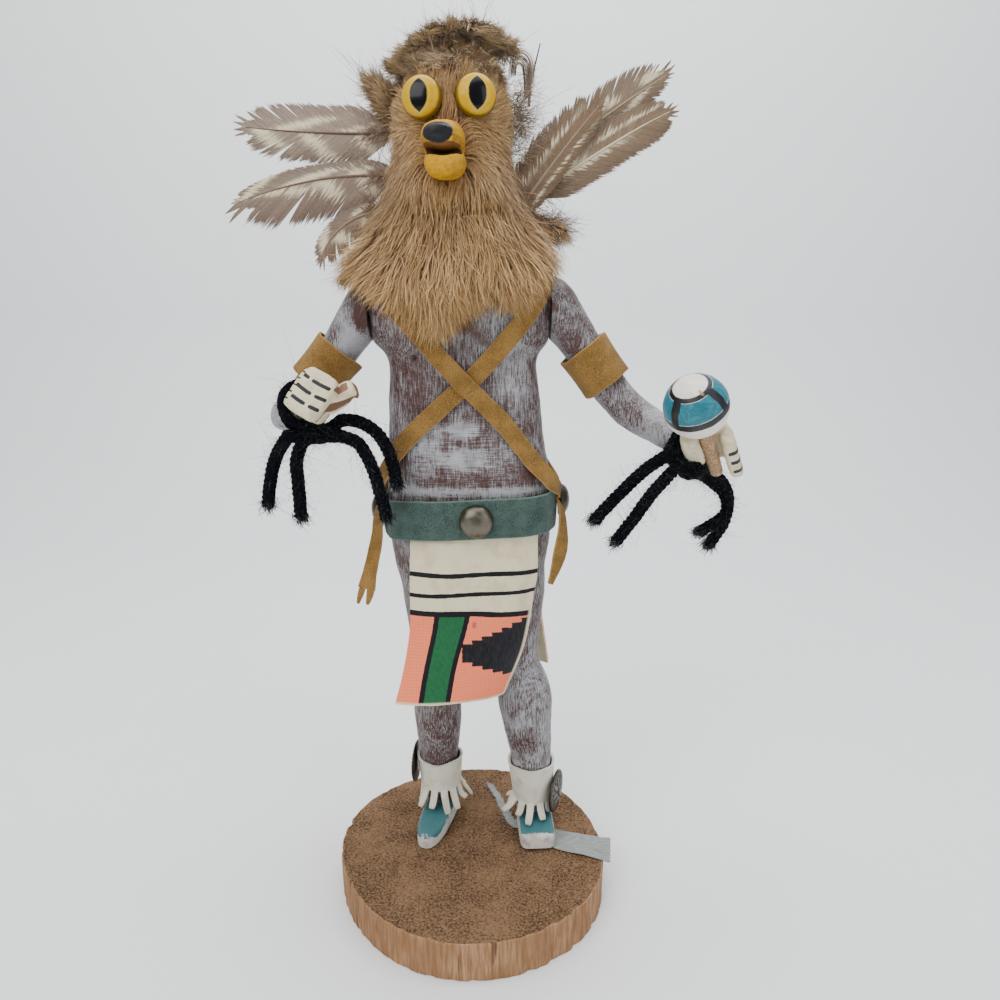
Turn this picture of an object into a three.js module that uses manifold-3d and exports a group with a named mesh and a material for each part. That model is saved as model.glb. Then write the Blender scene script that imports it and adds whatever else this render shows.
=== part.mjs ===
// A carved and painted kachina doll: an animal dancer with a fur head, feathers and leather
// clothing, standing on a slice of log. Units are millimetres, +Z is up, the figure faces -Y,
// and +X is at its own left hand. The origin is the centre of the log slice's underside.
import * as THREE from 'three';
import { mergeVertices } from 'three/addons/utils/BufferGeometryUtils.js';
import Module from 'manifold-3d';

const wasm = await Module();
wasm.setup();

// ---- Driving dimensions -------------------------------------------------------------------

const GAP = 0.3; // air left between two pieces that touch
const LEATHER = 1.1; // thickness of the suede and the painted leather
const BELT_LEATHER = 1.4;
const ON_BODY = 0.8; // leather laid round the body stands this far off it
const TAPE = 0.4;

const BASE_RADIUS = 55.6;
const BASE_HEIGHT = 16;
const BASE_SIDES = 40;

const FOOT_THICKNESS = 6;
const RIGHT_FOOT_BOTTOM = BASE_HEIGHT + GAP;
const LEFT_FOOT_BOTTOM = BASE_HEIGHT + 2 * GAP + TAPE;

const SHOULDER_SEAM_RIGHT = -37.3; // the figure's right arm is glued on at this X
const SHOULDER_SEAM_LEFT = 30.6;

const BELT_HEIGHT = 15.6;
const BELT_BOTTOM = 153.2;
const BELT_SLOPE = 0.045; // the belt sits higher at the figure's left hip
const STRAP_WIDTH = 7;

const KILT_TOP = 160;
const EYE_RADIUS = 6.45;
const EYE_DOME = 4.6;
const EYE_RIM = 1.4;
const STUD_RADIUS = 6.5;
const STUD_DOME = 4.2;
const STUD_RIM = 0.6;
const CONCHO_RADIUS = 9.1;
const CONCHO_HEIGHT = 2.6;
const CONCHO_RIM = 0.8;
const BALL_RADIUS = 11.4;
const STICK_RADIUS = 2.4;
const STICK_REACH = 36; // from the rattle ball's centre to the stick's far end
const YARN = 4.8;
const WRIST_RADIUS = 5.2;
const SKIN_ROOM = 1.7; // between the wrist and the yarn that is wound round it
const KNOT = [5.8, 3.8, 3.4]; // half-sizes of the yarn's knots

// ---- Vectors and small helpers ------------------------------------------------------------

const v = (x, y, z) => new THREE.Vector3(x, y, z);
const X = v(1, 0, 0);
const Y = v(0, 1, 0);
const Z = v(0, 0, 1);
const TAU = 2 * Math.PI;
const mix = (a, b, t) => a + (b - a) * t;
const clamp01 = (t) => Math.min(1, Math.max(0, t));
const smooth = (t) => clamp01(t) ** 2 * (3 - 2 * clamp01(t));
const bump = (x, centre, width) => Math.exp(-(((x - centre) / width) ** 2));
const signedPower = (value, exponent) => Math.sign(value) * Math.abs(value) ** exponent;

// A value read off a list of [position, value] stops, straight between them.
function along(stops, position) {
  const last = stops.length - 1;
  if (position <= stops[0][0]) return stops[0][1];
  for (let i = 0; i < last; i += 1) {
    const [from, a] = stops[i];
    const [to, b] = stops[i + 1];
    if (position <= to) return mix(a, b, (position - from) / (to - from));
  }
  return stops[last][1];
}

// ---- Closed solids ------------------------------------------------------------------------

function volumeOf(positions, index) {
  const [a, b, c] = [v(0, 0, 0), v(0, 0, 0), v(0, 0, 0)];
  let volume = 0;
  for (let i = 0; i < index.length; i += 3) {
    a.fromArray(positions, 3 * index[i]);
    b.fromArray(positions, 3 * index[i + 1]);
    c.fromArray(positions, 3 * index[i + 2]);
    volume += a.dot(b.clone().cross(c)) / 6;
  }
  return volume;
}

// A geometry from points and triangles, turned so that its faces point out.
function geometryOf(points, index) {
  const positions = points.flatMap((point) => [point.x, point.y, point.z]);
  if (volumeOf(positions, index) < 0) index.reverse();
  const geometry = new THREE.BufferGeometry();
  geometry.setAttribute('position', new THREE.Float32BufferAttribute(positions, 3));
  geometry.setIndex(index);
  return geometry;
}

// One ring of a loft: a superellipse in the plane of two unit directions.
function ring(centre, right, front, halfWidth, halfDepth, square, sides) {
  return Array.from({ length: sides }, (_, i) => {
    const angle = (TAU * (i + 0.5)) / sides;
    const across = signedPower(Math.cos(angle), 2 / square) * halfWidth;
    const deep = signedPower(Math.sin(angle), 2 / square) * halfDepth;
    return centre.clone().addScaledVector(right, across).addScaledVector(front, deep);
  });
}

const middle = (points) =>
  points.reduce((sum, point) => sum.add(point), v(0, 0, 0)).divideScalar(points.length);

// A closed body through a stack of rings that all have the same number of points.
function loft(rings) {
  const sides = rings[0].length;
  const points = rings.flat();
  const index = [];
  for (let k = 0; k < rings.length - 1; k += 1) {
    for (let i = 0; i < sides; i += 1) {
      const j = (i + 1) % sides;
      const [a, b] = [k * sides + i, k * sides + j];
      index.push(a, b, b + sides, a, b + sides, a + sides);
    }
  }
  const start = points.push(middle(rings[0])) - 1;
  const end = points.push(middle(rings[rings.length - 1])) - 1;
  const top = (rings.length - 1) * sides;
  for (let i = 0; i < sides; i += 1) {
    const j = (i + 1) % sides;
    index.push(start, j, i, end, top + i, top + j);
  }
  return geometryOf(points, index);
}

// A closed loop of equal sections, such as a band round an arm.
function hoop(sections) {
  const count = sections.length;
  const sides = sections[0].length;
  const points = sections.flat();
  const index = [];
  for (let k = 0; k < count; k += 1) {
    const next = (k + 1) % count;
    for (let i = 0; i < sides; i += 1) {
      const j = (i + 1) % sides;
      index.push(k * sides + i, k * sides + j, next * sides + j);
      index.push(k * sides + i, next * sides + j, next * sides + i);
    }
  }
  return geometryOf(points, index);
}

// A sheet between a front and a back grid of points, closed round its edge.
function sheetBetween(frontGrid, backGrid) {
  const rows = frontGrid.length;
  const columns = frontGrid[0].length;
  const points = [...frontGrid.flat(), ...backGrid.flat()];
  const back = rows * columns;
  const at = (row, column) => row * columns + column;
  const index = [];
  for (let r = 0; r < rows - 1; r += 1) {
    for (let c = 0; c < columns - 1; c += 1) {
      const [a, b, d, e] = [at(r, c), at(r, c + 1), at(r + 1, c + 1), at(r + 1, c)];
      index.push(a, b, d, a, d, e);
      index.push(back + a, back + d, back + b, back + a, back + e, back + d);
    }
  }
  const edge = [];
  for (let c = 0; c < columns - 1; c += 1) edge.push(at(0, c));
  for (let r = 0; r < rows - 1; r += 1) edge.push(at(r, columns - 1));
  for (let c = columns - 1; c > 0; c -= 1) edge.push(at(rows - 1, c));
  for (let r = rows - 1; r > 0; r -= 1) edge.push(at(r, 0));
  edge.forEach((a, i) => {
    const b = edge[(i + 1) % edge.length];
    index.push(b, a, back + a, b, back + a, back + b);
  });
  return geometryOf(points, index);
}

// Unit directions at each point of a route: along it, and two across it.
function frames(points, reference) {
  return points.map((point, i) => {
    const before = points[Math.max(0, i - 1)];
    const after = points[Math.min(points.length - 1, i + 1)];
    const tangent = after.clone().sub(before).normalize();
    const right = reference.clone().addScaledVector(tangent, -reference.dot(tangent)).normalize();
    return { point, tangent, right, front: tangent.clone().cross(right) };
  });
}

// The unit direction at an angle round an axis, in the plane of two unit directions.
const around = (right, front, angle) =>
  right.clone().multiplyScalar(Math.cos(angle)).addScaledVector(front, Math.sin(angle));

// A limb through [x, y, z, half-width, half-depth] stations.
function limb(stations, reference, sides, square = 2.2, grow = 0) {
  const route = frames(stations.map(([x, y, z]) => v(x, y, z)), reference);
  return loft(route.map(({ point, right, front }, i) => {
    const [, , , a, b] = stations[i];
    return ring(point, right, front, a + grow, b + grow, square, sides);
  }));
}

function manifoldOf(geometry) {
  const plain = geometry.clone();
  plain.deleteAttribute('normal');
  plain.deleteAttribute('uv');
  const merged = mergeVertices(plain, 1e-4);
  return new wasm.Manifold(new wasm.Mesh({
    numProp: 3,
    vertProperties: new Float32Array(merged.attributes.position.array),
    triVerts: new Uint32Array(merged.index.array),
  }));
}

function geometryFrom(manifold) {
  const mesh = manifold.getMesh();
  const geometry = new THREE.BufferGeometry();
  const positions = new Float32Array(mesh.vertProperties);
  geometry.setAttribute('position', new THREE.BufferAttribute(positions, 3));
  geometry.setIndex(new THREE.BufferAttribute(new Uint32Array(mesh.triVerts), 1));
  return geometry;
}

const join = (...geometries) =>
  geometryFrom(geometries.map(manifoldOf).reduce((sum, part) => sum.add(part)));
const cut = (geometry, ...tools) => geometryFrom(
  tools.map(manifoldOf).reduce((rest, tool) => rest.subtract(tool), manifoldOf(geometry)),
);

// Drops the slivers that a cut leaves beside the main piece.
function mainPiece(geometry) {
  const pieces = manifoldOf(geometry).decompose();
  pieces.sort((a, b) => b.volume() - a.volume());
  return geometryFrom(pieces[0]);
}

function box(low, high) {
  const geometry = new THREE.BoxGeometry(high.x - low.x, high.y - low.y, high.z - low.z);
  return geometry.translate((low.x + high.x) / 2, (low.y + high.y) / 2, (low.z + high.z) / 2);
}

// Turns a shape made round +Z so that +Z points along a direction, and moves it to a place.
function aim(geometry, direction, place) {
  const turn = new THREE.Quaternion().setFromUnitVectors(Z, direction.clone().normalize());
  return geometry.applyQuaternion(turn).translate(place.x, place.y, place.z);
}

// ---- Colours ------------------------------------------------------------------------------

const paint = (color, roughness, metalness = 0) =>
  new THREE.MeshStandardMaterial({ color, roughness, metalness });
const MATERIALS = {
  log: paint(0x8a6648, 0.9),
  body: paint(0x7d6a6c, 0.8),
  suede: paint(0xa5793c, 0.95),
  green_suede: paint(0x4f7a6c, 0.95),
  white_leather: paint(0xdcd5c0, 0.7),
  kilt: paint(0xe39a7d, 0.7),
  moccasin: paint(0x4c8a90, 0.75),
  steel: paint(0x6d675f, 0.35, 1),
  fur: paint(0xa07c52, 1),
  dark_fur: paint(0x6c4c35, 1),
  feather: paint(0x84705f, 0.8),
  eye: paint(0xd9a90f, 0.1),
  snout: paint(0xc98d22, 0.6),
  yarn: paint(0x16161c, 1),
  rattle: paint(0x1f8a9c, 0.6),
  stick: paint(0xb58e62, 0.7),
  tape: paint(0x8b908d, 0.5),
};

const doll = new THREE.Group();

function add(name, geometry, material) {
  const mesh = new THREE.Mesh(geometry, MATERIALS[material]);
  mesh.name = name;
  doll.add(mesh);
}

// ---- The log slice ------------------------------------------------------------------------

const baseRadius = (angle) => BASE_RADIUS
  + 1.1 * Math.cos(2 * (angle + 0.42))
  + 0.6 * Math.cos(3 * (angle - 0.92))
  + 0.6 * Math.cos(4 * (angle + 0.41));

function buildBase() {
  const outline = Array.from({ length: BASE_SIDES }, (_, i) => {
    const angle = (TAU * i) / BASE_SIDES;
    const radius = baseRadius(angle);
    return new THREE.Vector2(radius * Math.cos(angle), radius * Math.sin(angle));
  });
  add('log_slice_base', new THREE.ExtrudeGeometry(new THREE.Shape(outline), {
    depth: BASE_HEIGHT,
    bevelEnabled: false,
  }), 'log');
}

// ---- The carved body: legs, torso, neck and head in one ------------------------------------

// Each row is [z, centre x, half-width, centre y, half-depth, squareness].
const TORSO = [
  [112, -0.4, 13, 16, 8, 2.2],
  [118, -0.4, 24, 16, 13.5, 2.4],
  [130, -0.4, 29, 16, 17, 2.6],
  [150, -0.4, 32.4, 16, 18.2, 2.6],
  [170, -0.6, 33, 16, 18.4, 2.6],
  [188, -1.7, 31.2, 15.5, 17.6, 2.6],
  [206, -2.3, 29.6, 15, 17.2, 2.6],
  [221, -2.8, 28.8, 14.5, 17.2, 2.6],
  [228, -3.3, 33.5, 14.3, 17, 2.8],
  [238, -3.4, 35.6, 14, 16.4, 3],
  [248, -3.4, 34.6, 14, 14.6, 2.8],
  [255, -4, 28, 14, 12.4, 2.4],
  [261, -4.6, 15, 13.4, 10.4, 2.2],
  [270, -5.2, 12, 12.8, 10.4, 2],
];
const HEAD = [
  [268, 8, 8],
  [273, 14, 13.5],
  [282, 18, 17.4],
  [296, 19, 18.4],
  [310, 18.4, 18],
  [319, 15, 15],
  [325, 8.5, 8.5],
];
const HEAD_X = -5.5;
const HEAD_Y = 12.6;

// Leg stations run from the top of the foot to inside the hips.
const RIGHT_LEG = [
  [-15.2, 23, 23, 6.4, 7],
  [-15.3, 22.6, 36, 7.4, 7.8],
  [-15.6, 22, 48, 8.5, 8.8],
  [-15.7, 20.5, 58, 9.6, 10],
  [-15.7, 19, 68, 10.4, 11],
  [-15.5, 17.5, 78, 10, 10.6],
  [-15.4, 16.2, 92, 9.8, 10.2],
  [-15.3, 16, 108, 11.4, 12],
  [-15.2, 16, 126, 14, 14.5],
  [-15, 16, 146, 15.8, 16],
];
const LEFT_LEG = [
  [26.4, 15.6, 24, 6.3, 7],
  [26.2, 15, 33, 7.1, 7.7],
  [25.5, 14, 47, 8.6, 9],
  [24.7, 13.4, 57, 9.5, 10],
  [23.4, 13, 67, 10.7, 11.2],
  [22.6, 13, 77, 11.6, 11.8],
  [21.4, 13.4, 84, 11, 11.6],
  [18.9, 14.4, 94, 9.6, 10.4],
  [17.8, 15.4, 106, 10.6, 11.6],
  [16.6, 16, 126, 13.8, 14.4],
  [15, 16, 146, 15.6, 16],
];

const torsoSection = (z) => {
  const read = (column) => along(TORSO.map((row) => [row[0], row[column]]), z);
  return { x: read(1), a: read(2), y: read(3), b: read(4), square: read(5) };
};

// A point on the torso at a height and an angle, pushed out by an offset. Angle 0 is +X and
// a quarter turn back (-90 degrees) is the front.
function onTorso(angle, z, offset) {
  const { x, a, y, b, square } = torsoSection(z);
  const [c, s] = [Math.cos(angle), Math.sin(angle)];
  const px = signedPower(c, 2 / square) * a;
  const py = signedPower(s, 2 / square) * b;
  const slope = v(signedPower(px / a, square - 1) / a, signedPower(py / b, square - 1) / b, 0);
  return v(x + px, y + py, z).addScaledVector(slope.normalize(), offset);
}

const torsoSolid = (grow) => loft(TORSO.map(([z, x, a, y, b, square]) =>
  ring(v(x, y, z), X, Y, a + grow, b + grow, square, 20)));
const headSolid = (grow) => loft(HEAD.map(([z, a, b], i) => {
  const rise = i === 0 ? -grow : i === HEAD.length - 1 ? grow : 0;
  return ring(v(HEAD_X, HEAD_Y, z + rise), X, Y, a + grow, b + grow, 2, 10);
}));

// The shoulders are cut flat where the arms are glued on.
function bodySolid() {
  const body = join(torsoSolid(0), headSolid(0), limb(RIGHT_LEG, X, 10), limb(LEFT_LEG, X, 10));
  const far = 90;
  return cut(
    body,
    box(v(SHOULDER_SEAM_RIGHT - far, -far, 200), v(SHOULDER_SEAM_RIGHT, far, 270)),
    box(v(SHOULDER_SEAM_LEFT, -far, 215), v(SHOULDER_SEAM_LEFT + far, far, 270)),
  );
}

// ---- Feet ---------------------------------------------------------------------------------

// A moccasin sole shape, toe at the front, turned about its ankle.
function foot(toe, heel, toeWidth, heelWidth, roundness, bottom) {
  const axis = toe.clone().sub(heel);
  const length = axis.length();
  const outline = [];
  const steps = 18;
  for (let i = 0; i < steps; i += 1) {
    const angle = (TAU * (i + 0.5)) / steps;
    const isToe = Math.cos(angle) > 0;
    const square = isToe ? roundness : 3;
    const x = (length / 2) * signedPower(Math.cos(angle), 2 / square);
    const half = mix(heelWidth, toeWidth, (x / length) + 0.5) / 2;
    outline.push(new THREE.Vector2(x, half * signedPower(Math.sin(angle), 2 / square)));
  }
  const bevel = 0.8;
  const geometry = new THREE.ExtrudeGeometry(new THREE.Shape(outline), {
    depth: FOOT_THICKNESS - bevel,
    bevelThickness: bevel,
    bevelSize: bevel,
    bevelOffset: -bevel,
    bevelSegments: 1,
    steps: 1,
  });
  // The bevel of the underside is cut away, so that the sole is flat.
  const sole = box(v(-length, -length, -2 * bevel), v(length, length, 0));
  const centre = toe.clone().add(heel).multiplyScalar(0.5);
  return cut(geometry, sole)
    .rotateZ(Math.atan2(axis.y, axis.x))
    .translate(centre.x, centre.y, bottom);
}

function buildFeet() {
  add('right_moccasin', foot(
    new THREE.Vector2(-20.4, -5), new THREE.Vector2(-12.6, 32), 11.6, 14.6, 2.6,
    RIGHT_FOOT_BOTTOM,
  ), 'moccasin');
  add('left_moccasin', foot(
    new THREE.Vector2(28.1, -6), new THREE.Vector2(26.2, 27), 15, 15.4, 7, LEFT_FOOT_BOTTOM,
  ), 'moccasin');
}

// ---- Arms and hands -----------------------------------------------------------------------

const RIGHT_ARM = [
  [-32, 14, 242, 11, 12],
  [SHOULDER_SEAM_RIGHT - GAP, 14, 239.6, 11.2, 12.4],
  [-43.2, 14, 234.6, 8.6, 10.6],
  [-49, 14, 226.6, 7.5, 8.6],
  [-56, 13.4, 217.6, 7.3, 7.8],
  [-64, 12, 207.4, 6.9, 7.2],
  [-70, 9, 200.3, 6.3, 7],
  [-67.6, 1, 200.6, 6.2, 6.2],
  [-62.6, -7, 203, 5.7, 5.7],
  [-57.6, -15, 206, 5.2, 5.2],
];
const LEFT_ARM = [
  [26, 14, 242.6, 10.6, 12],
  [SHOULDER_SEAM_LEFT + GAP, 14, 240.6, 10.8, 12.4],
  [36.8, 14, 234.8, 8.8, 10.4],
  [43.6, 14, 225.6, 7.6, 8.6],
  [53.4, 14, 212, 7.2, 7.8],
  [58.6, 13.8, 205.4, 7, 7.2],
  [63.6, 12.4, 200.6, 6.9, 6.9],
  [71, 6.4, 196, 6.1, 6.3],
  [82, -2.4, 189.4, 5.2, 5.2],
];

// A rounded block with its own axes, for the parts of a hand.
function block(centre, axes, halfSizes, grow, taper = [1, 1]) {
  const [lengthways, across, out] = axes;
  const [length, width, depth] = halfSizes;
  const [start, end] = taper;
  const stops = [[-1, 0.74 * start], [-0.78, 0.97 * start], [0.78, 0.97 * end], [1, 0.74 * end]];
  return loft(stops.map(([place, size]) => ring(
    centre.clone().addScaledVector(lengthways, place * (length + grow)),
    across, out, width * size + grow, depth * size + grow, 4, 8,
  )));
}

// Unit axes from the grip's direction and the side that the fingers are on.
function gripAxes(grip, fingers) {
  const g = grip.clone().normalize();
  const f = fingers.clone().addScaledVector(g, -fingers.dot(g)).normalize();
  return { g, f, o: g.clone().cross(f) };
}

const RATTLE_BALL = v(80.1, -20, 205.9);
const RATTLE_AXIS = v(0.404, 0.527, -0.748).normalize();
const onStick = (distance) => RATTLE_BALL.clone().addScaledVector(RATTLE_AXIS, distance);

// The left fist: fingers at its outer side, thumb at its inner side, open to the front.
function leftHand(grow) {
  const { g, f, o } = gripAxes(RATTLE_AXIS, X);
  const place = (a, b, c) => onStick(a).addScaledVector(f, b).addScaledVector(o, c);
  const axes = [g, f, o];
  const fingers = block(place(29, 7, -1.6), axes, [10.4, 2.9, 6.4], grow, [0.95, 0.9]);
  const palm = block(place(24.5, 0.4, -5.8), axes, [8.2, 8.6, 3], grow);
  const thumb = block(place(20.4, -6, -0.8), axes, [7.2, 4.9, 5.4], grow, [0.6, 0.72]);
  return join(fingers, palm, thumb);
}

// The right fist is empty: the fingers lie in front of the palm and the thumb sticks out.
const RIGHT_FIST = v(-52.6, -23.4, 210.2);
function rightHand(grow) {
  const { g, f, o } = gripAxes(v(-0.52, -0.3, -0.8), v(-0.1, -1, 0.2));
  const place = (a, b, c) =>
    RIGHT_FIST.clone().addScaledVector(g, a).addScaledVector(f, b).addScaledVector(o, c);
  const axes = [g, f, o];
  const fingers = block(place(0, 0, 0), axes, [8.6, 2.9, 6.8], grow, [0.92, 0.92]);
  const knuckles = block(place(0.4, -3.6, 5.2), axes, [7.6, 5, 2.6], grow);
  const palm = block(place(0.6, -7, 0.6), axes, [7, 3, 6.6], grow);
  const reach = v(0.85, -0.1, 0.5).normalize();
  const thumbSide = g.clone().addScaledVector(reach, -g.dot(reach)).normalize();
  const thumbAxes = [reach, thumbSide, reach.clone().cross(thumbSide)];
  const thumb = block(place(-4.6, -4.4, -7), thumbAxes, [6.8, 3.5, 3.2], grow, [1, 0.95]);
  return join(fingers, knuckles, palm, thumb);
}

// ---- Yarn ---------------------------------------------------------------------------------

// A wrap of yarn round a wrist, with its knot, as one solid.
const WRIST_WRAPS = {
  right: { centre: v(-60.2, -10.8, 204.3), along: v(5, -8, 3), knot: v(-52.6, -14.6, 195.6) },
  left: { centre: v(78.4, 0.5, 191.7), along: v(11, -8.8, -6.6), knot: v(83, -7.4, 181) },
};
function yarnWrap({ centre, along: direction, knot }) {
  const axis = direction.clone().normalize();
  const right = Z.clone().addScaledVector(axis, -Z.dot(axis)).normalize();
  const front = axis.clone().cross(right);
  const thick = YARN / 2;
  const wrapRadius = WRIST_RADIUS + SKIN_ROOM + thick;
  const sides = 9;
  const sections = Array.from({ length: sides }, (_, i) => {
    const angle = (TAU * i) / sides;
    const out = around(right, front, angle);
    const place = centre.clone().addScaledVector(out, wrapRadius);
    return ring(place, out, axis, thick, thick, 2, 6);
  });
  const bead = new THREE.SphereGeometry(1, 8, 6).scale(...KNOT).translate(knot.x, knot.y, knot.z);
  // The doubled yarn between the wrap's lowest point and the knot.
  const low = centre.clone().addScaledVector(right, -wrapRadius);
  const link = limb([low, knot].map(({ x, y, z }) => [x, y, z, thick, thick]), Z, 6);
  return join(hoop(sections), bead, link);
}

// The loose ends hang from each knot in pairs. Each list is one end's route.
const YARN_ENDS = {
  yarn_end_right_1: [
    [-63, -20.2, 195.4], [-67, -17.6, 190.2], [-70.4, -15.2, 184], [-72.6, -14, 176],
    [-73.8, -13, 168.2],
  ],
  yarn_end_right_2: [
    [-57.8, -19, 194.2], [-60.6, -19, 187], [-61, -17.8, 178], [-60.8, -16.6, 164.4],
  ],
  yarn_end_right_3: [
    [-45.6, -15.6, 195], [-39, -15.4, 192], [-34.6, -14, 182.4], [-32, -12.6, 171],
    [-30.2, -11.4, 162.6],
  ],
  yarn_end_right_4: [
    [-45.8, -12, 200.2], [-40, -12, 199.8], [-33.4, -11, 195.6], [-28.8, -10, 187],
    [-26.4, -9, 174.6],
  ],
  yarn_end_left_1: [
    [76, -8.4, 187.6], [71.4, -10.6, 186], [63.6, -11, 180.4], [55.6, -10, 171.8],
    [46.6, -8, 161.2],
  ],
  yarn_end_left_2: [
    [76.6, -11.6, 182.8], [72.6, -13.4, 179.2], [66.8, -13.6, 172.4], [60.8, -13, 163],
    [54.4, -12, 154],
  ],
  yarn_end_left_3: [
    [88.4, 2, 178.2], [94, 5.2, 174.6], [100.4, 6, 168.6], [100.8, 5.6, 160.4], [90, 4.4, 153.4],
  ],
  yarn_end_left_4: [
    [85.6, 5.4, 180.8], [94.6, 11, 178.4], [103.4, 12.4, 168.6], [103, 12, 156.6],
    [96.2, 10.4, 146],
  ],
};

function yarnTube(route) {
  const stations = route.map(([x, y, z]) => v(x, y, z));
  const curve = new THREE.CatmullRomCurve3(stations, false, 'centripetal');
  const section = new THREE.Shape(Array.from({ length: 8 }, (_, i) => {
    const angle = (TAU * i) / 8;
    return new THREE.Vector2((YARN / 2) * Math.cos(angle), (YARN / 2) * Math.sin(angle));
  }));
  return new THREE.ExtrudeGeometry(section, { steps: 4, extrudePath: curve });
}

function buildYarn() {
  // The yarn is soft: where it lies against the wood it is flattened.
  add('wrist_yarn_right', mainPiece(cut(yarnWrap(WRIST_WRAPS.right), rightHand(GAP))), 'yarn');
  add('wrist_yarn_left', mainPiece(cut(yarnWrap(WRIST_WRAPS.left), leftHand(GAP))), 'yarn');
  Object.entries(YARN_ENDS).forEach(([name, route]) => add(name, yarnTube(route), 'yarn'));
}

const rightArm = (grow) => join(limb(RIGHT_ARM, Z, 10, 2.2, grow), rightHand(grow));
const leftArm = (grow) => join(limb(LEFT_ARM, Z, 10, 2.2, grow), leftHand(grow));
const rattleStick = (grow) => {
  const radius = STICK_RADIUS + grow;
  const stick = new THREE.CylinderGeometry(radius, radius, STICK_REACH, 10)
    .rotateX(Math.PI / 2)
    .translate(0, 0, STICK_REACH / 2);
  return aim(stick, RATTLE_AXIS, RATTLE_BALL);
};
const rattleBall = (grow) => {
  const ball = new THREE.SphereGeometry(BALL_RADIUS + grow, 14, 8).rotateX(Math.PI / 2);
  return aim(ball, RATTLE_AXIS, RATTLE_BALL);
};

function buildArms() {
  // Each arm ends in a flat face at its shoulder seam.
  const insideRight = box(v(SHOULDER_SEAM_RIGHT - GAP, -20, 200), v(0, 50, 280));
  const insideLeft = box(v(0, -20, 200), v(SHOULDER_SEAM_LEFT + GAP, 50, 280));
  add('right_arm', cut(rightArm(0), insideRight), 'body');
  add('left_arm', cut(leftArm(0), rattleStick(GAP), insideLeft), 'body');
  add('rattle_ball', rattleBall(0), 'rattle');
  add('rattle_stick', cut(rattleStick(0), rattleBall(GAP)), 'stick');
}

// ---- Bands, belt and straps ---------------------------------------------------------------

// A leather band round a limb between two points on its axis.
function band(from, to, startRadius, endRadius, thickness) {
  const axis = to.clone().sub(from).normalize();
  const right = Y.clone().addScaledVector(axis, -Y.dot(axis)).normalize();
  const front = axis.clone().cross(right);
  const sides = 12;
  const sections = Array.from({ length: sides }, (_, i) => {
    const angle = (TAU * i) / sides;
    const out = around(right, front, angle);
    return [
      from.clone().addScaledVector(out, startRadius),
      to.clone().addScaledVector(out, endRadius),
      to.clone().addScaledVector(out, endRadius + thickness),
      from.clone().addScaledVector(out, startRadius + thickness),
    ];
  });
  return hoop(sections);
}

function buildArmbands() {
  add('right_armband', band(v(-50, 14, 224.6), v(-61, 12.4, 211.8), 9.1, 8.5, LEATHER), 'suede');
  add('left_armband', band(v(43.6, 14, 225.4), v(53.8, 14, 211.6), 9.1, 8.7, LEATHER), 'suede');
}

// How far the belt stands off the hips: over the kilt's tucked top it is lifted.
const KILT_LIFT = LEATHER + 2 * GAP;
function beltOffset(angle) {
  const fromFront = Math.abs(Math.sin(angle));
  return ON_BODY + KILT_LIFT * smooth((fromFront - 0.3) / 0.35);
}
const beltBottomAt = (x) => BELT_BOTTOM + BELT_SLOPE * x;

function beltSolid() {
  const sides = 24;
  const sections = Array.from({ length: sides }, (_, i) => {
    const angle = (TAU * i) / sides;
    const bottom = beltBottomAt(onTorso(angle, BELT_BOTTOM, 0).x);
    const top = bottom + BELT_HEIGHT;
    const inner = beltOffset(angle);
    const outer = inner + BELT_LEATHER;
    return [
      onTorso(angle, bottom, inner),
      onTorso(angle, top, inner),
      onTorso(angle, top, outer),
      onTorso(angle, bottom, outer),
    ];
  });
  return hoop(sections);
}

function buildBelt() {
  add('belt', beltSolid(), 'green_suede');
}

const OVER_BELT = ON_BODY + BELT_LEATHER + 3 * GAP;
const CROSS_Z = 212; // the straps cross on the chest and the back at this height
const LIFT_Z = 184; // below this height they rise to lie over the belt
const EASE = 8; // a strap rises and sinks over this height
const HIP_Z = 164; // the height at which they turn round the hips
const HIP_PINCH = 0.5; // share of a strap's width left there

// The angle on the torso at an X, on its front (side -1) or its back (side 1).
function torsoAngle(x, z, side) {
  const section = torsoSection(z);
  const share = THREE.MathUtils.clamp((x - section.x) / section.a, -1, 1);
  return side * Math.acos(signedPower(share, section.square / 2));
}

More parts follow.
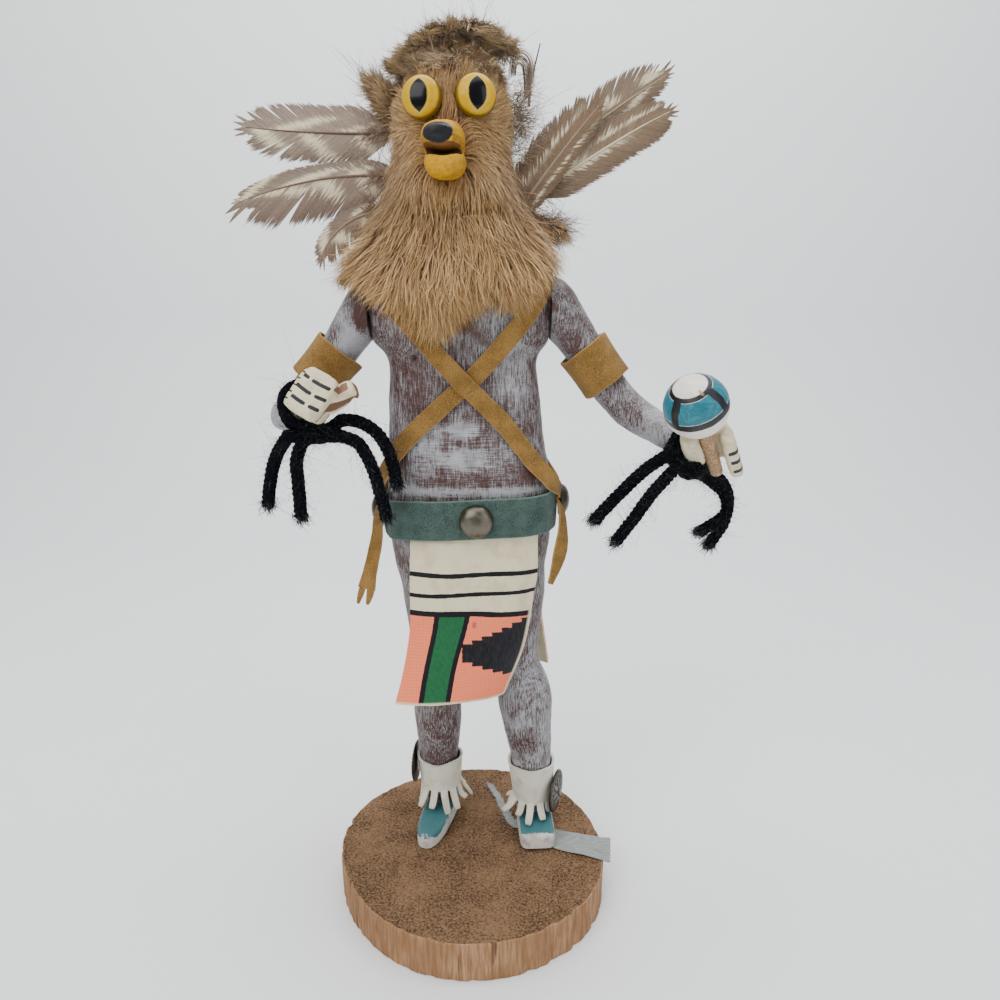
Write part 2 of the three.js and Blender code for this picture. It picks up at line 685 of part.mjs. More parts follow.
// A bandolier: over one shoulder, across chest and back, and round the hip over the belt. It
// is a loop of [x, z] stations on the front; the back repeats them. hip is +1 or -1 in X, and
// lean tilts the strap to the shoulder's slope.
function bandolier({ hip, shoulder, stations, crossLift, tail, width, grow }) {
  const lift = (z) => ON_BODY
    + crossLift * smooth(1.9 - Math.abs(z - CROSS_Z) / EASE)
    + (OVER_BELT - ON_BODY) * smooth((LIFT_Z - z) / EASE);
  const surface = (x, z, side) => {
    const angle = torsoAngle(x, z, side);
    const point = onTorso(angle, z, lift(z));
    return { point, out: onTorso(angle, z, lift(z) + 1).sub(point) };
  };
  const front = stations.map(([x, z]) => surface(x, z, -1));
  const back = stations.map(([x, z]) => surface(x, z, 1)).reverse();
  const hipAngle = hip > 0 ? 0 : Math.PI;
  const hipPoint = onTorso(hipAngle, HIP_Z, OVER_BELT);
  const over = (y, z) => ({ point: v(shoulder.x, y, z), out: v(shoulder.lean, (y - 14) / 14, 1) });
  const loop = [
    over(5.4, shoulder.z - 3), ...front, { point: hipPoint, out: v(hip, 0, 0) }, ...back,
    over(22.6, shoulder.z - 3), over(18.6, shoulder.z), over(9.4, shoulder.z),
  ];
  const section = ({ point, out }, before, after, half) => {
    const tangent = after.clone().sub(before).normalize();
    const side = out.clone().cross(tangent).normalize();
    const up = tangent.clone().cross(side).normalize();
    return [[-1, -grow], [1, -grow], [1, LEATHER + grow], [-1, LEATHER + grow]].map(([s, t]) =>
      point.clone().addScaledVector(side, s * (half + grow)).addScaledVector(up, t));
  };
  const count = loop.length;
  const sections = loop.map((place, i) => {
    const pinch = mix(1, HIP_PINCH, bump(place.point.distanceTo(hipPoint), 0, 10));
    const before = loop[(i + count - 1) % count].point;
    const after = loop[(i + 1) % count].point;
    return section(place, before, after, (width * pinch) / 2);
  });
  const end = tail.map(([x, y, z, w, outX, outY]) => (
    { point: v(x, y, z), w, out: v(outX, outY, 0) }
  ));
  const tailRings = end.map((place, i) => section(
    place, end[Math.max(0, i - 1)].point, end[Math.min(end.length - 1, i + 1)].point, place.w / 2,
  ));
  return join(hoop(sections), loft(tailRings));
}

// Over the figure's right shoulder to its left hip; this one lies on top where they cross.
const UPPER_STRAP = {
  hip: 1,
  shoulder: { x: -29.6, z: 257.6, lean: -0.5 },
  crossLift: LEATHER + 2 * GAP,
  stations: [
    [-29.4, 248], [-26.4, 240.4], [-20.6, 233.6], [-10, 221.6], [-5.4, 216.6], [-1.2, 212],
    [3.4, 207.6], [13.8, 196.4], [24.2, 182], [28.6, 175], [31.8, 170.6],
  ],
  tail: [
    [34.6, 11.4, 166, 3, 0.9, -0.5], [36, 8, 161, 3.4, 0.75, -0.66],
    [36.4, 6.2, 154, 4.6, 0.6, -0.8],
    [35.8, 5.4, 147, 6.2, 0.5, -0.86], [34.2, 4.8, 140, 5, 0.5, -0.86],
    [31.6, 3.4, 132.6, 2.2, 0.5, -0.86],
  ],
};
// Over the figure's left shoulder to its right hip, ending in a forked tail.
const LOWER_STRAP = {
  hip: -1,
  shoulder: { x: 26.4, z: 254.4, lean: 0.9 },
  crossLift: 0,
  stations: [
    [26.8, 248.4], [23.4, 240.4], [17.6, 232.4], [5, 218], [-1.2, 212], [-6, 207.8],
    [-16.6, 198], [-22.8, 191.8], [-29, 183.4], [-32.2, 172.6],
  ],
  tail: [
    [-35.8, 11, 166, 3, -0.9, -0.5], [-36.6, 7, 160, 4.4, -0.6, -0.8],
    [-36.6, 3, 153, 5, -0.4, -0.9],
    [-38, 0, 145, 5.4, -0.3, -0.95], [-39.6, -1.4, 138, 6, -0.3, -0.95],
    [-41, -2.2, 131.6, 7.4, -0.3, -0.95],
    [-42.4, -2.8, 126.4, 6, -0.3, -0.95],
  ],
};

function buildStraps() {
  const strap = (rules, grow) => bandolier({ ...rules, width: STRAP_WIDTH, grow });
  const fork = box(v(-42.4, -12, 120), v(-40.6, 6, 130.6));
  const lower = cut(strap(LOWER_STRAP, 0), fork);
  const upper = strap(UPPER_STRAP, 0);
  add('shoulder_strap_upper', upper, 'suede');
  add('shoulder_strap_lower', lower, 'suede');
}

// ---- Studs and conchos --------------------------------------------------------------------

// A domed disc of sheet metal, solid, with a small flat rim.
function dome(radius, height, rim, sides) {
  const steps = 3;
  const arc = Array.from({ length: steps + 1 }, (_, i) => {
    const angle = (Math.PI / 2) * (i / steps);
    const across = i === steps ? 0 : radius * Math.cos(angle);
    return new THREE.Vector2(across, rim + (height - rim) * Math.sin(angle));
  });
  const profile = [new THREE.Vector2(0, 0), new THREE.Vector2(radius, 0), ...arc];
  return new THREE.LatheGeometry(profile, sides).rotateX(Math.PI / 2);
}

const HIP_STUD_OUT = OVER_BELT + LEATHER + 5 * GAP;
const FRONT_STUD = { x: 2.6, z: 160.9 };
function buildStuds() {
  const stud = (direction, place) =>
    aim(dome(STUD_RADIUS, STUD_DOME, STUD_RIM, 11), direction, place);
  const frontAngle = torsoAngle(FRONT_STUD.x, FRONT_STUD.z, -1);
  const frontOut = beltOffset(frontAngle) + BELT_LEATHER + GAP;
  const front = onTorso(frontAngle, FRONT_STUD.z, frontOut);
  const left = onTorso(0, HIP_Z + 0.7, HIP_STUD_OUT);
  const right = onTorso(Math.PI, HIP_Z - 3, HIP_STUD_OUT);
  add('belt_stud_front', stud(v(0, -1, 0), front), 'steel');
  add('belt_stud_left', stud(X, left), 'steel');
  add('belt_stud_right', stud(v(-1, 0, 0), right), 'steel');
}

// ---- Kilt ---------------------------------------------------------------------------------

// A hanging panel of painted leather. left, right and the two forward lists are [z, value]
// stops; hem is the height of its lower edge across the width.
const FRONT_PANEL = {
  side: -1,
  left: [[94, -27.4], [104, -24.9], [116, -23], [125, -22.6], [150, -23], [160, -23.2]],
  right: [[89, 12.1], [93.4, 14.2], [107, 20], [120, 23], [131, 24.4], [139, 25.8], [160, 26]],
  forwardLeft: [[94, -24.5], [104, -18.5], [116, -12.2], [125, -9], [139, -6], [152, 0]],
  forwardRight: [[89, -8], [104, -4.6], [120, -3.4], [139, -2], [152, 0]],
  hem: (s) => 94.4 - 4.6 * s ** 1.6,
};
const BACK_PANEL = {
  side: 1,
  left: [[84, -27], [120, -25], [160, -24]],
  right: [[84, 33.4], [120, 28.6], [160, 27]],
  forwardLeft: [[84, 5], [120, 2], [152, 0]],
  forwardRight: [[84, 4], [120, 1.6], [152, 0]],
  hem: (s) => 86 - 2 * s,
};

function panelPoint(panel, s, t) {
  const z = mix(KILT_TOP, panel.hem(s), t);
  const x = mix(along(panel.left, z), along(panel.right, z), s);
  const held = Math.max(z, 152);
  const topX = mix(along(panel.left, held), along(panel.right, held), s);
  const start = onTorso(torsoAngle(topX, held, panel.side), held, ON_BODY);
  const y = start.y + mix(along(panel.forwardLeft, z), along(panel.forwardRight, z), s ** 1.3);
  return v(x, y, z);
}

function panelSolid(panel) {
  const [rows, columns] = [8, 5];
  const grid = (offset) => Array.from({ length: rows + 1 }, (_, r) =>
    Array.from({ length: columns + 1 }, (_, c) => {
      const [s, t] = [c / columns, r / rows];
      const step = 0.01;
      const at = (u, w) => panelPoint(panel, clamp01(u), clamp01(w));
      const across = at(s + step, t).sub(at(s - step, t));
      const down = at(s, t + step).sub(at(s, t - step));
      const out = across.cross(down).normalize();
      if (Math.sign(out.y) !== panel.side) out.negate();
      return panelPoint(panel, s, t).addScaledVector(out, offset);
    }));
  return sheetBetween(grid(0), grid(LEATHER));
}

function buildKilt() {
  add('kilt_front_panel', panelSolid(FRONT_PANEL), 'kilt');
  add('kilt_back_panel', panelSolid(BACK_PANEL), 'kilt');
}

// ---- Leg cuffs ----------------------------------------------------------------------------

const legAt = (stations, z) => {
  const read = (column) => along(stations.map((row) => [row[2], row[column]]), z);
  return { x: read(0), y: read(1), a: read(3), b: read(4) };
};

// A leather cuff: a snug tube whose lower part is cut into strips that splay over the foot.
function cuff({ leg, top, waist, footTop, turn, concho, conchoAngle }) {
  const sides = 11;
  const wall = (angle, z, out) => {
    const { x, y, a, b } = legAt(leg, z);
    return v(x + (a + out) * Math.cos(angle), y + (b + out) * Math.sin(angle), z);
  };
  const sections = Array.from({ length: sides }, (_, i) => {
    const angle = (TAU * i) / sides;
    const levels = [[waist - 1, 0.9], [mix(waist, top, 0.5), 0.9], [top, 1.2]];
    const inner = levels.map(([z, out]) => wall(angle, z, out));
    const outer = levels.map(([z, out]) => wall(angle, z, out + LEATHER)).reverse();
    return [...inner, ...outer];
  });
  const strips = 9;
  const fringe = Array.from({ length: strips }, (_, i) => {
    const angle = turn + (TAU * i) / strips;
    // The strips under the concho hang straight.
    const covered = Math.max(0, Math.cos(angle - conchoAngle)) ** 3;
    const splay = (4.6 + 1.4 * Math.cos(2.4 * i)) * (1 - 0.9 * covered);
    const drop = waist - footTop - 1 - 0.8 * Math.sin(1.7 * i);
    const direction = v(Math.cos(angle), Math.sin(angle), 0);
    const side = v(-Math.sin(angle), Math.cos(angle), 0);
    const root = wall(angle, waist, 0.9);
    const rings = [[-1.2, 0, 2], [0.45 * drop, 0.3 * splay, 2.2], [drop, splay, 2.4]];
    return loft(rings.map(([down, out, half]) => {
      const inner = root.clone().addScaledVector(direction, out).addScaledVector(Z, -down);
      const rise = (LEATHER * out) / 6;
      const lean = direction.clone().multiplyScalar(LEATHER).addScaledVector(Z, rise);
      return [
        inner.clone().addScaledVector(side, -half),
        inner.clone().addScaledVector(side, half),
        inner.clone().addScaledVector(side, half).add(lean),
        inner.clone().addScaledVector(side, -half).add(lean),
      ];
    }));
  });
  return cut(join(hoop(sections), ...fringe), concho(GAP));
}

const conchoSolid = (place, direction) => (grow) => {
  const disc = dome(CONCHO_RADIUS + grow, CONCHO_HEIGHT + grow, CONCHO_RIM, 14);
  return aim(disc.translate(0, 0, -grow), direction, place);
};
const RIGHT_CONCHO = conchoSolid(v(-25.9, 23.4, 40.6), v(-0.99, 0.12, 0));
const LEFT_CONCHO = conchoSolid(v(36.1, 11.2, 33.4), v(0.93, -0.37, 0));

function buildCuffs() {
  add('right_leg_cuff', cuff({
    leg: RIGHT_LEG, top: 45, waist: 32, footTop: RIGHT_FOOT_BOTTOM + FOOT_THICKNESS, turn: 0.1,
    concho: RIGHT_CONCHO, conchoAngle: 3.02,
  }), 'white_leather');
  add('left_leg_cuff', cuff({
    leg: LEFT_LEG, top: 47.6, waist: 30.6, footTop: LEFT_FOOT_BOTTOM + FOOT_THICKNESS, turn: -0.25,
    concho: LEFT_CONCHO, conchoAngle: -0.38,
  }), 'white_leather');
  add('right_concho', RIGHT_CONCHO(0), 'steel');
  add('left_concho', LEFT_CONCHO(0), 'steel');
}

// ---- Fur ----------------------------------------------------------------------------------

// The face, cheeks and beard are one pelt. Each row is [z, centre x, half-width, centre y,
// half-depth]; below the last row the beard runs down to its uneven hem.
const PELT = [
  [326.6, -5.5, 8, 12.6, 8],
  [324, -5.5, 13.4, 12.6, 13],
  [317, -5.6, 19.4, 12.6, 18.2],
  [308, -5.6, 22.4, 12.6, 20.4],
  [298, -5.6, 23, 12.6, 20.8],
  [288, -5.8, 24.4, 12.4, 21],
  [278, -5.4, 28.6, 11.6, 21.2],
  [268, -5.4, 33.6, 9.6, 20.4],
  [260, -6, 36.6, 5, 17],
  [252, -7.4, 38.8, 1, 13.6],
];
const BEARD_HEM = [
  [-49, 243], [-42, 240.4], [-35, 236.4], [-28, 233.6], [-22, 228.4], [-16, 226.4],
  [-11, 228.8], [-5, 237.6],
  [1, 243], [7, 239.4], [13, 236.2], [19, 242.4], [27, 248], [33, 250],
];
const BEARD_DEPTHS = [[0.4, 38.6, 0.2, 12.4], [0.75, 38.4, -0.8, 10.8], [1, 37.6, -1.6, 8.4]];

function peltSolid(grow) {
  const sides = 20;
  const rings = PELT.map(([z, x, a, y, b], i) =>
    ring(v(x, y, z + (i === 0 ? grow : 0)), X, Y, a + grow, b + grow, 2.1, sides));
  const [lowest, x] = PELT[PELT.length - 1];
  BEARD_DEPTHS.forEach(([share, a, y, b]) => {
    rings.push(ring(v(x - 1, y, 0), X, Y, a + grow, b + grow, 2.1, sides).map((point) =>
      v(point.x, point.y, mix(lowest, along(BEARD_HEM, point.x) - grow, share))));
  });
  return loft(rings);
}

// A tuft of fur as a tapering limb of [x, y, z, half-width, half-depth] stations.
const CROWN_TUFT = [
  [-31, 11, 318, 2.4, 3], [-25, 11, 322.4, 4.6, 7.6], [-15, 12, 328.4, 5.2, 12],
  [-5, 12.6, 331.6, 5, 13.4],
  [6, 12.6, 331.8, 4.8, 12.4], [14, 12.6, 329.4, 4.2, 9], [20, 13, 326, 2.2, 4],
];
const EAR_TUFT = [
  [-26, 15, 308, 5, 6], [-31.4, 15.6, 312.4, 5.2, 5.4], [-36, 16.4, 317, 3.4, 3.4],
  [-39.4, 17, 322, 1, 1],
];
const NECK_RUFF = [
  [-36, 19, 268, 3, 4], [-31, 28, 270, 6, 8], [-20, 35, 273, 6.6, 11], [-4, 38, 274, 6.8, 12],
  [13, 35.4, 274, 6.6, 11], [25, 28, 272, 6.2, 8.6], [31.6, 19, 270, 4.6, 7.4],
  [33.6, 12, 268, 2, 4],
];

// ---- Face ---------------------------------------------------------------------------------

const EYES = {
  right_eye: { place: v(-14.3, -7.4, 307.4), direction: v(-0.2, -1, 0.02) },
  left_eye: { place: v(3.5, -7.4, 308), direction: v(0.2, -1, 0.04) },
};
const eyeSolid = ({ place, direction }) =>
  aim(dome(EYE_RADIUS, EYE_DOME, EYE_RIM, 14), direction, place);

// The carved muzzle: an upper jaw with the nose, a round lower jaw and the open mouth.
function muzzleSolid() {
  const upper = limb([
    [-7.2, -9.1, 292.4, 7, 6.6], [-7.4, -14, 292.8, 6.4, 5.4], [-7.6, -20, 292.8, 5.2, 4],
    [-7.8, -22.8, 292.4, 3.2, 2.2],
  ], X, 10, 2.4);
  const lower = limb([
    [-6.4, -10.4, 285.6, 6.9, 6], [-6.4, -15, 284.8, 6.7, 5.6], [-6.4, -19, 284.2, 5.2, 4.4],
    [-6.4, -21.2, 284, 2.8, 2.2],
  ], X, 10, 2.2);
  const mouth = box(v(-16, -30, 287.4), v(4, -13, 289.6));
  return cut(join(upper, lower), mouth);
}

function buildHead() {
  // The beard hangs over the straps, so it clears the chest by more than their thickness.
  const room = 5;
  const chest = loft(TORSO.filter(([z]) => z > 210).map(([z, x, a, y, b, square]) =>
    ring(v(x, y, z), X, Y, a + room, b + room, square, 14)));
  const underFur = join(chest, headSolid(GAP));
  const arms = join(limb(RIGHT_ARM, Z, 10, 2.2, GAP), limb(LEFT_ARM, Z, 10, 2.2, GAP));
  const straps = [UPPER_STRAP, LOWER_STRAP].map((rules) =>
    bandolier({ ...rules, width: STRAP_WIDTH, grow: GAP }));
  add('fur_face_and_beard', mainPiece(cut(peltSolid(0), underFur, arms, ...straps)), 'fur');
  const pelt = peltSolid(GAP);
  add('fur_crown_tuft', cut(limb(CROWN_TUFT, Z, 8), pelt), 'fur');
  add('fur_ear_tuft', cut(limb(EAR_TUFT, Z, 6), pelt), 'fur');
  add('fur_neck_ruff', mainPiece(cut(limb(NECK_RUFF, Z, 8), pelt)), 'dark_fur');
  add('muzzle', muzzleSolid(), 'snout');
  Object.entries(EYES).forEach(([name, eye]) => add(name, eyeSolid(eye), 'eye'));
}

// ---- Feathers -----------------------------------------------------------------------------

// A feather is a thin blade along its shaft. up and down are its vane widths at the middle.
const FACING_RIGHT = v(0, -1, 0.1);
const FACING_LEFT = v(0.1, -1, 0.1);
const FEATHERS = {
  feather_right_1: {
    shaft: [[-25, 16, 302.4], [-56.8, 18, 303.2], [-83.6, 20, 305.7]],
    up: 11,
    down: 10.5,
    facing: FACING_RIGHT,
  },
  feather_right_2: {
    shaft: [[-24, 12, 286.6], [-54.9, 13.4, 286.1], [-87, 15, 278.1]],
    up: 6,
    down: 14,
    facing: FACING_RIGHT,
  },
  feather_right_3: {
    shaft: [[-30, 9, 275], [-46, 9, 269.4], [-55.4, 9, 257]],
    up: 4.6,
    down: 7.4,
    facing: FACING_RIGHT,
  },
  feather_left_1: {
    shaft: [[16, 14, 272], [33, 18, 294.6], [49, 22, 314]],
    up: 7,
    down: 5,
    facing: FACING_LEFT,
  },
  feather_left_2: {
    shaft: [[22, 20, 280], [54.5, 24, 301], [76.7, 27, 313]],
    up: 5.4,
    down: 8.4,
    facing: FACING_LEFT,
  },
  feather_left_3: {
    shaft: [[18, 27, 286], [49, 31, 310], [76.1, 34, 328]],
    up: 9,
    down: 6,
    facing: FACING_LEFT,
  },
};
const FEATHER_SHAFT = 1.1;

function featherBlade({ shaft, up, down, facing }) {
  const [root, halfway, tip] = shaft.map((place) => v(...place));
  // The curve passes through the middle one of the three points.
  const control = halfway.clone().multiplyScalar(2)
    .addScaledVector(root, -0.5)
    .addScaledVector(tip, -0.5);
  const curve = new THREE.QuadraticBezierCurve3(root, control, tip);
  const stations = 7;
  return loft(Array.from({ length: stations + 1 }, (_, i) => {
    const t = i / stations;
    const point = curve.getPoint(t);
    const tangent = curve.getTangent(t);
    const side = facing.clone().cross(tangent).normalize();
    if (side.z < 0) side.negate();
    const out = tangent.clone().cross(side).normalize();
    const vane = Math.max(0.12, smooth(t / 0.34) * Math.sqrt(1 - t ** 7));
    const thick = (FEATHER_SHAFT / 2) * mix(1, 0.4, t);
    return [
      point.clone().addScaledVector(side, up * vane),
      point.clone().addScaledVector(out, thick),
      point.clone().addScaledVector(side, -down * vane),
      point.clone().addScaledVector(out, -thick),
    ];
  }));
}

// The small curled plume beside the left temple and the bare quill that stands up from it.
const PLUME = [
  [20, 18, 318, 1, 3], [23.6, 18, 324.4, 0.8, 3.4], [27.2, 18, 322, 0.7, 3],
  [27.6, 18, 314.6, 0.6, 2.4],
  [25, 18, 309.4, 0.5, 1.4],
];
const QUILL = [[24.6, 21, 312, 0.8, 0.8], [25, 21, 320, 0.7, 0.7], [27.4, 21, 334, 0.35, 0.35]];

function buildFeathers() {
  const pelt = peltSolid(GAP);
  const ruff = limb(NECK_RUFF, Z, 8, 2.2, GAP);
  const ear = limb(EAR_TUFT, Z, 6, 2.2, GAP);
  Object.entries(FEATHERS).forEach(([name, feather]) => {
    add(name, cut(featherBlade(feather), pelt, ruff, ear), 'feather');
  });
  const crown = limb(CROWN_TUFT, Z, 8, 2.2, GAP);
  add('feather_curled_plume', cut(limb(PLUME, Y, 8), pelt, crown), 'feather');
  add('feather_bare_quill', cut(limb(QUILL, Y, 6), pelt, crown), 'feather');
}

// ---- The strip of grey tape under the left foot --------------------------------------------

function buildTape() {
  const low = BASE_HEIGHT + GAP;
  const strip = new THREE.Shape([
    [22, 3.6], [36.5, -5.6], [47, -9], [57.8, -13.8], [60, 0.9], [47, 4.2], [36.5, 7], [24, 12.4],
  ].map(([x, y]) => new THREE.Vector2(x, y)));
  const torn = new THREE.CatmullRomCurve3(
    [[25, 8], [17.5, 12], [13.4, 22], [10, 32], [5.3, 42]].map(([x, y]) => v(x, y, 0)),
  );
  const steps = 6;
  const edge = (sign) => Array.from({ length: steps + 1 }, (_, i) => {
    const t = i / steps;
    const tangent = torn.getTangent(t);
    const half = mix(2.3, 1.2, t) * sign;
    const point = torn.getPoint(t);
    return new THREE.Vector2(point.x - tangent.y * half, point.y + tangent.x * half);
  });
  const tail = new THREE.Shape([...edge(1), ...edge(-1).reverse()]);
  const sheet = (shape) => new THREE.ExtrudeGeometry(shape, { depth: TAPE, bevelEnabled: false })
    .translate(0, 0, low);
  add('tape_strip', join(sheet(strip), sheet(tail)), 'tape');
}

add('body_and_head', bodySolid(), 'body');
buildBase();
buildFeet();
buildArms();
buildArmbands();
buildBelt();
buildStraps();
buildStuds();
buildKilt();
buildCuffs();
buildHead();
buildFeathers();
buildYarn();
buildTape();

export default doll;
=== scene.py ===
"""A carved and painted kachina doll on a slice of log, dressed in fur, feathers and leather.

Pieces are worked out in millimetres in the frame's own axes: +Z up, the figure faces -Y and +X is
at its own left hand. They are turned into metres when their mesh is made.
"""

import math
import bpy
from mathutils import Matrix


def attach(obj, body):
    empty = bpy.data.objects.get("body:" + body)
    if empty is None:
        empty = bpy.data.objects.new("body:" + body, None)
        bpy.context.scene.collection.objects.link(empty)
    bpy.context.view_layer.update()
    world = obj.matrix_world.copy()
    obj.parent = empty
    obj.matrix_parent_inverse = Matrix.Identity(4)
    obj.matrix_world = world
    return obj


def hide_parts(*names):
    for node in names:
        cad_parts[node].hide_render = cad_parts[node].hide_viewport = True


bl_info = {
    "name": "Kachina doll",
    "version": (1, 0, 0),
    "blender": (4, 5, 0),
    "location": "View3D > Sidebar > Kachina",
    "description": "Builds a fur-headed kachina doll with its feathers, leather clothing and rattle",
    "category": "Add Mesh",
}

import bmesh
import bpy
import numpy as np
from mathutils import Vector, kdtree, noise

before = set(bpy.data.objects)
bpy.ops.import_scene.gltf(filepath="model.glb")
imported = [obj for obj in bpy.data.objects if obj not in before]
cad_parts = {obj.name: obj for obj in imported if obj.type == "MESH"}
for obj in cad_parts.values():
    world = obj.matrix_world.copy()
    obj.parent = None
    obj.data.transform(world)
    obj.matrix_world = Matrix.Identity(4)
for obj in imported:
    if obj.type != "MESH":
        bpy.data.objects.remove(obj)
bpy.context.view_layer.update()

MM = 0.001
BODY = "root"
X = np.array([1.0, 0.0, 0.0])
Y = np.array([0.0, 1.0, 0.0])
Z = np.array([0.0, 0.0, 1.0])
TAU = 2 * math.pi

GAP = 0.3  # air between two pieces that touch
LEATHER = 1.1
BELT_LEATHER = 1.4
ON_BODY = 0.8  # leather laid round the body stands this far off it


# ---- Small helpers ---------------------------------------------------------------------------


def point(x, y, z):
    return np.array([x, y, z], float)


def unit(a):
    a = np.asarray(a, float)
    return a / np.maximum(np.linalg.norm(a, axis=-1, keepdims=True), 1e-9)


def mix(a, b, t):
    return a + (b - a) * t


def smooth(t):
    t = np.clip(t, 0.0, 1.0)
    return t * t * (3 - 2 * t)


def bump(x, centre, width):
    """1 at the centre, falling softly to 0 over the width."""
    return np.exp(-(((x - centre) / width) ** 2))


def signed_power(value, exponent):
    return np.sign(value) * np.abs(value) ** exponent


def rough(points, size, seed=0.0, octaves=3):
    """Smooth random values from about -1 to 1 at each point, with bumps of the given size in mm."""
    out = np.empty(len(points))
    for i, (x, y, z) in enumerate(points):
        out[i] = noise.fractal(((x + seed) / size, (y - seed) / size, z / size), 0.6, 2.0, octaves)
    return out


def eased_between(a, b, c, d, t):
    """The place between b and c on the Catmull-Rom curve through four neighbours."""
    return 0.5 * (2 * b + (c - a) * t + (2 * a - 5 * b + 4 * c - d) * t**2
                  + (3 * b - a - 3 * c + d) * t**3)


def rows_through(rows, per_row):
    """A table's rows with smooth ones between them, on a Catmull-Rom curve."""
    table = np.array(rows, float)
    padded = np.vstack([2 * table[0] - table[1], table, 2 * table[-1] - table[-2]])
    out = []
    for k in range(len(table) - 1):
        a, b, c, d = padded[k : k + 4]
        for i in range(per_row):
            out.append(eased_between(a, b, c, d, i / per_row))
    out.append(table[-1])
    return np.array(out)


# ---- Closed shells ---------------------------------------------------------------------------


def ring(centre, right, front, half_width, half_depth, square, sides):
    """A superellipse in the plane of two unit directions."""
    angle = TAU * (np.arange(sides) + 0.5) / sides
    across = signed_power(np.cos(angle), 2 / square) * half_width
    deep = signed_power(np.sin(angle), 2 / square) * half_depth
    return np.asarray(centre) + across[:, None] * right + deep[:, None] * front


def loft(rings):
    """Points and faces of a closed body through rings that have the same number of points."""
    rings = np.asarray(rings, float)
    count, sides, _ = rings.shape
    faces = []
    for k in range(count - 1):
        for i in range(sides):
            j = (i + 1) % sides
            faces.append((k * sides + i, k * sides + j, (k + 1) * sides + j, (k + 1) * sides + i))
    faces.append(tuple(reversed(range(sides))))
    faces.append(tuple((count - 1) * sides + i for i in range(sides)))
    return rings.reshape(-1, 3), faces


def hoop(sections):
    """Points and faces of a closed loop of equal sections."""
    sections = np.asarray(sections, float)
    count, sides, _ = sections.shape
    faces = []
    for k in range(count):
        n = (k + 1) % count
        for i in range(sides):
            j = (i + 1) % sides
            faces.append((k * sides + i, k * sides + j, n * sides + j, n * sides + i))
    return sections.reshape(-1, 3), faces


def slab(front, back):
    """Points and faces of a sheet between two grids of points, closed round its edge."""
    front, back = np.asarray(front, float), np.asarray(back, float)
    rows, columns, _ = front.shape
    far = rows * columns
    faces = []
    for r in range(rows - 1):
        for c in range(columns - 1):
            a = r * columns + c
            face = (a, a + 1, a + 1 + columns, a + columns)
            faces.append(face)
            faces.append(tuple(far + i for i in reversed(face)))
    edge = [c for c in range(columns - 1)]
    edge += [r * columns + columns - 1 for r in range(rows - 1)]
    edge += [(rows - 1) * columns + c for c in range(columns - 1, 0, -1)]
    edge += [r * columns for r in range(rows - 1, 0, -1)]
    for a, b in zip(edge, edge[1:] + edge[:1]):
        faces.append((b, a, far + a, far + b))
    return np.vstack([front.reshape(-1, 3), back.reshape(-1, 3)]), faces


def merged(*shells):
    points, faces, start = [], [], 0
    for shell_points, shell_faces in shells:
        points.append(shell_points)
        faces += [tuple(start + i for i in face) for face in shell_faces]
        start += len(shell_points)
    return np.vstack(points), faces


def frames_along(points, reference):
    """The unit directions at each point of a route: along it, and two across it."""
    points = np.asarray(points, float)
    tangent = np.empty_like(points)
    tangent[1:-1] = points[2:] - points[:-2]
    tangent[0] = points[1] - points[0]
    tangent[-1] = points[-1] - points[-2]
    tangent = unit(tangent)
    right = unit(reference - (tangent @ reference)[:, None] * tangent)
    return tangent, right, np.cross(tangent, right)


def limb(stations, reference, sides, square=2.2, per_row=6):
    """A closed limb through [x, y, z, half-width, half-depth] stations."""
    table = rows_through(stations, per_row)
    _, right, front = frames_along(table[:, :3], reference)
    return loft([
        ring(row[:3], right[i], front[i], row[3], row[4], square, sides)
        for i, row in enumerate(table)
    ])


def block(centre, axes, half_sizes, taper=(1, 1), square=4.0, rings=18, sides=40):
    """A rounded block with its own axes, for the parts of a hand."""
    lengthways, across, out = axes
    length, width, depth = half_sizes
    stations = np.sin(np.linspace(-0.5, 0.5, rings) * math.pi)
    shells = []
    for s in stations:
        size = (1 - abs(s) ** 5) ** (1 / 5) * 0.92 + 0.08
        size *= mix(taper[0], taper[1], (s + 1) / 2)
        middle = centre + s * length * lengthways
        shells.append(ring(middle, across, out, width * size, depth * size, square, sides))
    return loft(shells)


def ball(centre, radii, sides=24, rings=16):
    angles = np.linspace(0.02, math.pi - 0.02, rings)
    rx, ry, rz = radii
    return loft([
        ring(centre + rz * math.cos(a) * Z, X, Y, rx * math.sin(a), ry * math.sin(a), 2, sides)
        for a in angles
    ])


# ---- Making and finishing objects --------------------------------------------------------------


def new_object(name, mesh, material):
    obj = bpy.data.objects.new(name, mesh)
    bpy.context.scene.collection.objects.link(obj)
    if material is not None:
        mesh.materials.append(material)
    return obj


def mesh_of(name, shell):
    points, faces = shell
    mesh = bpy.data.meshes.new(name)
    mesh.from_pydata((np.asarray(points) * MM).tolist(), [], faces)
    cleaned = bmesh.new()
    cleaned.from_mesh(mesh)
    bmesh.ops.recalc_face_normals(cleaned, faces=cleaned.faces)
    cleaned.to_mesh(mesh)
    cleaned.free()
    return mesh


def make(name, shell, material, nodes=(), sharp=None):
    """An object from a shell, riding on the doll and standing for the CAD nodes it names."""
    mesh = mesh_of(name, shell)
    obj = new_object(name, mesh, material)
    return dress(obj, nodes, sharp)


def dress(obj, nodes=(), sharp=None):
    mesh = obj.data
    mesh.polygons.foreach_set("use_smooth", [True] * len(mesh.polygons))
    if sharp is not None:
        mesh.set_sharp_from_angle(angle=math.radians(sharp))
    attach(obj, BODY)
    if nodes:
        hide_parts(*nodes)
    return obj


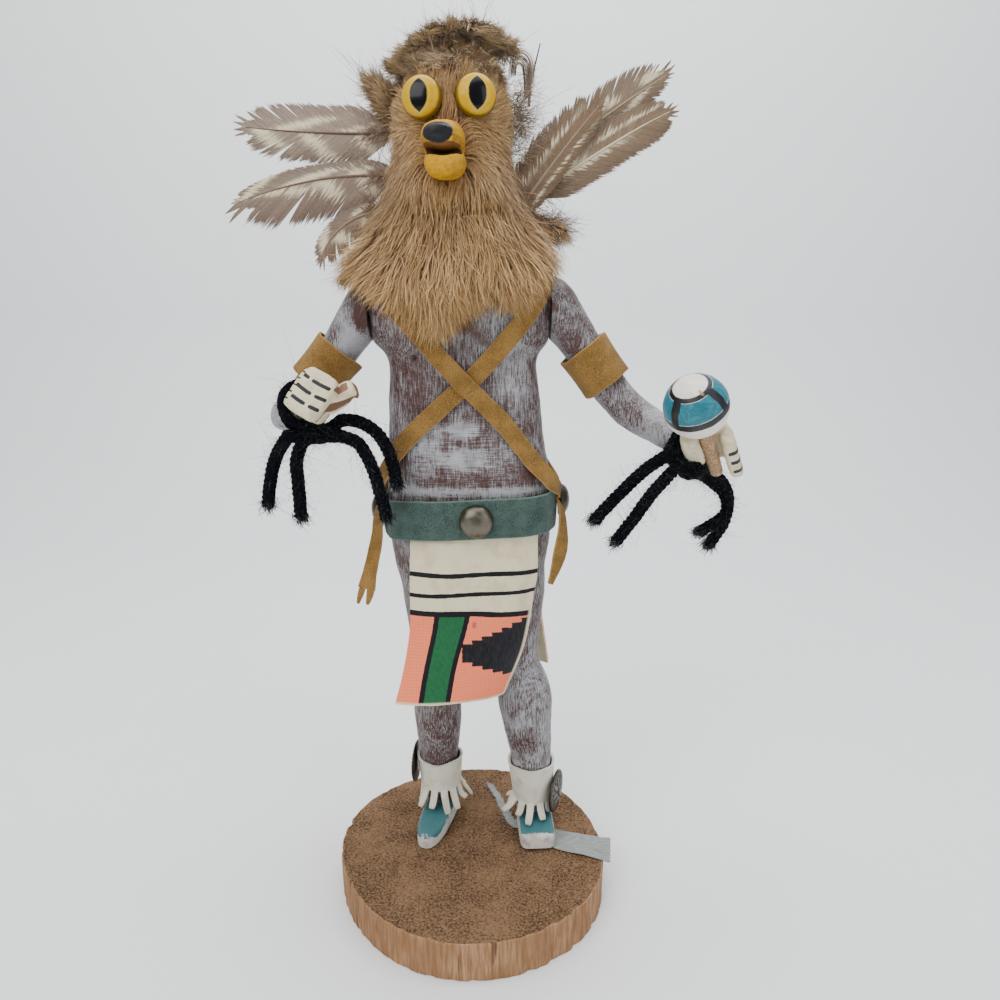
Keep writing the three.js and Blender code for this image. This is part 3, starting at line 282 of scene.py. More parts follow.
def coordinates(mesh):
    """The mesh's points in millimetres."""
    co = np.empty(len(mesh.vertices) * 3)
    mesh.vertices.foreach_get("co", co)
    return co.reshape(-1, 3) / MM


def set_coordinates(mesh, points):
    mesh.vertices.foreach_set("co", (np.asarray(points) * MM).ravel())
    mesh.update()


def normals_of(mesh):
    out = np.empty(len(mesh.vertices) * 3)
    mesh.vertices.foreach_get("normal", out)
    return out.reshape(-1, 3)


def tint(mesh, name, values):
    """Stores a value (n) or a colour (n, 3) for each point, for a material to read."""
    values = np.asarray(values, float)
    if values.ndim == 1:
        values = np.repeat(values[:, None], 3, axis=1)
    colours = np.ones((len(values), 4))
    colours[:, :3] = values
    attribute = mesh.color_attributes.new(name, "FLOAT_COLOR", "POINT")
    attribute.data.foreach_set("color", colours.ravel())


def fused(name, shell, voxel, passes=4, material=None):
    """One closed skin over overlapping shells, softened a little."""
    mesh = mesh_of(name + "_rough", shell)
    obj = new_object(name, mesh, None)
    remesh = obj.modifiers.new("skin", "REMESH")
    remesh.mode = "VOXEL"
    remesh.voxel_size = voxel * MM
    soften = obj.modifiers.new("soften", "SMOOTH")
    soften.factor = 0.5
    soften.iterations = passes
    depsgraph = bpy.context.evaluated_depsgraph_get()
    skin = bpy.data.meshes.new_from_object(obj.evaluated_get(depsgraph))
    obj.modifiers.clear()
    obj.data = skin
    bpy.data.meshes.remove(mesh)
    skin.name = name
    if material is not None:
        skin.materials.append(material)
    return obj


# ---- Node helpers ------------------------------------------------------------------------------


def wire(tree, kind, inputs=None, **options):
    """A new node whose inputs are given as values or as sockets to link from."""
    node = tree.nodes.new("ShaderNode" + kind)
    for name, value in options.items():
        setattr(node, name, value)
    for name, value in (inputs or {}).items():
        socket = node.inputs[name]
        if isinstance(value, bpy.types.NodeSocket):
            tree.links.new(value, socket)
        else:
            socket.default_value = value
    return node


def maths(tree, operation, a, b=0.0):
    return wire(tree, "Math", {0: a, 1: b}, operation=operation).outputs[0]


def times(tree, a, b):
    return maths(tree, "MULTIPLY", a, b)


def plus(tree, a, b):
    return maths(tree, "ADD", a, b)


def minus(tree, a, b):
    return maths(tree, "SUBTRACT", a, b)


def gloss(shader, roughness, specular):
    shader.inputs["Roughness"].default_value = roughness
    shader.inputs["Specular IOR Level"].default_value = specular


def remap(tree, value, low, high, to_low=0.0, to_high=1.0):
    inputs = {0: value, 1: low, 2: high, 3: to_low, 4: to_high}
    return wire(tree, "MapRange", inputs, interpolation_type="SMOOTHSTEP").outputs[0]


def blended(tree, factor, a, b, kind="MIX"):
    """Two colours mixed by a factor."""
    a = (*a, 1.0) if isinstance(a, tuple) and len(a) == 3 else a
    b = (*b, 1.0) if isinstance(b, tuple) and len(b) == 3 else b
    node = wire(tree, "Mix", {0: factor, 6: a, 7: b}, data_type="RGBA", blend_type=kind)
    return node.outputs[2]


def attribute(tree, name):
    return wire(tree, "Attribute", attribute_name=name).outputs["Color"]


def channels(tree, name):
    """The three masks that a mesh's colour attribute holds."""
    return wire(tree, "SeparateColor", {"Color": attribute(tree, name)}).outputs


def cloud(tree, where, scale, detail):
    inputs = {"Vector": where, "Scale": scale, "Detail": detail}
    return wire(tree, "TexNoise", inputs).outputs[0]


def place(tree, scale=(1, 1, 1), turn=(0, 0, 0)):
    """Object coordinates in millimetres, scaled and turned."""
    coordinate = wire(tree, "TexCoord").outputs["Object"]
    scale = tuple(s / MM for s in scale)
    inputs = {"Vector": coordinate, "Scale": scale, "Rotation": turn}
    return wire(tree, "Mapping", inputs).outputs["Vector"]


def finish_material(name, tree_builder):
    """A material whose Principled BSDF is set by a builder function."""
    material = bpy.data.materials.get(name)
    if material is not None:
        return material
    material = bpy.data.materials.new(name)
    material.use_nodes = True
    tree = material.node_tree
    shader = tree.nodes["Principled BSDF"]
    tree_builder(tree, shader)
    return material


def relief(tree, shader, height, distance, strength=1.0):
    """A bump on the shader from a height in millimetres."""
    inputs = {"Height": height, "Distance": distance * MM, "Strength": strength}
    tree.links.new(wire(tree, "Bump", inputs).outputs["Normal"], shader.inputs["Normal"])


def feed(tree, shader, name, socket):
    tree.links.new(socket, shader.inputs[name])


def new_group(name, inputs, outputs):
    """An empty shader node group with named inputs (kind, default) and outputs."""
    group = bpy.data.node_groups.new(name, "ShaderNodeTree")
    for label, (kind, default) in inputs.items():
        socket = group.interface.new_socket(name=label, in_out="INPUT", socket_type=kind)
        if default is not None:
            socket.default_value = default
    for label, kind in outputs.items():
        group.interface.new_socket(name=label, in_out="OUTPUT", socket_type=kind)
    start = group.nodes.new("NodeGroupInput")
    end = group.nodes.new("NodeGroupOutput")
    return group, start.outputs, end.inputs


FLOAT, COLOUR, VECTOR = "NodeSocketFloat", "NodeSocketColor", "NodeSocketVector"


def streak_group():
    """Noise stretched along chosen axes and cut to a mask: brush streaks, fibres, scratches."""
    group = bpy.data.node_groups.get("Streaks")
    if group is not None:
        return group
    group, given, out = new_group("Streaks", {
        "Vector": (VECTOR, None), "Scale": (FLOAT, 1.0), "Detail": (FLOAT, 4.0),
        "Low": (FLOAT, 0.45), "High": (FLOAT, 0.55),
    }, {"Mask": FLOAT, "Value": FLOAT})
    inputs = {"Vector": given["Vector"], "Scale": given["Scale"], "Detail": given["Detail"],
              "Roughness": 0.62}
    value = wire(group, "TexNoise", inputs).outputs[0]
    mask = remap(group, value, given["Low"], given["High"])
    group.links.new(mask, out["Mask"])
    group.links.new(value, out["Value"])
    return group


def nap_group():
    """The brushed nap of suede: fine fibres in soft lighter and darker patches."""
    group = bpy.data.node_groups.get("Suede nap")
    if group is not None:
        return group
    group, given, out = new_group("Suede nap", {
        "Vector": (VECTOR, None), "Dark": (COLOUR, (0.2, 0.1, 0.05, 1)),
        "Light": (COLOUR, (0.5, 0.3, 0.1, 1)), "Patch size": (FLOAT, 9.0),
    }, {"Color": COLOUR, "Height": FLOAT})
    patch_scale = maths(group, "DIVIDE", 1.0, given["Patch size"])
    patches = wire(group, "TexNoise", {
        "Vector": given["Vector"], "Scale": patch_scale, "Detail": 3.0,
    }).outputs[0]
    fibres = wire(group, "TexNoise", {
        "Vector": given["Vector"], "Scale": 2.8, "Detail": 4.0, "Roughness": 0.7,
    }).outputs[0]
    grains = wire(group, "TexVoronoi", {"Vector": given["Vector"], "Scale": 2.6}).outputs[0]
    together = maths(group, "ADD", maths(group, "MULTIPLY", patches, 0.3),
                     maths(group, "MULTIPLY", fibres, 0.95))
    tone = remap(group, together, 0.5, 0.74)
    group.links.new(blended(group, tone, given["Dark"], given["Light"]), out["Color"])
    height = maths(group, "SUBTRACT", fibres, maths(group, "MULTIPLY", grains, 0.35))
    group.links.new(height, out["Height"])
    return group


def dirt_group():
    """Soft dirty blotches and small specks over a colour."""
    group = bpy.data.node_groups.get("Dirt")
    if group is not None:
        return group
    group, given, out = new_group("Dirt", {
        "Vector": (VECTOR, None), "Color": (COLOUR, (1, 1, 1, 1)),
        "Dirt": (COLOUR, (0.3, 0.25, 0.2, 1)), "Amount": (FLOAT, 0.4), "Specks": (FLOAT, 0.5),
    }, {"Color": COLOUR, "Mask": FLOAT})
    blotch = wire(group, "TexNoise", {"Vector": given["Vector"], "Scale": 0.16, "Detail": 6.0})
    soft = maths(group, "MULTIPLY", remap(group, blotch.outputs[0], 0.46, 0.72), given["Amount"])
    speck = wire(group, "TexNoise", {"Vector": given["Vector"], "Scale": 1.7, "Detail": 2.0})
    dots = maths(group, "MULTIPLY", remap(group, speck.outputs[0], 0.68, 0.74), given["Specks"])
    mask = maths(group, "MAXIMUM", soft, dots)
    group.links.new(blended(group, mask, given["Color"], given["Dirt"]), out["Color"])
    group.links.new(mask, out["Mask"])
    return group


def use(tree, group, inputs):
    node = wire(tree, "Group", node_tree=group)
    for name, value in inputs.items():
        socket = node.inputs[name]
        if isinstance(value, bpy.types.NodeSocket):
            tree.links.new(value, socket)
        else:
            socket.default_value = value
    return node.outputs


def rgba(colour):
    return (*tuple(colour)[:3], 1.0)


# ---- Sizes and colours that a user can change --------------------------------------------------


def length_property(name, description, default):
    return bpy.props.FloatProperty(
        name=name, description=description, default=default * MM, unit="LENGTH", min=0.0
    )


def colour_property(name, description, default):
    return bpy.props.FloatVectorProperty(
        name=name, description=description, default=default, subtype="COLOR", size=3,
        min=0.0, max=1.0,
    )


class KachinaSizes(bpy.types.PropertyGroup):
    hair_width: length_property("Hair width", "Width of one hair of the pelt at its root", 0.41)
    beard_hairs: bpy.props.IntProperty(
        name="Beard hairs", description="Number of hairs on the face and beard", default=25000
    )
    crown_hairs: bpy.props.IntProperty(
        name="Crown hairs", description="Number of hairs in the tuft on the crown", default=8400
    )
    ruff_hairs: bpy.props.IntProperty(
        name="Ruff hairs", description="Number of hairs in the ruff at the neck", default=7000
    )
    yarn_diameter: length_property("Yarn diameter", "Thickness of the wool yarn", 4.8)
    wood_grain: length_property("Skin size", "Edge of one face of the carved skin", 1.22)
    barb_spacing: length_property("Barb spacing", "Distance between barbs of a feather", 0.55)


class KachinaColours(bpy.types.PropertyGroup):
    undercoat: colour_property("Undercoat", "Maroon-brown paint on the body", (0.06, 0.02, 0.015))
    dry_brush: colour_property("Dry brush", "Worn white coat over it", (0.39, 0.395, 0.415))
    cream: colour_property("Cream", "Cream paint on hands and kilt", (0.72, 0.64, 0.425))
    salmon: colour_property("Salmon", "Lower ground of the kilt", (0.9, 0.195, 0.085))
    kilt_green: colour_property("Kilt green", "Stripe on the kilt", (0.008, 0.095, 0.033))
    ink: colour_property("Ink", "Black painted lines", (0.004, 0.004, 0.007))
    turquoise: colour_property("Turquoise", "Panels of the rattle", (0.008, 0.2, 0.27))
    teal: colour_property("Teal", "Paint on the moccasins", (0.028, 0.125, 0.14))
    suede_dark: colour_property("Suede shade", "Tan suede in its nap's shade", (0.15, 0.08, 0.018))
    suede_light: colour_property("Suede light", "Tan suede brushed light", (0.35, 0.195, 0.055))
    belt_dark: colour_property("Belt shade", "Green suede in shade", (0.026, 0.046, 0.04))
    belt_light: colour_property("Belt light", "Green suede brushed light", (0.08, 0.128, 0.11))
    fur_root: colour_property("Fur root", "Hair colour at the root", (0.085, 0.04, 0.014))
    fur_middle: colour_property("Fur", "Hair colour along its length", (0.36, 0.198, 0.07))
    fur_tip: colour_property("Fur tip", "Hair colour at the tip", (0.75, 0.51, 0.235))
    yarn: colour_property("Yarn", "Blue-black wool", (0.0028, 0.003, 0.0052))
    iris: colour_property("Iris", "Yellow of the eyes", (0.6, 0.35, 0.0))
    ochre: colour_property("Ochre", "Yellow of the muzzle", (0.6, 0.3, 0.004))
    floor: colour_property("Floor", "Pale paper under the doll", (0.86, 0.875, 0.885))


def sizes():
    return bpy.context.scene.kachina_sizes


def colours():
    return bpy.context.scene.kachina_colours


# ---- Floor, lights and camera ------------------------------------------------------------------


def area_light(name, place_at, aim_at, size, power, colour):
    data = bpy.data.lights.new(name, "AREA")
    data.shape = "RECTANGLE"
    data.size, data.size_y = size
    data.energy = power
    data.color = colour
    lamp = bpy.data.objects.new(name, data)
    lamp.location = place_at
    lamp.rotation_euler = (Vector(aim_at) - Vector(place_at)).to_track_quat("-Z", "Y").to_euler()
    bpy.context.scene.collection.objects.link(lamp)
    return lamp


def paper(tree, shader):
    where = place(tree)
    value = cloud(tree, where, 0.02, 3.0)
    base = colours().floor
    shade = tuple(c * 0.97 for c in base)
    feed(tree, shader, "Base Color", blended(tree, value, rgba(shade), rgba(base)))
    gloss(shader, 0.42, 0.35)


def build_stage():
    """A pale floor that curves up behind the doll, two soft windows of light and the camera."""
    half_width = 1300.0
    profile = [(-900.0, 0.0), (520.0, 0.0)]
    bend = 260.0
    for i in range(1, 17):
        angle = (math.pi / 2) * i / 16
        profile.append((520.0 + bend * math.sin(angle), bend * (1 - math.cos(angle))))
    profile.append((780.0, 1500.0))
    near = [point(-half_width, y, z) for y, z in profile]
    far = [point(half_width, y, z) for y, z in profile]
    points = near + far
    count = len(profile)
    faces = [(i, i + 1, count + i + 1, count + i) for i in range(count - 1)]
    mesh = bpy.data.meshes.new("floor_paper")
    mesh.from_pydata((np.array(points) * MM).tolist(), [], faces)
    floor = new_object("floor_paper", mesh, finish_material("floor paper", paper))
    mesh.polygons.foreach_set("use_smooth", [True] * len(mesh.polygons))

    area_light("window_front_left", (-0.62, -0.85, 0.92), (0.0, 0.0, 0.17), (0.9, 0.9), 11.5,
               (1.0, 0.985, 0.97))
    area_light("window_overhead", (0.12, -0.1, 1.15), (0.0, 0.02, 0.1), (1.1, 0.9), 9.0,
               (0.98, 0.99, 1.0))
    area_light("window_front_right", (0.85, -0.7, 0.55), (0.0, 0.0, 0.2), (0.6, 0.9), 3.6,
               (0.97, 0.985, 1.0))
    area_light("wall_wash", (0.0, 0.2, 1.3), (0.0, 0.75, 0.45), (1.6, 0.5), 11.0, (1, 1, 1))

    world = bpy.data.worlds.new("soft room")
    bpy.context.scene.world = world
    world.use_nodes = True
    background = world.node_tree.nodes["Background"]
    background.inputs["Color"].default_value = (0.93, 0.96, 1.0, 1.0)
    background.inputs["Strength"].default_value = 0.4

    camera = bpy.data.cameras.new("camera")
    camera.lens = 26.0
    camera.sensor_width = 36.0
    camera.clip_start = 0.01
    view = bpy.data.objects.new("camera", camera)
    view.location = (0.0117, -0.2728, 0.2296)
    view.rotation_euler = (math.radians(77.25), 0.0, 0.0)
    bpy.context.scene.collection.objects.link(view)
    bpy.context.scene.camera = view


# ---- Fine hairs as narrow ribbons --------------------------------------------------------------


def ribbons(paths, widths, outs):
    """Points and faces of narrow ribbons that taper to a point.

    paths is (n, k, 3), widths (n,) and outs (n, k, 3) the way each ribbon faces.
    """
    paths = np.asarray(paths, float)
    count, steps, _ = paths.shape
    tangent = np.empty_like(paths)
    tangent[:, 1:-1] = paths[:, 2:] - paths[:, :-2]
    tangent[:, 0] = paths[:, 1] - paths[:, 0]
    tangent[:, -1] = paths[:, -1] - paths[:, -2]
    side = unit(np.cross(unit(tangent), outs))
    share = np.linspace(0, 1, steps)
    taper = 1 - 0.55 * share**1.5
    half = 0.5 * np.asarray(widths)[:, None, None] * taper[None, :, None]
    left = paths[:, :-1] - (side * half)[:, :-1]
    right = paths[:, :-1] + (side * half)[:, :-1]
    per = 2 * (steps - 1) + 1
    points = np.empty((count, per, 3))
    points[:, 0 : per - 1 : 2] = left
    points[:, 1 : per - 1 : 2] = right
    points[:, per - 1] = paths[:, -1]
    start = (np.arange(count) * per)[:, None]
    quads = []
    for k in range(steps - 2):
        quads.append(start + np.array([[2 * k, 2 * k + 1, 2 * k + 3, 2 * k + 2]]))
    quads = np.concatenate(quads, axis=0)
    last = 2 * (steps - 2)
    tips = start + np.array([[last, last + 1, per - 1]])
    return points.reshape(-1, 3), quads, tips, share


def ribbon_mesh(name, points, quads, tips):
    """A mesh straight from arrays, as hairs are too many for a slower way."""
    mesh = bpy.data.meshes.new(name)
    mesh.vertices.add(len(points))
    mesh.vertices.foreach_set("co", (points * MM).ravel())
    loops = np.concatenate([quads.ravel(), tips.ravel()])
    mesh.loops.add(len(loops))
    mesh.loops.foreach_set("vertex_index", loops.astype(np.int32))
    totals = np.concatenate([np.full(len(quads), 4), np.full(len(tips), 3)])
    starts = np.concatenate([[0], np.cumsum(totals)[:-1]])
    mesh.polygons.add(len(totals))
    mesh.polygons.foreach_set("loop_start", starts.astype(np.int32))
    mesh.polygons.foreach_set("loop_total", totals.astype(np.int32))
    mesh.update(calc_edges=True)
    return mesh


def per_point(values, steps):
    """Spreads (n, k) values of ribbon stations over each ribbon's points."""
    values = np.asarray(values, float)
    tail = values.shape[2:]
    count = len(values)
    out = np.empty((count, 2 * (steps - 1) + 1, *tail))
    out[:, 0 : 2 * (steps - 1) : 2] = values[:, :-1]
    out[:, 1 : 2 * (steps - 1) : 2] = values[:, :-1]
    out[:, -1] = values[:, -1]
    return out.reshape(count * (2 * (steps - 1) + 1), *tail)


def hair_material(tree, shader):
    tone = attribute(tree, "hair")
    where = place(tree)
    flecks = cloud(tree, where, 1.1, 2.0)
    shade = remap(tree, flecks, 0.3, 0.7, 0.82, 1.14)
    spread = wire(tree, "CombineColor", {0: shade, 1: shade, 2: shade}).outputs[0]
    feed(tree, shader, "Base Color", blended(tree, 1.0, tone, spread, "MULTIPLY"))
    gloss(shader, 0.62, 0.3)
    shader.inputs["Sheen Weight"].default_value = 0.25
    shader.inputs["Sheen Roughness"].default_value = 0.5


def loose_hairs(name, roots, directions, lengths, width, colour, rng, curl=0.25, steps=5):
    """Separate fine hairs that leave their roots and drift, each its own way."""
    count = len(roots)
    share = np.linspace(0, 1, steps)[None, :, None]
    drift = rng.normal(size=(count, 3)) * curl
    wave = rng.normal(size=(count, 3)) * curl * 0.5
    lengths = np.asarray(lengths)[:, None, None]
    along = directions[:, None, :] * share
    paths = roots[:, None, :] + lengths * (
        along + drift[:, None, :] * share**2 + wave[:, None, :] * np.sin(5 * share) * share
    )
    outs = np.repeat(unit(rng.normal(size=(count, 3)))[:, None, :], steps, axis=1)
    points, quads, tips, _ = ribbons(paths, np.full(count, width), outs)
    mesh = ribbon_mesh(name, points, quads, tips)
    colour = np.asarray(colour)
    if colour.ndim == 1:
        tones = np.tile(colour, (len(points), 1))
    else:
        tones = per_point(np.repeat(colour[:, None, :], steps, axis=1), steps)
    tint(mesh, "hair", tones)
    obj = new_object(name, mesh, finish_material("hair", hair_material))
    mesh.polygons.foreach_set("use_smooth", [True] * len(mesh.polygons))
    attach(obj, BODY)
    return obj


# ---- Yarn --------------------------------------------------------------------------------------

WRIST_RADIUS = 5.2
WRAP_SHIFT = 3.2  # the turns of yarn sit this far towards the hand
WRIST_WRAPS = {
    "right": {"centre": point(-60.2, -10.8, 204.3), "axis": point(5, -8, 3),
              "knot": point(-52.6, -14.6, 195.6)},
    "left": {"centre": point(78.4, 0.5, 191.7), "axis": point(11, -8.8, -6.6),
             "knot": point(83, -7.4, 181)},
}
YARN_ENDS = {
    "yarn_end_right_1": [
        (-63, -20.2, 195.4), (-67, -17.6, 190.2), (-70.4, -15.2, 184), (-72.6, -14, 176),
        (-73.8, -13, 168.2),
    ],
    "yarn_end_right_2": [
        (-57.8, -19, 194.2), (-60.6, -19, 187), (-61, -17.8, 178), (-60.8, -16.6, 164.4),
    ],
    "yarn_end_right_3": [
        (-45.6, -15.6, 195), (-39, -15.4, 192), (-34.6, -14, 182.4), (-32, -12.6, 171),
        (-30.2, -11.4, 162.6),
    ],
    "yarn_end_right_4": [
        (-45.8, -12, 200.2), (-40, -12, 199.8), (-33.4, -11, 195.6), (-28.8, -10, 187),
        (-26.4, -9, 174.6),
    ],
    "yarn_end_left_1": [
        (76, -8.4, 187.6), (71.4, -10.6, 186), (63.6, -11, 180.4), (55.6, -10, 171.8),
        (46.6, -8, 161.2),
    ],
    "yarn_end_left_2": [
        (76.6, -11.6, 182.8), (72.6, -13.4, 179.2), (66.8, -13.6, 172.4), (60.8, -13, 163),
        (54.4, -12, 154),
    ],
    "yarn_end_left_3": [
        (88.4, 2, 178.2), (94, 5.2, 174.6), (100.4, 6, 168.6), (100.8, 5.6, 160.4),
        (90, 4.4, 153.4),
    ],
    "yarn_end_left_4": [
        (85.6, 5.4, 180.8), (94.6, 11, 178.4), (103.4, 12.4, 168.6), (103, 12, 156.6),
        (96.2, 10.4, 146),
    ],
}


def evenly(points, spacing):
    """The same line with points a fixed distance apart."""
    points = np.asarray(points, float)
    steps = np.linalg.norm(np.diff(points, axis=0), axis=1)
    run = np.concatenate([[0], np.cumsum(steps)])
    count = max(3, int(round(run[-1] / spacing)) + 1)
    want = np.linspace(0, run[-1], count)
    return np.stack([np.interp(want, run, points[:, i]) for i in range(3)], axis=1)


def yarn_material(tree, shader):
    where = place(tree)
    fibres = wire(tree, "TexNoise", {
        "Vector": where, "Scale": 2.6, "Detail": 6.0, "Roughness": 0.8,
    }).outputs[0]
    base = np.array(colours().yarn)
    light = tuple(base * 2.2 + 0.002)
    feed(tree, shader, "Base Color",
         blended(tree, remap(tree, fibres, 0.4, 0.8), rgba(base), rgba(light)))
    gloss(shader, 0.95, 0.06)
    relief(tree, shader, fibres, 0.6, 0.9)


def twisted(centre_line, diameter, frayed=True, closed=False, sides=18, pitch=8.5):
    """A yarn's skin: four plies twisted together round its line, loosened at the free end."""
    line = evenly(centre_line, 0.55)
    _, right, front = frames_along(line, point(0.31, 0.83, 0.46))
    run = np.arange(len(line)) * 0.55
    total = run[-1]
    angle = TAU * np.arange(sides) / sides
    rings = []
    for i, place_on in enumerate(line):
        twist = TAU * run[i] / pitch
        plies = 0.78 + 0.26 * np.abs(np.cos(2 * (angle - twist))) ** 0.8
        plies += 0.035 * np.sin(9 * angle + 2.1 * run[i]) + 0.03 * np.sin(5 * angle - 3.3 * run[i])
        size = diameter / 2 * plies
        if frayed:
            size = size * (1 + 0.16 * smooth((run[i] - total + 6) / 6) * np.cos(3 * angle))
            size = size * (1 - 0.35 * smooth((run[i] - total + 1.2) / 1.2))
        rings.append(place_on + size[:, None] * (
            np.cos(angle)[:, None] * right[i] + np.sin(angle)[:, None] * front[i]
        ))
    return (hoop(rings) if closed else loft(rings)), line, right, front


def fuzz_round(name, lines, radius, per_mm, longest, rng, colour):
    """Short wool hairs that stand off a yarn all round it."""
    roots, ways, lengths = [], [], []
    for line, right, front in lines:
        run = 0.55 * len(line)
        for _ in range(int(run * per_mm)):
            i = rng.integers(len(line))
            angle = rng.uniform(0, TAU)
            out = math.cos(angle) * right[i] + math.sin(angle) * front[i]
            roots.append(line[i] + out * radius * 0.82)
            tangent = line[min(i + 1, len(line) - 1)] - line[max(i - 1, 0)]
            ways.append(unit(out + 0.9 * rng.normal(size=3) * 0.7 + 0.4 * unit(tangent)))
            lengths.append(1.2 + longest * rng.random() ** 4)
    return loose_hairs(name, np.array(roots), np.array(ways), np.array(lengths), 0.1,
                       colour, rng, curl=0.95)


def build_yarn():
    """The wool round each wrist with its knot, and the eight loose ends."""
    diameter = sizes().yarn_diameter / MM
    finish = finish_material("black wool", yarn_material)
    wool = np.array(colours().yarn) * 1.4 + 0.001
    rng = np.random.default_rng(31)
    for name, route in YARN_ENDS.items():
        line = rows_through(route, 10)
        shell, ring_line, right, front = twisted(line, diameter)
        end = make(name + "_wool", shell, finish, [name])
        tip = ring_line[-1]
        fringe_way = unit(ring_line[-1] - ring_line[-4])
        fringe_roots = tip + rng.normal(size=(260, 3)) * 1.0 - fringe_way * 2.2
        fringe_ways = unit(fringe_way + rng.normal(size=(260, 3)) * 0.38)
        fringe = loose_hairs(name + "_frayed_tip", fringe_roots, fringe_ways,
                             2.0 + 2.2 * rng.random(260), 0.26, wool * 0.7, rng, 0.2)
        fuzz = fuzz_round(name + "_fuzz", [(ring_line, right, front)], diameter / 2, 12, 4.6, rng,
                          wool)
    for side, wrap in WRIST_WRAPS.items():
        axis = unit(wrap["axis"])
        right = unit(Z - (Z @ axis) * axis)
        front = np.cross(axis, right)
        radius = WRIST_RADIUS + 2.3
        centre = wrap["centre"] + WRAP_SHIFT * axis
        shells, lines = [], []
        for offset, scale, start in ((-1.25, 0.94, 0.0), (1.3, 0.9, 0.5)):
            turn = np.linspace(start, start + TAU, 64)
            loop = np.array([
                centre + (radius + 0.35 * math.sin(3 * a)) * (
                    math.cos(a) * right + math.sin(a) * front
                ) + (offset + 0.5 * math.sin(a * 2 + offset)) * axis
                for a in turn
            ])
            shell, line, line_right, line_front = twisted(loop, diameter * scale * 0.86, False)
            shells.append(shell)
            lines.append((line, line_right, line_front))
        low = centre - radius * right
        knot = wrap["knot"]
        starts = [np.array(route[0]) for name, route in YARN_ENDS.items() if side in name]
        for start in starts:
            dip = mix(knot, start, 0.5) - Z * 0.5
            shell, line, line_right, line_front = twisted(
                rows_through([knot, dip, start + 0.12 * (start - knot)], 8), diameter, False
            )
            shells.append(shell)
            lines.append((line, line_right, line_front))
        for shift in (-1.0, 1.0):
            sag = point(shift * 1.1, -shift * 0.6, 0.0)
            link = rows_through([low + sag, mix(low, knot, 0.5) + sag * 1.6, knot + sag * 0.4], 10)
            shell, line, line_right, line_front = twisted(link, diameter * 0.8, False)
            shells.append(shell)
            lines.append((line, line_right, line_front))
        # The knot is a short overhand turn of the same yarn.
        for tilt, size in ((0.3, 3.1), (1.5, 2.8), (2.6, 2.9)):
            turn = np.linspace(0, TAU * 0.92, 34)
            across = point(math.cos(tilt), math.sin(tilt) * 0.5, 0.35 * math.sin(2 * tilt))
            across = unit(across)
            up = unit(np.cross(across, point(0.2, 1, 0.3)))
            loop = np.array([
                knot + size * (math.cos(a) * across + 0.72 * math.sin(a) * up) for a in turn
            ])
            shell, line, line_right, line_front = twisted(loop, diameter * 0.72, False)
            shells.append(shell)
            lines.append((line, line_right, line_front))
        node = "wrist_yarn_" + side
        make(node + "_wool", merged(*shells), finish, [node])
        fuzz = fuzz_round(node + "_fuzz", lines, diameter / 2, 5, 7, rng, wool)


# ---- The carved body ---------------------------------------------------------------------------

SHOULDER_SEAM_RIGHT = -37.3
SHOULDER_SEAM_LEFT = 30.6
# Each row is height, centre x, half-width, centre y, half-depth and squareness.
TORSO = [
    (112, -0.4, 13, 16, 8, 2.2), (118, -0.4, 24, 16, 13.5, 2.4), (130, -0.4, 29, 16, 17, 2.6),
    (150, -0.4, 32.4, 16, 18.2, 2.6), (170, -0.6, 33, 16, 18.4, 2.6),
    (188, -1.7, 31.2, 15.5, 17.6, 2.6), (206, -2.3, 29.6, 15, 17.2, 2.6),
    (221, -2.8, 28.8, 14.5, 17.2, 2.6), (228, -3.3, 33.5, 14.3, 17, 2.8),
    (238, -3.4, 35.6, 14, 16.4, 3), (248, -3.4, 34.6, 14, 14.6, 2.8),
    (255, -4, 28, 14, 12.4, 2.4), (261, -4.6, 15, 13.4, 10.4, 2.2),
    (270, -5.2, 12, 12.8, 10.4, 2),
]
HEAD = [(268, 8, 8), (273, 14, 13.5), (282, 18, 17.4), (296, 19, 18.4), (310, 18.4, 18),
        (319, 15, 15), (325, 8.5, 8.5)]
HEAD_X, HEAD_Y = -5.5, 12.6
UNDER_PELT = 5.0  # the pelt hides the head, so its wood stays this far inside it
# Legs run from the top of the foot to inside the hips: x, y, z, half-width and half-depth.
RIGHT_LEG = [
    (-15.2, 23, 23, 6.4, 7), (-15.3, 22.6, 36, 7.4, 7.8), (-15.6, 22, 48, 8.5, 8.8),
    (-15.7, 20.5, 58, 9.6, 10), (-15.7, 19, 68, 10.4, 11), (-15.5, 17.5, 78, 10, 10.6),
    (-15.4, 16.2, 92, 9.8, 10.2), (-15.3, 16, 108, 11.4, 12), (-15.2, 16, 126, 14, 14.5),
    (-15, 16, 146, 15.8, 16),
]
LEFT_LEG = [
    (26.4, 15.6, 24, 6.3, 7), (26.2, 15, 33, 7.1, 7.7), (25.5, 14, 47, 8.6, 9),
    (24.7, 13.4, 57, 9.5, 10), (23.4, 13, 67, 10.7, 11.2), (22.6, 13, 77, 11.6, 11.8),
    (21.4, 13.4, 84, 11, 11.6), (18.9, 14.4, 94, 9.6, 10.4), (17.8, 15.4, 106, 10.6, 11.6),
    (16.6, 16, 126, 13.8, 14.4), (15, 16, 146, 15.6, 16),
]
TORSO_FINE = rows_through(TORSO, 6)


def torso_section(z):
    columns = [np.interp(z, TORSO_FINE[:, 0], TORSO_FINE[:, i]) for i in range(1, 6)]
    return columns  # centre x, half-width, centre y, half-depth, squareness


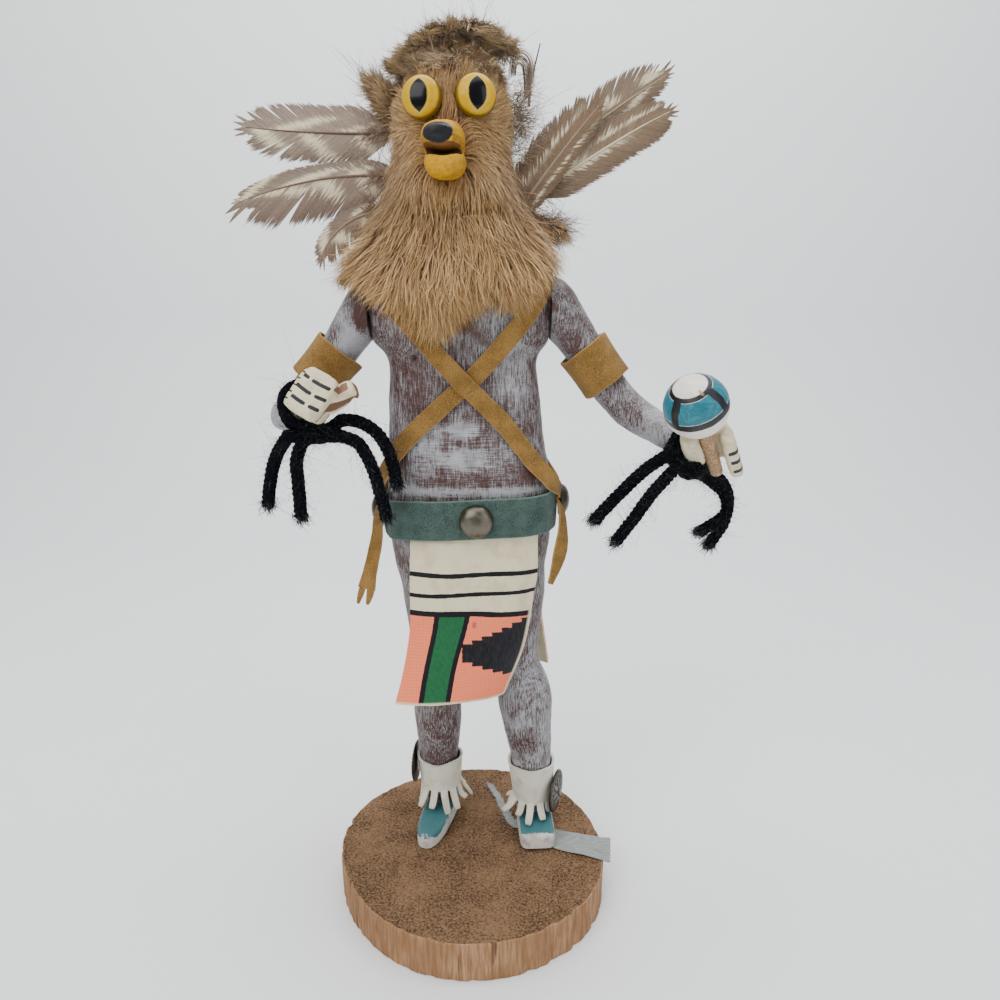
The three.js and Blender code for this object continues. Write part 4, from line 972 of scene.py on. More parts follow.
def on_torso(angle, z, offset):
    """A point on the torso, pushed out by an offset. Angle 0 is +X; the front is -90 degrees."""
    x, a, y, b, square = torso_section(z)
    px = signed_power(np.cos(angle), 2 / square) * a
    py = signed_power(np.sin(angle), 2 / square) * b
    slope = unit(np.stack([
        signed_power(px / a, square - 1) / a, signed_power(py / b, square - 1) / b,
        np.zeros_like(px * 1.0),
    ], axis=-1))
    return np.stack([x + px, y + py, z + 0 * px], axis=-1) + slope * np.asarray(offset)[..., None]


def torso_angle(x, z, side):
    """The angle on the torso at an X, on its front (side -1) or its back (side 1)."""
    centre, a, _, _, square = torso_section(z)
    share = np.clip((x - centre) / a, -1, 1)
    return side * np.arccos(signed_power(share, square / 2))


def paint_group():
    """Dry-brushed paint: streaks of the worn coat over an undercoat, steered by a coverage."""
    group = bpy.data.node_groups.get("Dry brush")
    if group is not None:
        return group
    group, given, out = new_group("Dry brush", {
        "Vector": (VECTOR, None), "Coverage": (FLOAT, 0.5), "Across": (FLOAT, 0.0),
        "Undercoat": (COLOUR, (0.1, 0.03, 0.03, 1)), "Coat": (COLOUR, (0.6, 0.6, 0.6, 1)),
        "Thin coat": (COLOUR, (0.3, 0.26, 0.28, 1)),
    }, {"Color": COLOUR, "Mask": FLOAT, "Height": FLOAT})

    def streaks(scale, size, detail=6.0):
        stretched = wire(group, "Mapping", {"Vector": given["Vector"], "Scale": scale})
        inputs = {"Vector": stretched.outputs["Vector"], "Scale": size, "Detail": detail,
                  "Roughness": 0.7}
        return wire(group, "TexNoise", inputs).outputs[0]

    down = streaks((1.0, 1.0, 0.075), 2.5)
    level = streaks((0.07, 0.4, 1.5), 1.7)
    blotch = streaks((0.6, 0.6, 0.4), 0.34, 5.0)
    grit = streaks((1.0, 1.0, 0.7), 4.0, 3.0)
    weave = maths(group, "ADD", maths(group, "MULTIPLY", down, 0.45),
                  maths(group, "MULTIPLY", level, 0.55))
    brush = blended(group, given["Across"], down, weave)
    brush = maths(group, "ADD", maths(group, "MULTIPLY", brush, 0.56),
                  maths(group, "MULTIPLY", blotch, 0.22))
    brush = maths(group, "ADD", brush, maths(group, "MULTIPLY", grit, 0.22))
    # Coverage 0 leaves the undercoat bare, 0.5 half covers it and 1 hides it.
    cover = maths(group, "MULTIPLY", maths(group, "SUBTRACT", given["Coverage"], 0.5), 0.42)
    lifted = maths(group, "ADD", brush, cover)
    thick = remap(group, lifted, 0.485, 0.57)
    thin = remap(group, lifted, 0.44, 0.53)
    first = blended(group, thin, given["Undercoat"], given["Thin coat"])
    group.links.new(blended(group, thick, first, given["Coat"]), out["Color"])
    group.links.new(thick, out["Mask"])
    height = maths(group, "ADD", maths(group, "MULTIPLY", thick, 0.5),
                   maths(group, "MULTIPLY", down, 0.5))
    group.links.new(height, out["Height"])
    return group


def wood_paint(tree, shader):
    where = place(tree)
    cover = channels(tree, "coat")
    given = use(tree, paint_group(), {
        "Vector": where, "Coverage": cover["Red"], "Across": cover["Green"],
        "Undercoat": rgba(colours().undercoat), "Coat": rgba(colours().dry_brush),
        "Thin coat": rgba(mix(np.array(colours().undercoat), np.array(colours().dry_brush), 0.33)),
    })
    # Bare brown wood shows where the paint was nicked, and dark dirt in the holes. The same brown is
    # painted below the beard's hem as its shadow.
    nicks_and_painted_shade = blended(tree, cover["Blue"], given["Color"], (0.11, 0.045, 0.022))
    dirt = use(tree, dirt_group(), {
        "Vector": where, "Color": nicks_and_painted_shade, "Dirt": (0.07, 0.035, 0.03, 1), "Amount": 0.35,
        "Specks": 0.55,
    })
    feed(tree, shader, "Base Color", dirt["Color"])
    feed(tree, shader, "Roughness", remap(tree, given["Mask"], 0, 1, 0.52, 0.72))
    shader.inputs["Specular IOR Level"].default_value = 0.4
    relief(tree, shader, given["Height"], 0.18, 0.7)


def spot(points, centre, radii):
    """1 inside a soft ellipsoid, 0 outside it."""
    away = np.linalg.norm((points - np.array(centre)) / np.array(radii), axis=1)
    return smooth(1.45 - away)


def stroke(points, start, end, radius):
    """1 along a line between two points, 0 beyond the radius."""
    start, end = np.array(start), np.array(end)
    way = end - start
    share = np.clip((points - start) @ way / (way @ way), 0, 1)
    away = np.linalg.norm(points - start - share[:, None] * way, axis=1)
    return smooth(1.5 - away / radius)


def carve(points, normals, size=0.35):
    """Soft knife facets and tool marks on carved wood."""
    broad = rough(points, 11.0, 3.0, 2)
    fine = rough(points * np.array([1, 1, 0.45]), 3.1, 17.0, 2)
    return points + normals * (size * broad + 0.12 * fine)[:, None]


def body_coat(points):
    """How the dry-brushed coat lies on the body: coverage, crosswise brushing, and nicks."""
    x, y, z = points.T
    front = smooth((16 - y) / 10)
    cover = 0.5 + 0.1 * rough(points, 16.0, 5.0, 2)
    across = 0.15 + 0.7 * front * bump(z, 183, 24) * smooth((26 - abs(x)) / 8)
    for height, half_width, half_height in ((195, 7, 3.2), (184, 9, 4.2)):
        patch = spot(points, (-2.5, -3, height), (half_width, 9, half_height))
        cover += 0.42 * patch
        across += 0.5 * patch
    cover += 0.06 * spot(points, (9, -3, 188), (7, 9, 8))
    cover += 0.3 * spot(points, (-17, -3, 190), (6, 9, 12))
    cover += 0.55 * front * bump(z, 171.5, 1.6)
    cover += 0.22 * spot(points, (8, -3, 232), (16, 9, 12))
    cover += 0.22 * spot(points, (18, -2, 214), (8, 9, 14))
    cover -= 0.14 * spot(points, (-27, 2, 222), (8, 12, 9))
    cover -= 0.16 * spot(points, (-20, -2, 204), (6, 9, 8))
    cover -= 0.1 * spot(points, (2, -3, 174), (22, 9, 4))
    # Thinner coat here is part of the painted shadow below the beard's hem.
    cover -= 0.55 * spot(points, (-1.7, -3, 235.4), (4.2, 6, 4.6))
    cover -= 0.2 * spot(points, (25, 0, 178), (5, 9, 8))
    left_leg = smooth((x - 2) / 6) * smooth((112 - z) / 20)
    right_leg = smooth((-x - 2) / 6) * smooth((112 - z) / 20)
    cover += 0.2 * left_leg - 0.04 * right_leg
    cover -= 0.2 * stroke(points, (29, 2, 84), (16, 3, 74), 1.6)
    cover -= 0.3 * spot(points, (20, 2, 62), (7, 8, 6))
    cover += 0.4 * stroke(points, (-20, 9, 60), (-9, 9, 54), 1.0)
    cover += 0.8 * stroke(points, (-36.6, 0, 226), (-36.6, 0, 240), 0.7)
    cover = 0.475 + 0.45 * (cover - 0.5)
    nick = stroke(points, (2.0, -3.2, 232.2), (6.8, -3.2, 227.6), 1.9)
    hole = spot(points, (-20.1, -2.5, 221.9), (1.6, 6, 1.4))
    # A painted shadow below the beard's hem, coloured like the bare wood of the nicks.
    dark = 0.75 * spot(points, (-1.7, -3, 235.2), (3.6, 6, 4.2))
    bare = np.clip(nick + hole + dark, 0, 1)
    return np.stack([np.clip(cover, 0, 1), np.clip(across, 0, 1), bare], axis=1)


def build_body():
    """Legs, torso, neck and head, carved in one piece and painted."""
    torso = loft([
        ring(point(x, y, z), X, Y, a, b, square, 72)
        for z, x, a, y, b, square in TORSO_FINE
    ])
    head = loft([
        ring(point(HEAD_X, HEAD_Y + 2, z), X, Y, a - UNDER_PELT, b - UNDER_PELT, 2, 60)
        for z, a, b in rows_through(HEAD, 4)
    ])
    shell = merged(torso, head, limb(RIGHT_LEG, X, 56), limb(LEFT_LEG, X, 56))
    body = fused("carved_body", shell, sizes().wood_grain / MM, 5,
                 finish_material("dry-brushed wood", wood_paint))
    mesh = body.data
    points = carve(coordinates(mesh), normals_of(mesh))
    # Old damage: a small hole and a nick in the chest, and a dent in the left leg.
    hole = spot(points, (-20.1, -2.5, 221.9), (1.1, 6, 1.0))
    nick = stroke(points, (2.0, -3.2, 232.2), (6.8, -3.2, 227.6), 1.6)
    dent = stroke(points, (29, 2, 84), (16, 3, 74), 1.6)
    points += Y * (3.2 * hole + 0.8 * nick + 0.5 * dent)[:, None]
    high = points[:, 2] > 205
    points[high, 0] = np.maximum(points[high, 0], SHOULDER_SEAM_RIGHT)
    high = points[:, 2] > 216
    points[high, 0] = np.minimum(points[high, 0], SHOULDER_SEAM_LEFT)
    points[:, 2] = np.maximum(points[:, 2], 23.0)
    set_coordinates(mesh, points)
    tint(mesh, "coat", body_coat(points))
    dress(body, ["body_and_head"])


# ---- Arms and hands ----------------------------------------------------------------------------

RIGHT_ARM = [
    (-32, 14, 242, 11, 12), (-37.6, 14, 239.6, 11.2, 12.4), (-43.2, 14, 234.6, 8.6, 10.6),
    (-49, 14, 226.6, 7.5, 8.6), (-56, 13.4, 217.6, 7.3, 7.8), (-64, 12, 207.4, 6.9, 7.2),
    (-70, 9, 200.3, 6.3, 7), (-67.6, 1, 200.6, 6.2, 6.2), (-62.6, -7, 203, 5.7, 5.7),
    (-57.6, -15, 206, 5.2, 5.2),
]
LEFT_ARM = [
    (26, 14, 242.6, 10.6, 12), (30.9, 14, 240.6, 10.8, 12.4), (36.8, 14, 234.8, 8.8, 10.4),
    (43.6, 14, 225.6, 7.6, 8.6), (53.4, 14, 212, 7.2, 7.8), (58.6, 13.8, 205.4, 7, 7.2),
    (63.6, 12.4, 200.6, 6.9, 6.9), (71, 6.4, 196, 6.1, 6.3), (82, -2.4, 189.4, 5.2, 5.2),
]
RATTLE_BALL = point(80.1, -20, 205.9)
RATTLE_AXIS = unit(point(0.404, 0.527, -0.748))
BALL_RADIUS = 11.4
STICK_RADIUS = 2.4
STICK_REACH = 36
RIGHT_FIST = point(-52.6, -23.4, 210.2)


def grip_axes(grip, fingers):
    """Unit axes from the grip's direction and the side that the fingers are on."""
    g = unit(grip)
    f = unit(fingers - (fingers @ g) * g)
    return g, f, np.cross(g, f)


LEFT_GRIP = grip_axes(RATTLE_AXIS, X)
RIGHT_GRIP = grip_axes(point(-0.52, -0.3, -0.8), point(-0.1, -1, 0.2))


def in_grip(origin, axes, a, b, c):
    return origin + a * axes[0] + b * axes[1] + c * axes[2]


def grip_coordinates(points, origin, axes):
    return np.stack([(points - origin) @ axis for axis in axes], axis=1)


def left_hand_parts():
    hold = RATTLE_BALL
    fingers = block(in_grip(hold, LEFT_GRIP, 29, 7, -1.6), LEFT_GRIP, (10.4, 2.9, 6.4),
                    (0.95, 0.9))
    palm = block(in_grip(hold, LEFT_GRIP, 24.5, 0.4, -5.8), LEFT_GRIP, (8.2, 8.6, 3))
    thumb = block(in_grip(hold, LEFT_GRIP, 20.4, -6, -0.8), LEFT_GRIP, (7.2, 4.9, 5.4),
                  (0.68, 0.78))
    return merged(fingers, palm, thumb)


def right_thumb_axes():
    reach = unit(point(0.85, -0.1, 0.5))
    side = RIGHT_GRIP[0]
    side = unit(side - (side @ reach) * reach)
    return reach, side, np.cross(reach, side)


def right_hand_parts():
    hold = RIGHT_FIST
    fingers = block(in_grip(hold, RIGHT_GRIP, 0, 0, 0), RIGHT_GRIP, (8.6, 2.9, 6.8),
                    (0.95, 0.95))
    knuckles = block(in_grip(hold, RIGHT_GRIP, 0.4, -3.6, 5.2), RIGHT_GRIP, (7.6, 5, 2.6))
    palm = block(in_grip(hold, RIGHT_GRIP, 0.6, -7, 0.6), RIGHT_GRIP, (7, 3, 6.6))
    thumb = block(in_grip(hold, RIGHT_GRIP, -4.6, -4.4, -7), right_thumb_axes(),
                  (6.8, 3.5, 3.2), (1, 0.95))
    return merged(fingers, knuckles, palm, thumb)


def hand_paint(tree, shader):
    """Cream hands with black finger lines; bare brown wood where the paint is gone."""
    where = place(tree)
    marks = channels(tree, "marks")
    ragged = cloud(tree, where, 1.6, 4.0)
    cream = use(tree, dirt_group(), {
        "Vector": where, "Color": rgba(colours().cream), "Dirt": (0.3, 0.2, 0.12, 1),
        "Amount": 0.5, "Specks": 0.8,
    })["Color"]
    worn = remap(tree, plus(tree, marks["Green"], times(tree, ragged, 0.35)),
                 0.6, 0.72)
    base = blended(tree, worn, cream, (0.2, 0.1, 0.05))
    line = remap(tree, minus(tree, marks["Red"],
                             times(tree, ragged, 0.45)), 0.2, 0.32)
    feed(tree, shader, "Base Color", blended(tree, line, base, rgba(colours().ink)))
    shader.inputs["Roughness"].default_value = 0.6
    relief(tree, shader, minus(tree, ragged, worn), 0.25, 0.6)


def arm_coat(points, wrist):
    cover = 0.53 + 0.12 * rough(points, 12.0, 9.0, 2)
    cover += 0.12 * smooth((points[:, 0] * wrist - 60) / 14)
    cover += 0.1 * smooth((235 - points[:, 2]) / 14) * smooth((points[:, 2] - 214) / 10)
    bare = np.zeros(len(points))
    if wrist < 0:
        cover += 0.2 * spot(points, (-45, 4, 229), (4, 8, 6))
        cover -= 0.25 * spot(points, (-40, 3, 236), (2.4, 8, 5))
        bare = 0.9 * stroke(points, (-39.6, 2.5, 225), (-38.2, 2, 231), 1.3)
    else:
        cover -= 0.2 * spot(points, (38, 4, 226), (5, 8, 6))
        bare = spot(points, (31.6, 2, 239.7), (0.9, 8, 1.3))
    across = np.full(len(points), 0.12)
    return np.stack([np.clip(cover, 0, 1), across, np.clip(bare, 0, 1)], axis=1)


def build_arms():
    """Both arms with their fists, the right one empty and the left round the rattle's stick."""
    finish = finish_material("dry-brushed wood", wood_paint)
    hand_finish = finish_material("hand paint", hand_paint)
    for side, table, seam, way in (
        ("right", RIGHT_ARM, SHOULDER_SEAM_RIGHT - GAP, -1),
        ("left", LEFT_ARM, SHOULDER_SEAM_LEFT + GAP, 1),
    ):
        arm = fused(side + "_arm_carved", limb(table, Z, 48), 0.88, 3, finish)
        mesh = arm.data
        points = carve(coordinates(mesh), normals_of(mesh), 0.3)
        points[:, 0] = way * np.maximum(points[:, 0] * way, seam * way)
        set_coordinates(mesh, points)
        tint(mesh, "coat", arm_coat(points, way))
        dress(arm, [side + "_arm"])

    right = fused("right_fist", right_hand_parts(), 0.44, 3, hand_finish)
    points = coordinates(right.data)
    local = grip_coordinates(points, RIGHT_FIST, RIGHT_GRIP)
    a, b, c = local.T
    # The slot between the fingers and the palm stays empty.
    slot = smooth(1.5 - np.abs((b + 3.7) / 1.5)) * smooth((-c - 3.4) / 2.4)
    slot *= smooth((7.6 - np.abs(a)) / 1.2)
    points += RIGHT_GRIP[2] * (slot * 3.4)[:, None]
    points += normals_of(right.data) * (0.14 * rough(points, 2.6, 2.0, 2))[:, None]
    set_coordinates(right.data, points)
    on_fingers = smooth((b - 0.6) / 0.8)
    lines = np.zeros(len(points))
    for place_at, start, end, bow in ((-4.6, -5.6, 6.2, 0.7), (-0.5, -6.4, 6.4, 0.9),
                                      (3.7, -6.2, 5.6, 0.7)):
        curve = place_at + bow * (1 - (c / 6.8) ** 2)
        ends = smooth((c - start) / 0.8) * smooth((end - c) / 0.8)
        gap = 1 - 0.8 * bump(c, 2.4 * math.sin(place_at), 0.9)
        lines = np.maximum(lines, smooth(1.6 - np.abs(a - curve) / 0.62) * ends * gap)
    ticks = smooth(1.5 - np.abs(((a + 6.5) % 2.7) - 1.3) / 0.4) * smooth((c - 5.2) / 0.8)
    lines = np.maximum(lines * on_fingers, 0.8 * ticks * smooth((b + 1) / 1.2))
    thumb = grip_coordinates(points, in_grip(RIGHT_FIST, RIGHT_GRIP, -4.6, -4.4, -7),
                             right_thumb_axes())
    square_patch = smooth((2.4 - np.abs(thumb[:, 0] - 3.2)) / 0.6)
    square_patch *= smooth((2.0 - np.abs(thumb[:, 1])) / 0.6)
    # Inside the slot between fingers and palm the hand is coloured the same dark brown as its bare
    # spots.
    hidden = smooth((-3.4 - c) / 1.2) * smooth(1.5 - np.abs((b + 3.7) / 1.7))
    bare = np.clip(square_patch * (c < -6) + 1.2 * hidden, 0, 1)
    tint(right.data, "marks", np.stack([lines, bare, 0 * bare], axis=1))
    dress(right, ["right_arm"])

    left = fused("left_fist", left_hand_parts(), 0.44, 3, hand_finish)
    points = coordinates(left.data)
    local = grip_coordinates(points, RATTLE_BALL, LEFT_GRIP)
    a, b, c = local.T
    # The stick's channel through the grip.
    away = np.hypot(b, c)
    push = np.clip(STICK_RADIUS + 0.35 - away, 0, None)
    outward = b[:, None] * LEFT_GRIP[1] + c[:, None] * LEFT_GRIP[2]
    outward = outward / np.maximum(away, 0.1)[:, None]
    points += outward * push[:, None]
    points += normals_of(left.data) * (0.14 * rough(points, 2.6, 8.0, 2))[:, None]
    set_coordinates(left.data, points)
    lines = np.zeros(len(points))
    for place_at in (23.6, 28.6, 33.6):
        lines = np.maximum(lines, smooth(1.6 - np.abs(a - place_at - 0.08 * c) / 0.85))
    lines *= smooth((b - 5.4) / 0.8)
    tint(left.data, "marks", np.stack([lines, 0.35 * smooth((a - 36) / 3), 0 * lines], axis=1))
    dress(left, ["left_arm"])


# ---- Rattle ------------------------------------------------------------------------------------


def rattle_paint(tree, shader):
    """White caps and turquoise panels between black bands, read from the ball's own angles."""
    where = place(tree)
    marks = channels(tree, "panels")
    ragged = cloud(tree, where, 0.9, 4.0)
    nudge = times(tree, minus(tree, ragged, 0.5), 0.35)
    brushed = wire(tree, "TexNoise", {"Vector": place(tree, (0.4, 2.2, 1.0)), "Scale": 0.8,
                                      "Detail": 4.0}).outputs[0]
    base = colours().turquoise
    deep = tuple(c * 0.62 for c in base)
    panel = blended(tree, remap(tree, brushed, 0.35, 0.7), rgba(deep), rgba(base))
    white = use(tree, dirt_group(), {
        "Vector": where, "Color": (0.78, 0.76, 0.68, 1), "Dirt": (0.42, 0.36, 0.27, 1),
        "Amount": 0.4, "Specks": 0.6,
    })["Color"]
    in_panel = remap(tree, plus(tree, marks["Red"], nudge), 0.44, 0.56)
    line = remap(tree, plus(tree, marks["Green"], nudge), 0.44, 0.56)
    colour = blended(tree, in_panel, white, panel)
    colour = blended(tree, line, colour, rgba(colours().ink))
    colour = blended(tree, marks["Blue"], colour, (0.34, 0.22, 0.12))
    feed(tree, shader, "Base Color", colour)
    shader.inputs["Roughness"].default_value = 0.42
    relief(tree, shader, brushed, 0.2, 0.5)


def bare_wood(tree, shader):
    where = place(tree)
    along_stick = place(tree, (2.0, 2.0, 0.25), (0.6, -0.5, 0.0))
    grain = cloud(tree, along_stick, 0.9, 5.0)
    colour = blended(tree, remap(tree, grain, 0.35, 0.7), (0.25, 0.13, 0.06), (0.58, 0.38, 0.2))
    dirt = use(tree, dirt_group(), {"Vector": where, "Color": colour,
                                    "Dirt": (0.12, 0.06, 0.03, 1), "Amount": 0.5, "Specks": 0.5})
    feed(tree, shader, "Base Color", dirt["Color"])
    shader.inputs["Roughness"].default_value = 0.6
    relief(tree, shader, grain, 0.2, 0.6)


def build_rattle():
    """The painted gourd-shaped ball and its stick."""
    up = -RATTLE_AXIS
    right = unit(X - (X @ up) * up)
    front = np.cross(up, right)
    sides, rings = 120, 80
    angles = np.linspace(0.012, math.pi - 0.012, rings)
    shell = loft([
        ring(RATTLE_BALL + BALL_RADIUS * math.cos(a) * up, right, front,
             BALL_RADIUS * math.sin(a), BALL_RADIUS * math.sin(a), 2, sides)
        for a in angles
    ])
    points = shell[0]
    local = points - RATTLE_BALL
    height = local @ up / BALL_RADIUS
    turn = np.degrees(np.arctan2(local @ front, local @ right))
    points = points + unit(local) * (0.12 * rough(points, 3.2, 4.0, 2))[:, None]
    bump_off = 0.25 * smooth((height - 0.9) / 0.06)
    points = points - unit(local) * bump_off[:, None]
    # Panels lie between two latitudes and are parted by upright bands.
    cap, top, low, under = 0.85, 0.77, 0.16, -0.08
    in_zone = smooth((top - height) / 0.03) * smooth((height - low) / 0.03)
    band = smooth(0.5 + (cap - height) / 0.03) * smooth(0.5 + (height - top) / 0.03)
    band = np.maximum(band, smooth(0.5 + (low - height) / 0.03)
                      * smooth(0.5 + (height - under) / 0.03))
    for bar in (-137.0, -37.0, 53.0, 138.0):
        away = np.abs((turn - bar + 180) % 360 - 180) * np.sqrt(np.clip(1 - height**2, 0.1, 1))
        band = np.maximum(band, smooth(0.5 + (8.0 - away) / 1.6) * in_zone)
    nick = smooth(1.4 - np.hypot(height - 0.86, (turn + 60) / 90) / 0.06)
    obj = make("rattle_ball_painted", (points, shell[1]),
               finish_material("rattle paint", rattle_paint), ["rattle_ball"])
    tint(obj.data, "panels", np.stack([in_zone, band, nick], axis=1))

    axes = frames_along([RATTLE_BALL, RATTLE_BALL + RATTLE_AXIS], Z)
    stations = [(BALL_RADIUS - 0.6, 1.0), (14, 0.97), (20, 1.0), (27, 1.03), (33, 0.98),
                (STICK_REACH - 0.5, 0.96), (STICK_REACH, 0.82)]
    shell = loft([
        ring(RATTLE_BALL + s * RATTLE_AXIS, axes[1][0], axes[2][0], STICK_RADIUS * k,
             STICK_RADIUS * k, 2.3, 28)
        for s, k in rows_through(stations, 5)
    ])
    make("rattle_stick_whittled", shell, finish_material("bare stick", bare_wood),
         ["rattle_stick"])


# ---- The log slice -----------------------------------------------------------------------------

BASE_RADIUS = 55.6
BASE_HEIGHT = 16.0


def base_radius(angle):
    return (BASE_RADIUS + 1.1 * np.cos(2 * (angle + 0.42)) + 0.6 * np.cos(3 * (angle - 0.92))
            + 0.6 * np.cos(4 * (angle + 0.41)))


def sawn_wood(tree, shader):
    """Coarse sawn end grain: a fine even speckle of torn fibres, with darker pores."""
    where = place(tree)
    clump = cloud(tree, where, 0.06, 4.0)
    pores = wire(tree, "TexNoise", {"Vector": where, "Scale": 1.15, "Detail": 5.0,
                                    "Roughness": 0.75}).outputs[0]
    fibres = use(tree, streak_group(), {
        "Vector": place(tree, (0.8, 1.25, 1.0), (0, 0, 0.6)), "Scale": 1.15, "Detail": 4.0,
        "Low": 0.5, "High": 0.63,
    })
    cells = wire(tree, "TexVoronoi", {"Vector": where, "Scale": 1.05}).outputs[0]
    tone = plus(tree, times(tree, pores, 0.8),
                times(tree, clump, 0.3))
    colour = blended(tree, remap(tree, tone, 0.44, 0.64), (0.05, 0.026, 0.013),
                     (0.26, 0.15, 0.078))
    colour = blended(tree, times(tree, fibres["Mask"], 0.5), colour,
                     (0.4, 0.245, 0.135))
    colour = blended(tree, remap(tree, cells, 0.0, 0.3, 0.5, 0.0), colour,
                     (0.055, 0.028, 0.014))
    feed(tree, shader, "Base Color", colour)
    gloss(shader, 0.93, 0.2)
    height = plus(tree, pores, times(tree, cells, 0.4))
    relief(tree, shader, height, 0.9, 1.0)


def split_wood(tree, shader):
    """The log's barkless side: pale tan wood split along its grain, with dark cracks."""
    where = place(tree)
    grain = use(tree, streak_group(), {
        "Vector": place(tree, (1.0, 1.0, 0.09)), "Scale": 0.85, "Detail": 5.0, "Low": 0.35,
        "High": 0.68,
    })
    cracks = use(tree, streak_group(), {
        "Vector": place(tree, (1.0, 1.0, 0.05)), "Scale": 0.42, "Detail": 4.0, "Low": 0.6,
        "High": 0.66,
    })
    patches = cloud(tree, where, 0.06, 4.0)
    pale = blended(tree, remap(tree, patches, 0.35, 0.65), (0.3, 0.165, 0.08),
                   (0.43, 0.255, 0.14))
    colour = blended(tree, grain["Mask"], (0.24, 0.115, 0.048), pale)
    colour = blended(tree, times(tree, cracks["Mask"], 0.75), colour,
                     (0.07, 0.03, 0.014))
    feed(tree, shader, "Base Color", colour)
    gloss(shader, 0.82, 0.25)
    height = minus(tree, grain["Value"], times(tree, cracks["Mask"], 0.8))
    relief(tree, shader, height, 0.4, 0.8)


def build_base():
    """The slice of log: rough sawn top, split sides, with the top's edge splintered."""
    sides = 360
    angle = TAU * np.arange(sides) / sides
    radius = base_radius(angle)
    levels = [0.0, 0.25, 1.5, 4, 7, 10, 13, 14.8, 15.6, BASE_HEIGHT]
    rings = []
    for level in levels:
        probe = np.stack([radius * np.cos(angle), radius * np.sin(angle), 0 * angle + level * 0.12],
                         axis=1)
        split = 0.3 * rough(probe, 3.4, 1.0, 2) + 0.14 * rough(probe, 1.3, 6.0, 1)
        crack = np.clip(rough(probe, 4.6, 12.0, 1) - 0.22, 0, 1)
        edge = 0.5 if level in (0.0, BASE_HEIGHT) else 0.0
        size = radius - 0.45 + split - 2.4 * crack - edge
        rings.append(np.stack([size * np.cos(angle), size * np.sin(angle), 0 * angle + level],
                              axis=1))
    side_mesh = loft(rings)
    side_mesh = (side_mesh[0], side_mesh[1][:-1])
    rim = rings[-1]
    steps = 52
    tops = []
    for i in range(steps + 1):
        share = 1 - i / steps
        share = max(share, 0.004)
        tops.append(rim * np.array([share, share, 1.0]))
    tops = np.array(tops)
    flat = tops.reshape(-1, 3)
    torn = 0.32 * rough(flat, 1.5, 2.0, 2) + 0.22 * rough(flat, 7.0, 4.0, 2)
    inside = smooth((1 - np.repeat(np.linspace(1, 0, steps + 1), sides)) / 0.04)
    flat[:, 2] += (np.minimum(torn, 0.2) - 0.2) * inside
    top_mesh = loft(tops)
    top_mesh = (flat, top_mesh[1][:-2] + [top_mesh[1][-1]])
    side = make("log_slice_sides", side_mesh, finish_material("split wood", split_wood),
                ["log_slice_base"], 50)
    top = make("log_slice_sawn_top", top_mesh, finish_material("sawn wood", sawn_wood),
               ["log_slice_base"])
    top.data.polygons.foreach_set("use_smooth", [True] * len(top.data.polygons))
    return side, top


# ---- Moccasins and tape ------------------------------------------------------------------------


def moccasin_paint(tree, shader):
    """Teal upper worn to a white ground at its edges, toe and sides."""
    where = place(tree)
    marks = channels(tree, "wear")
    ragged = wire(tree, "TexNoise", {"Vector": where, "Scale": 0.75, "Detail": 6.0,
                                     "Roughness": 0.7}).outputs[0]
    brushed = wire(tree, "TexNoise", {"Vector": place(tree, (1.6, 0.4, 1)), "Scale": 0.9,
                                      "Detail": 4.0}).outputs[0]
    base = colours().teal
    light = tuple(min(1.0, c * 1.35 + 0.01) for c in base)
    teal = blended(tree, brushed, rgba(base), rgba(light))
    white = use(tree, dirt_group(), {
        "Vector": where, "Color": (0.66, 0.64, 0.6, 1), "Dirt": (0.2, 0.14, 0.11, 1),
        "Amount": 0.7, "Specks": 0.9,
    })["Color"]
    worn = remap(tree, plus(tree, marks["Red"], times(tree, ragged, 0.5)),
                 0.66, 0.78)
    feed(tree, shader, "Base Color", blended(tree, worn, teal, white))
    shader.inputs["Roughness"].default_value = 0.58
    relief(tree, shader, minus(tree, ragged, worn), 0.3, 0.7)


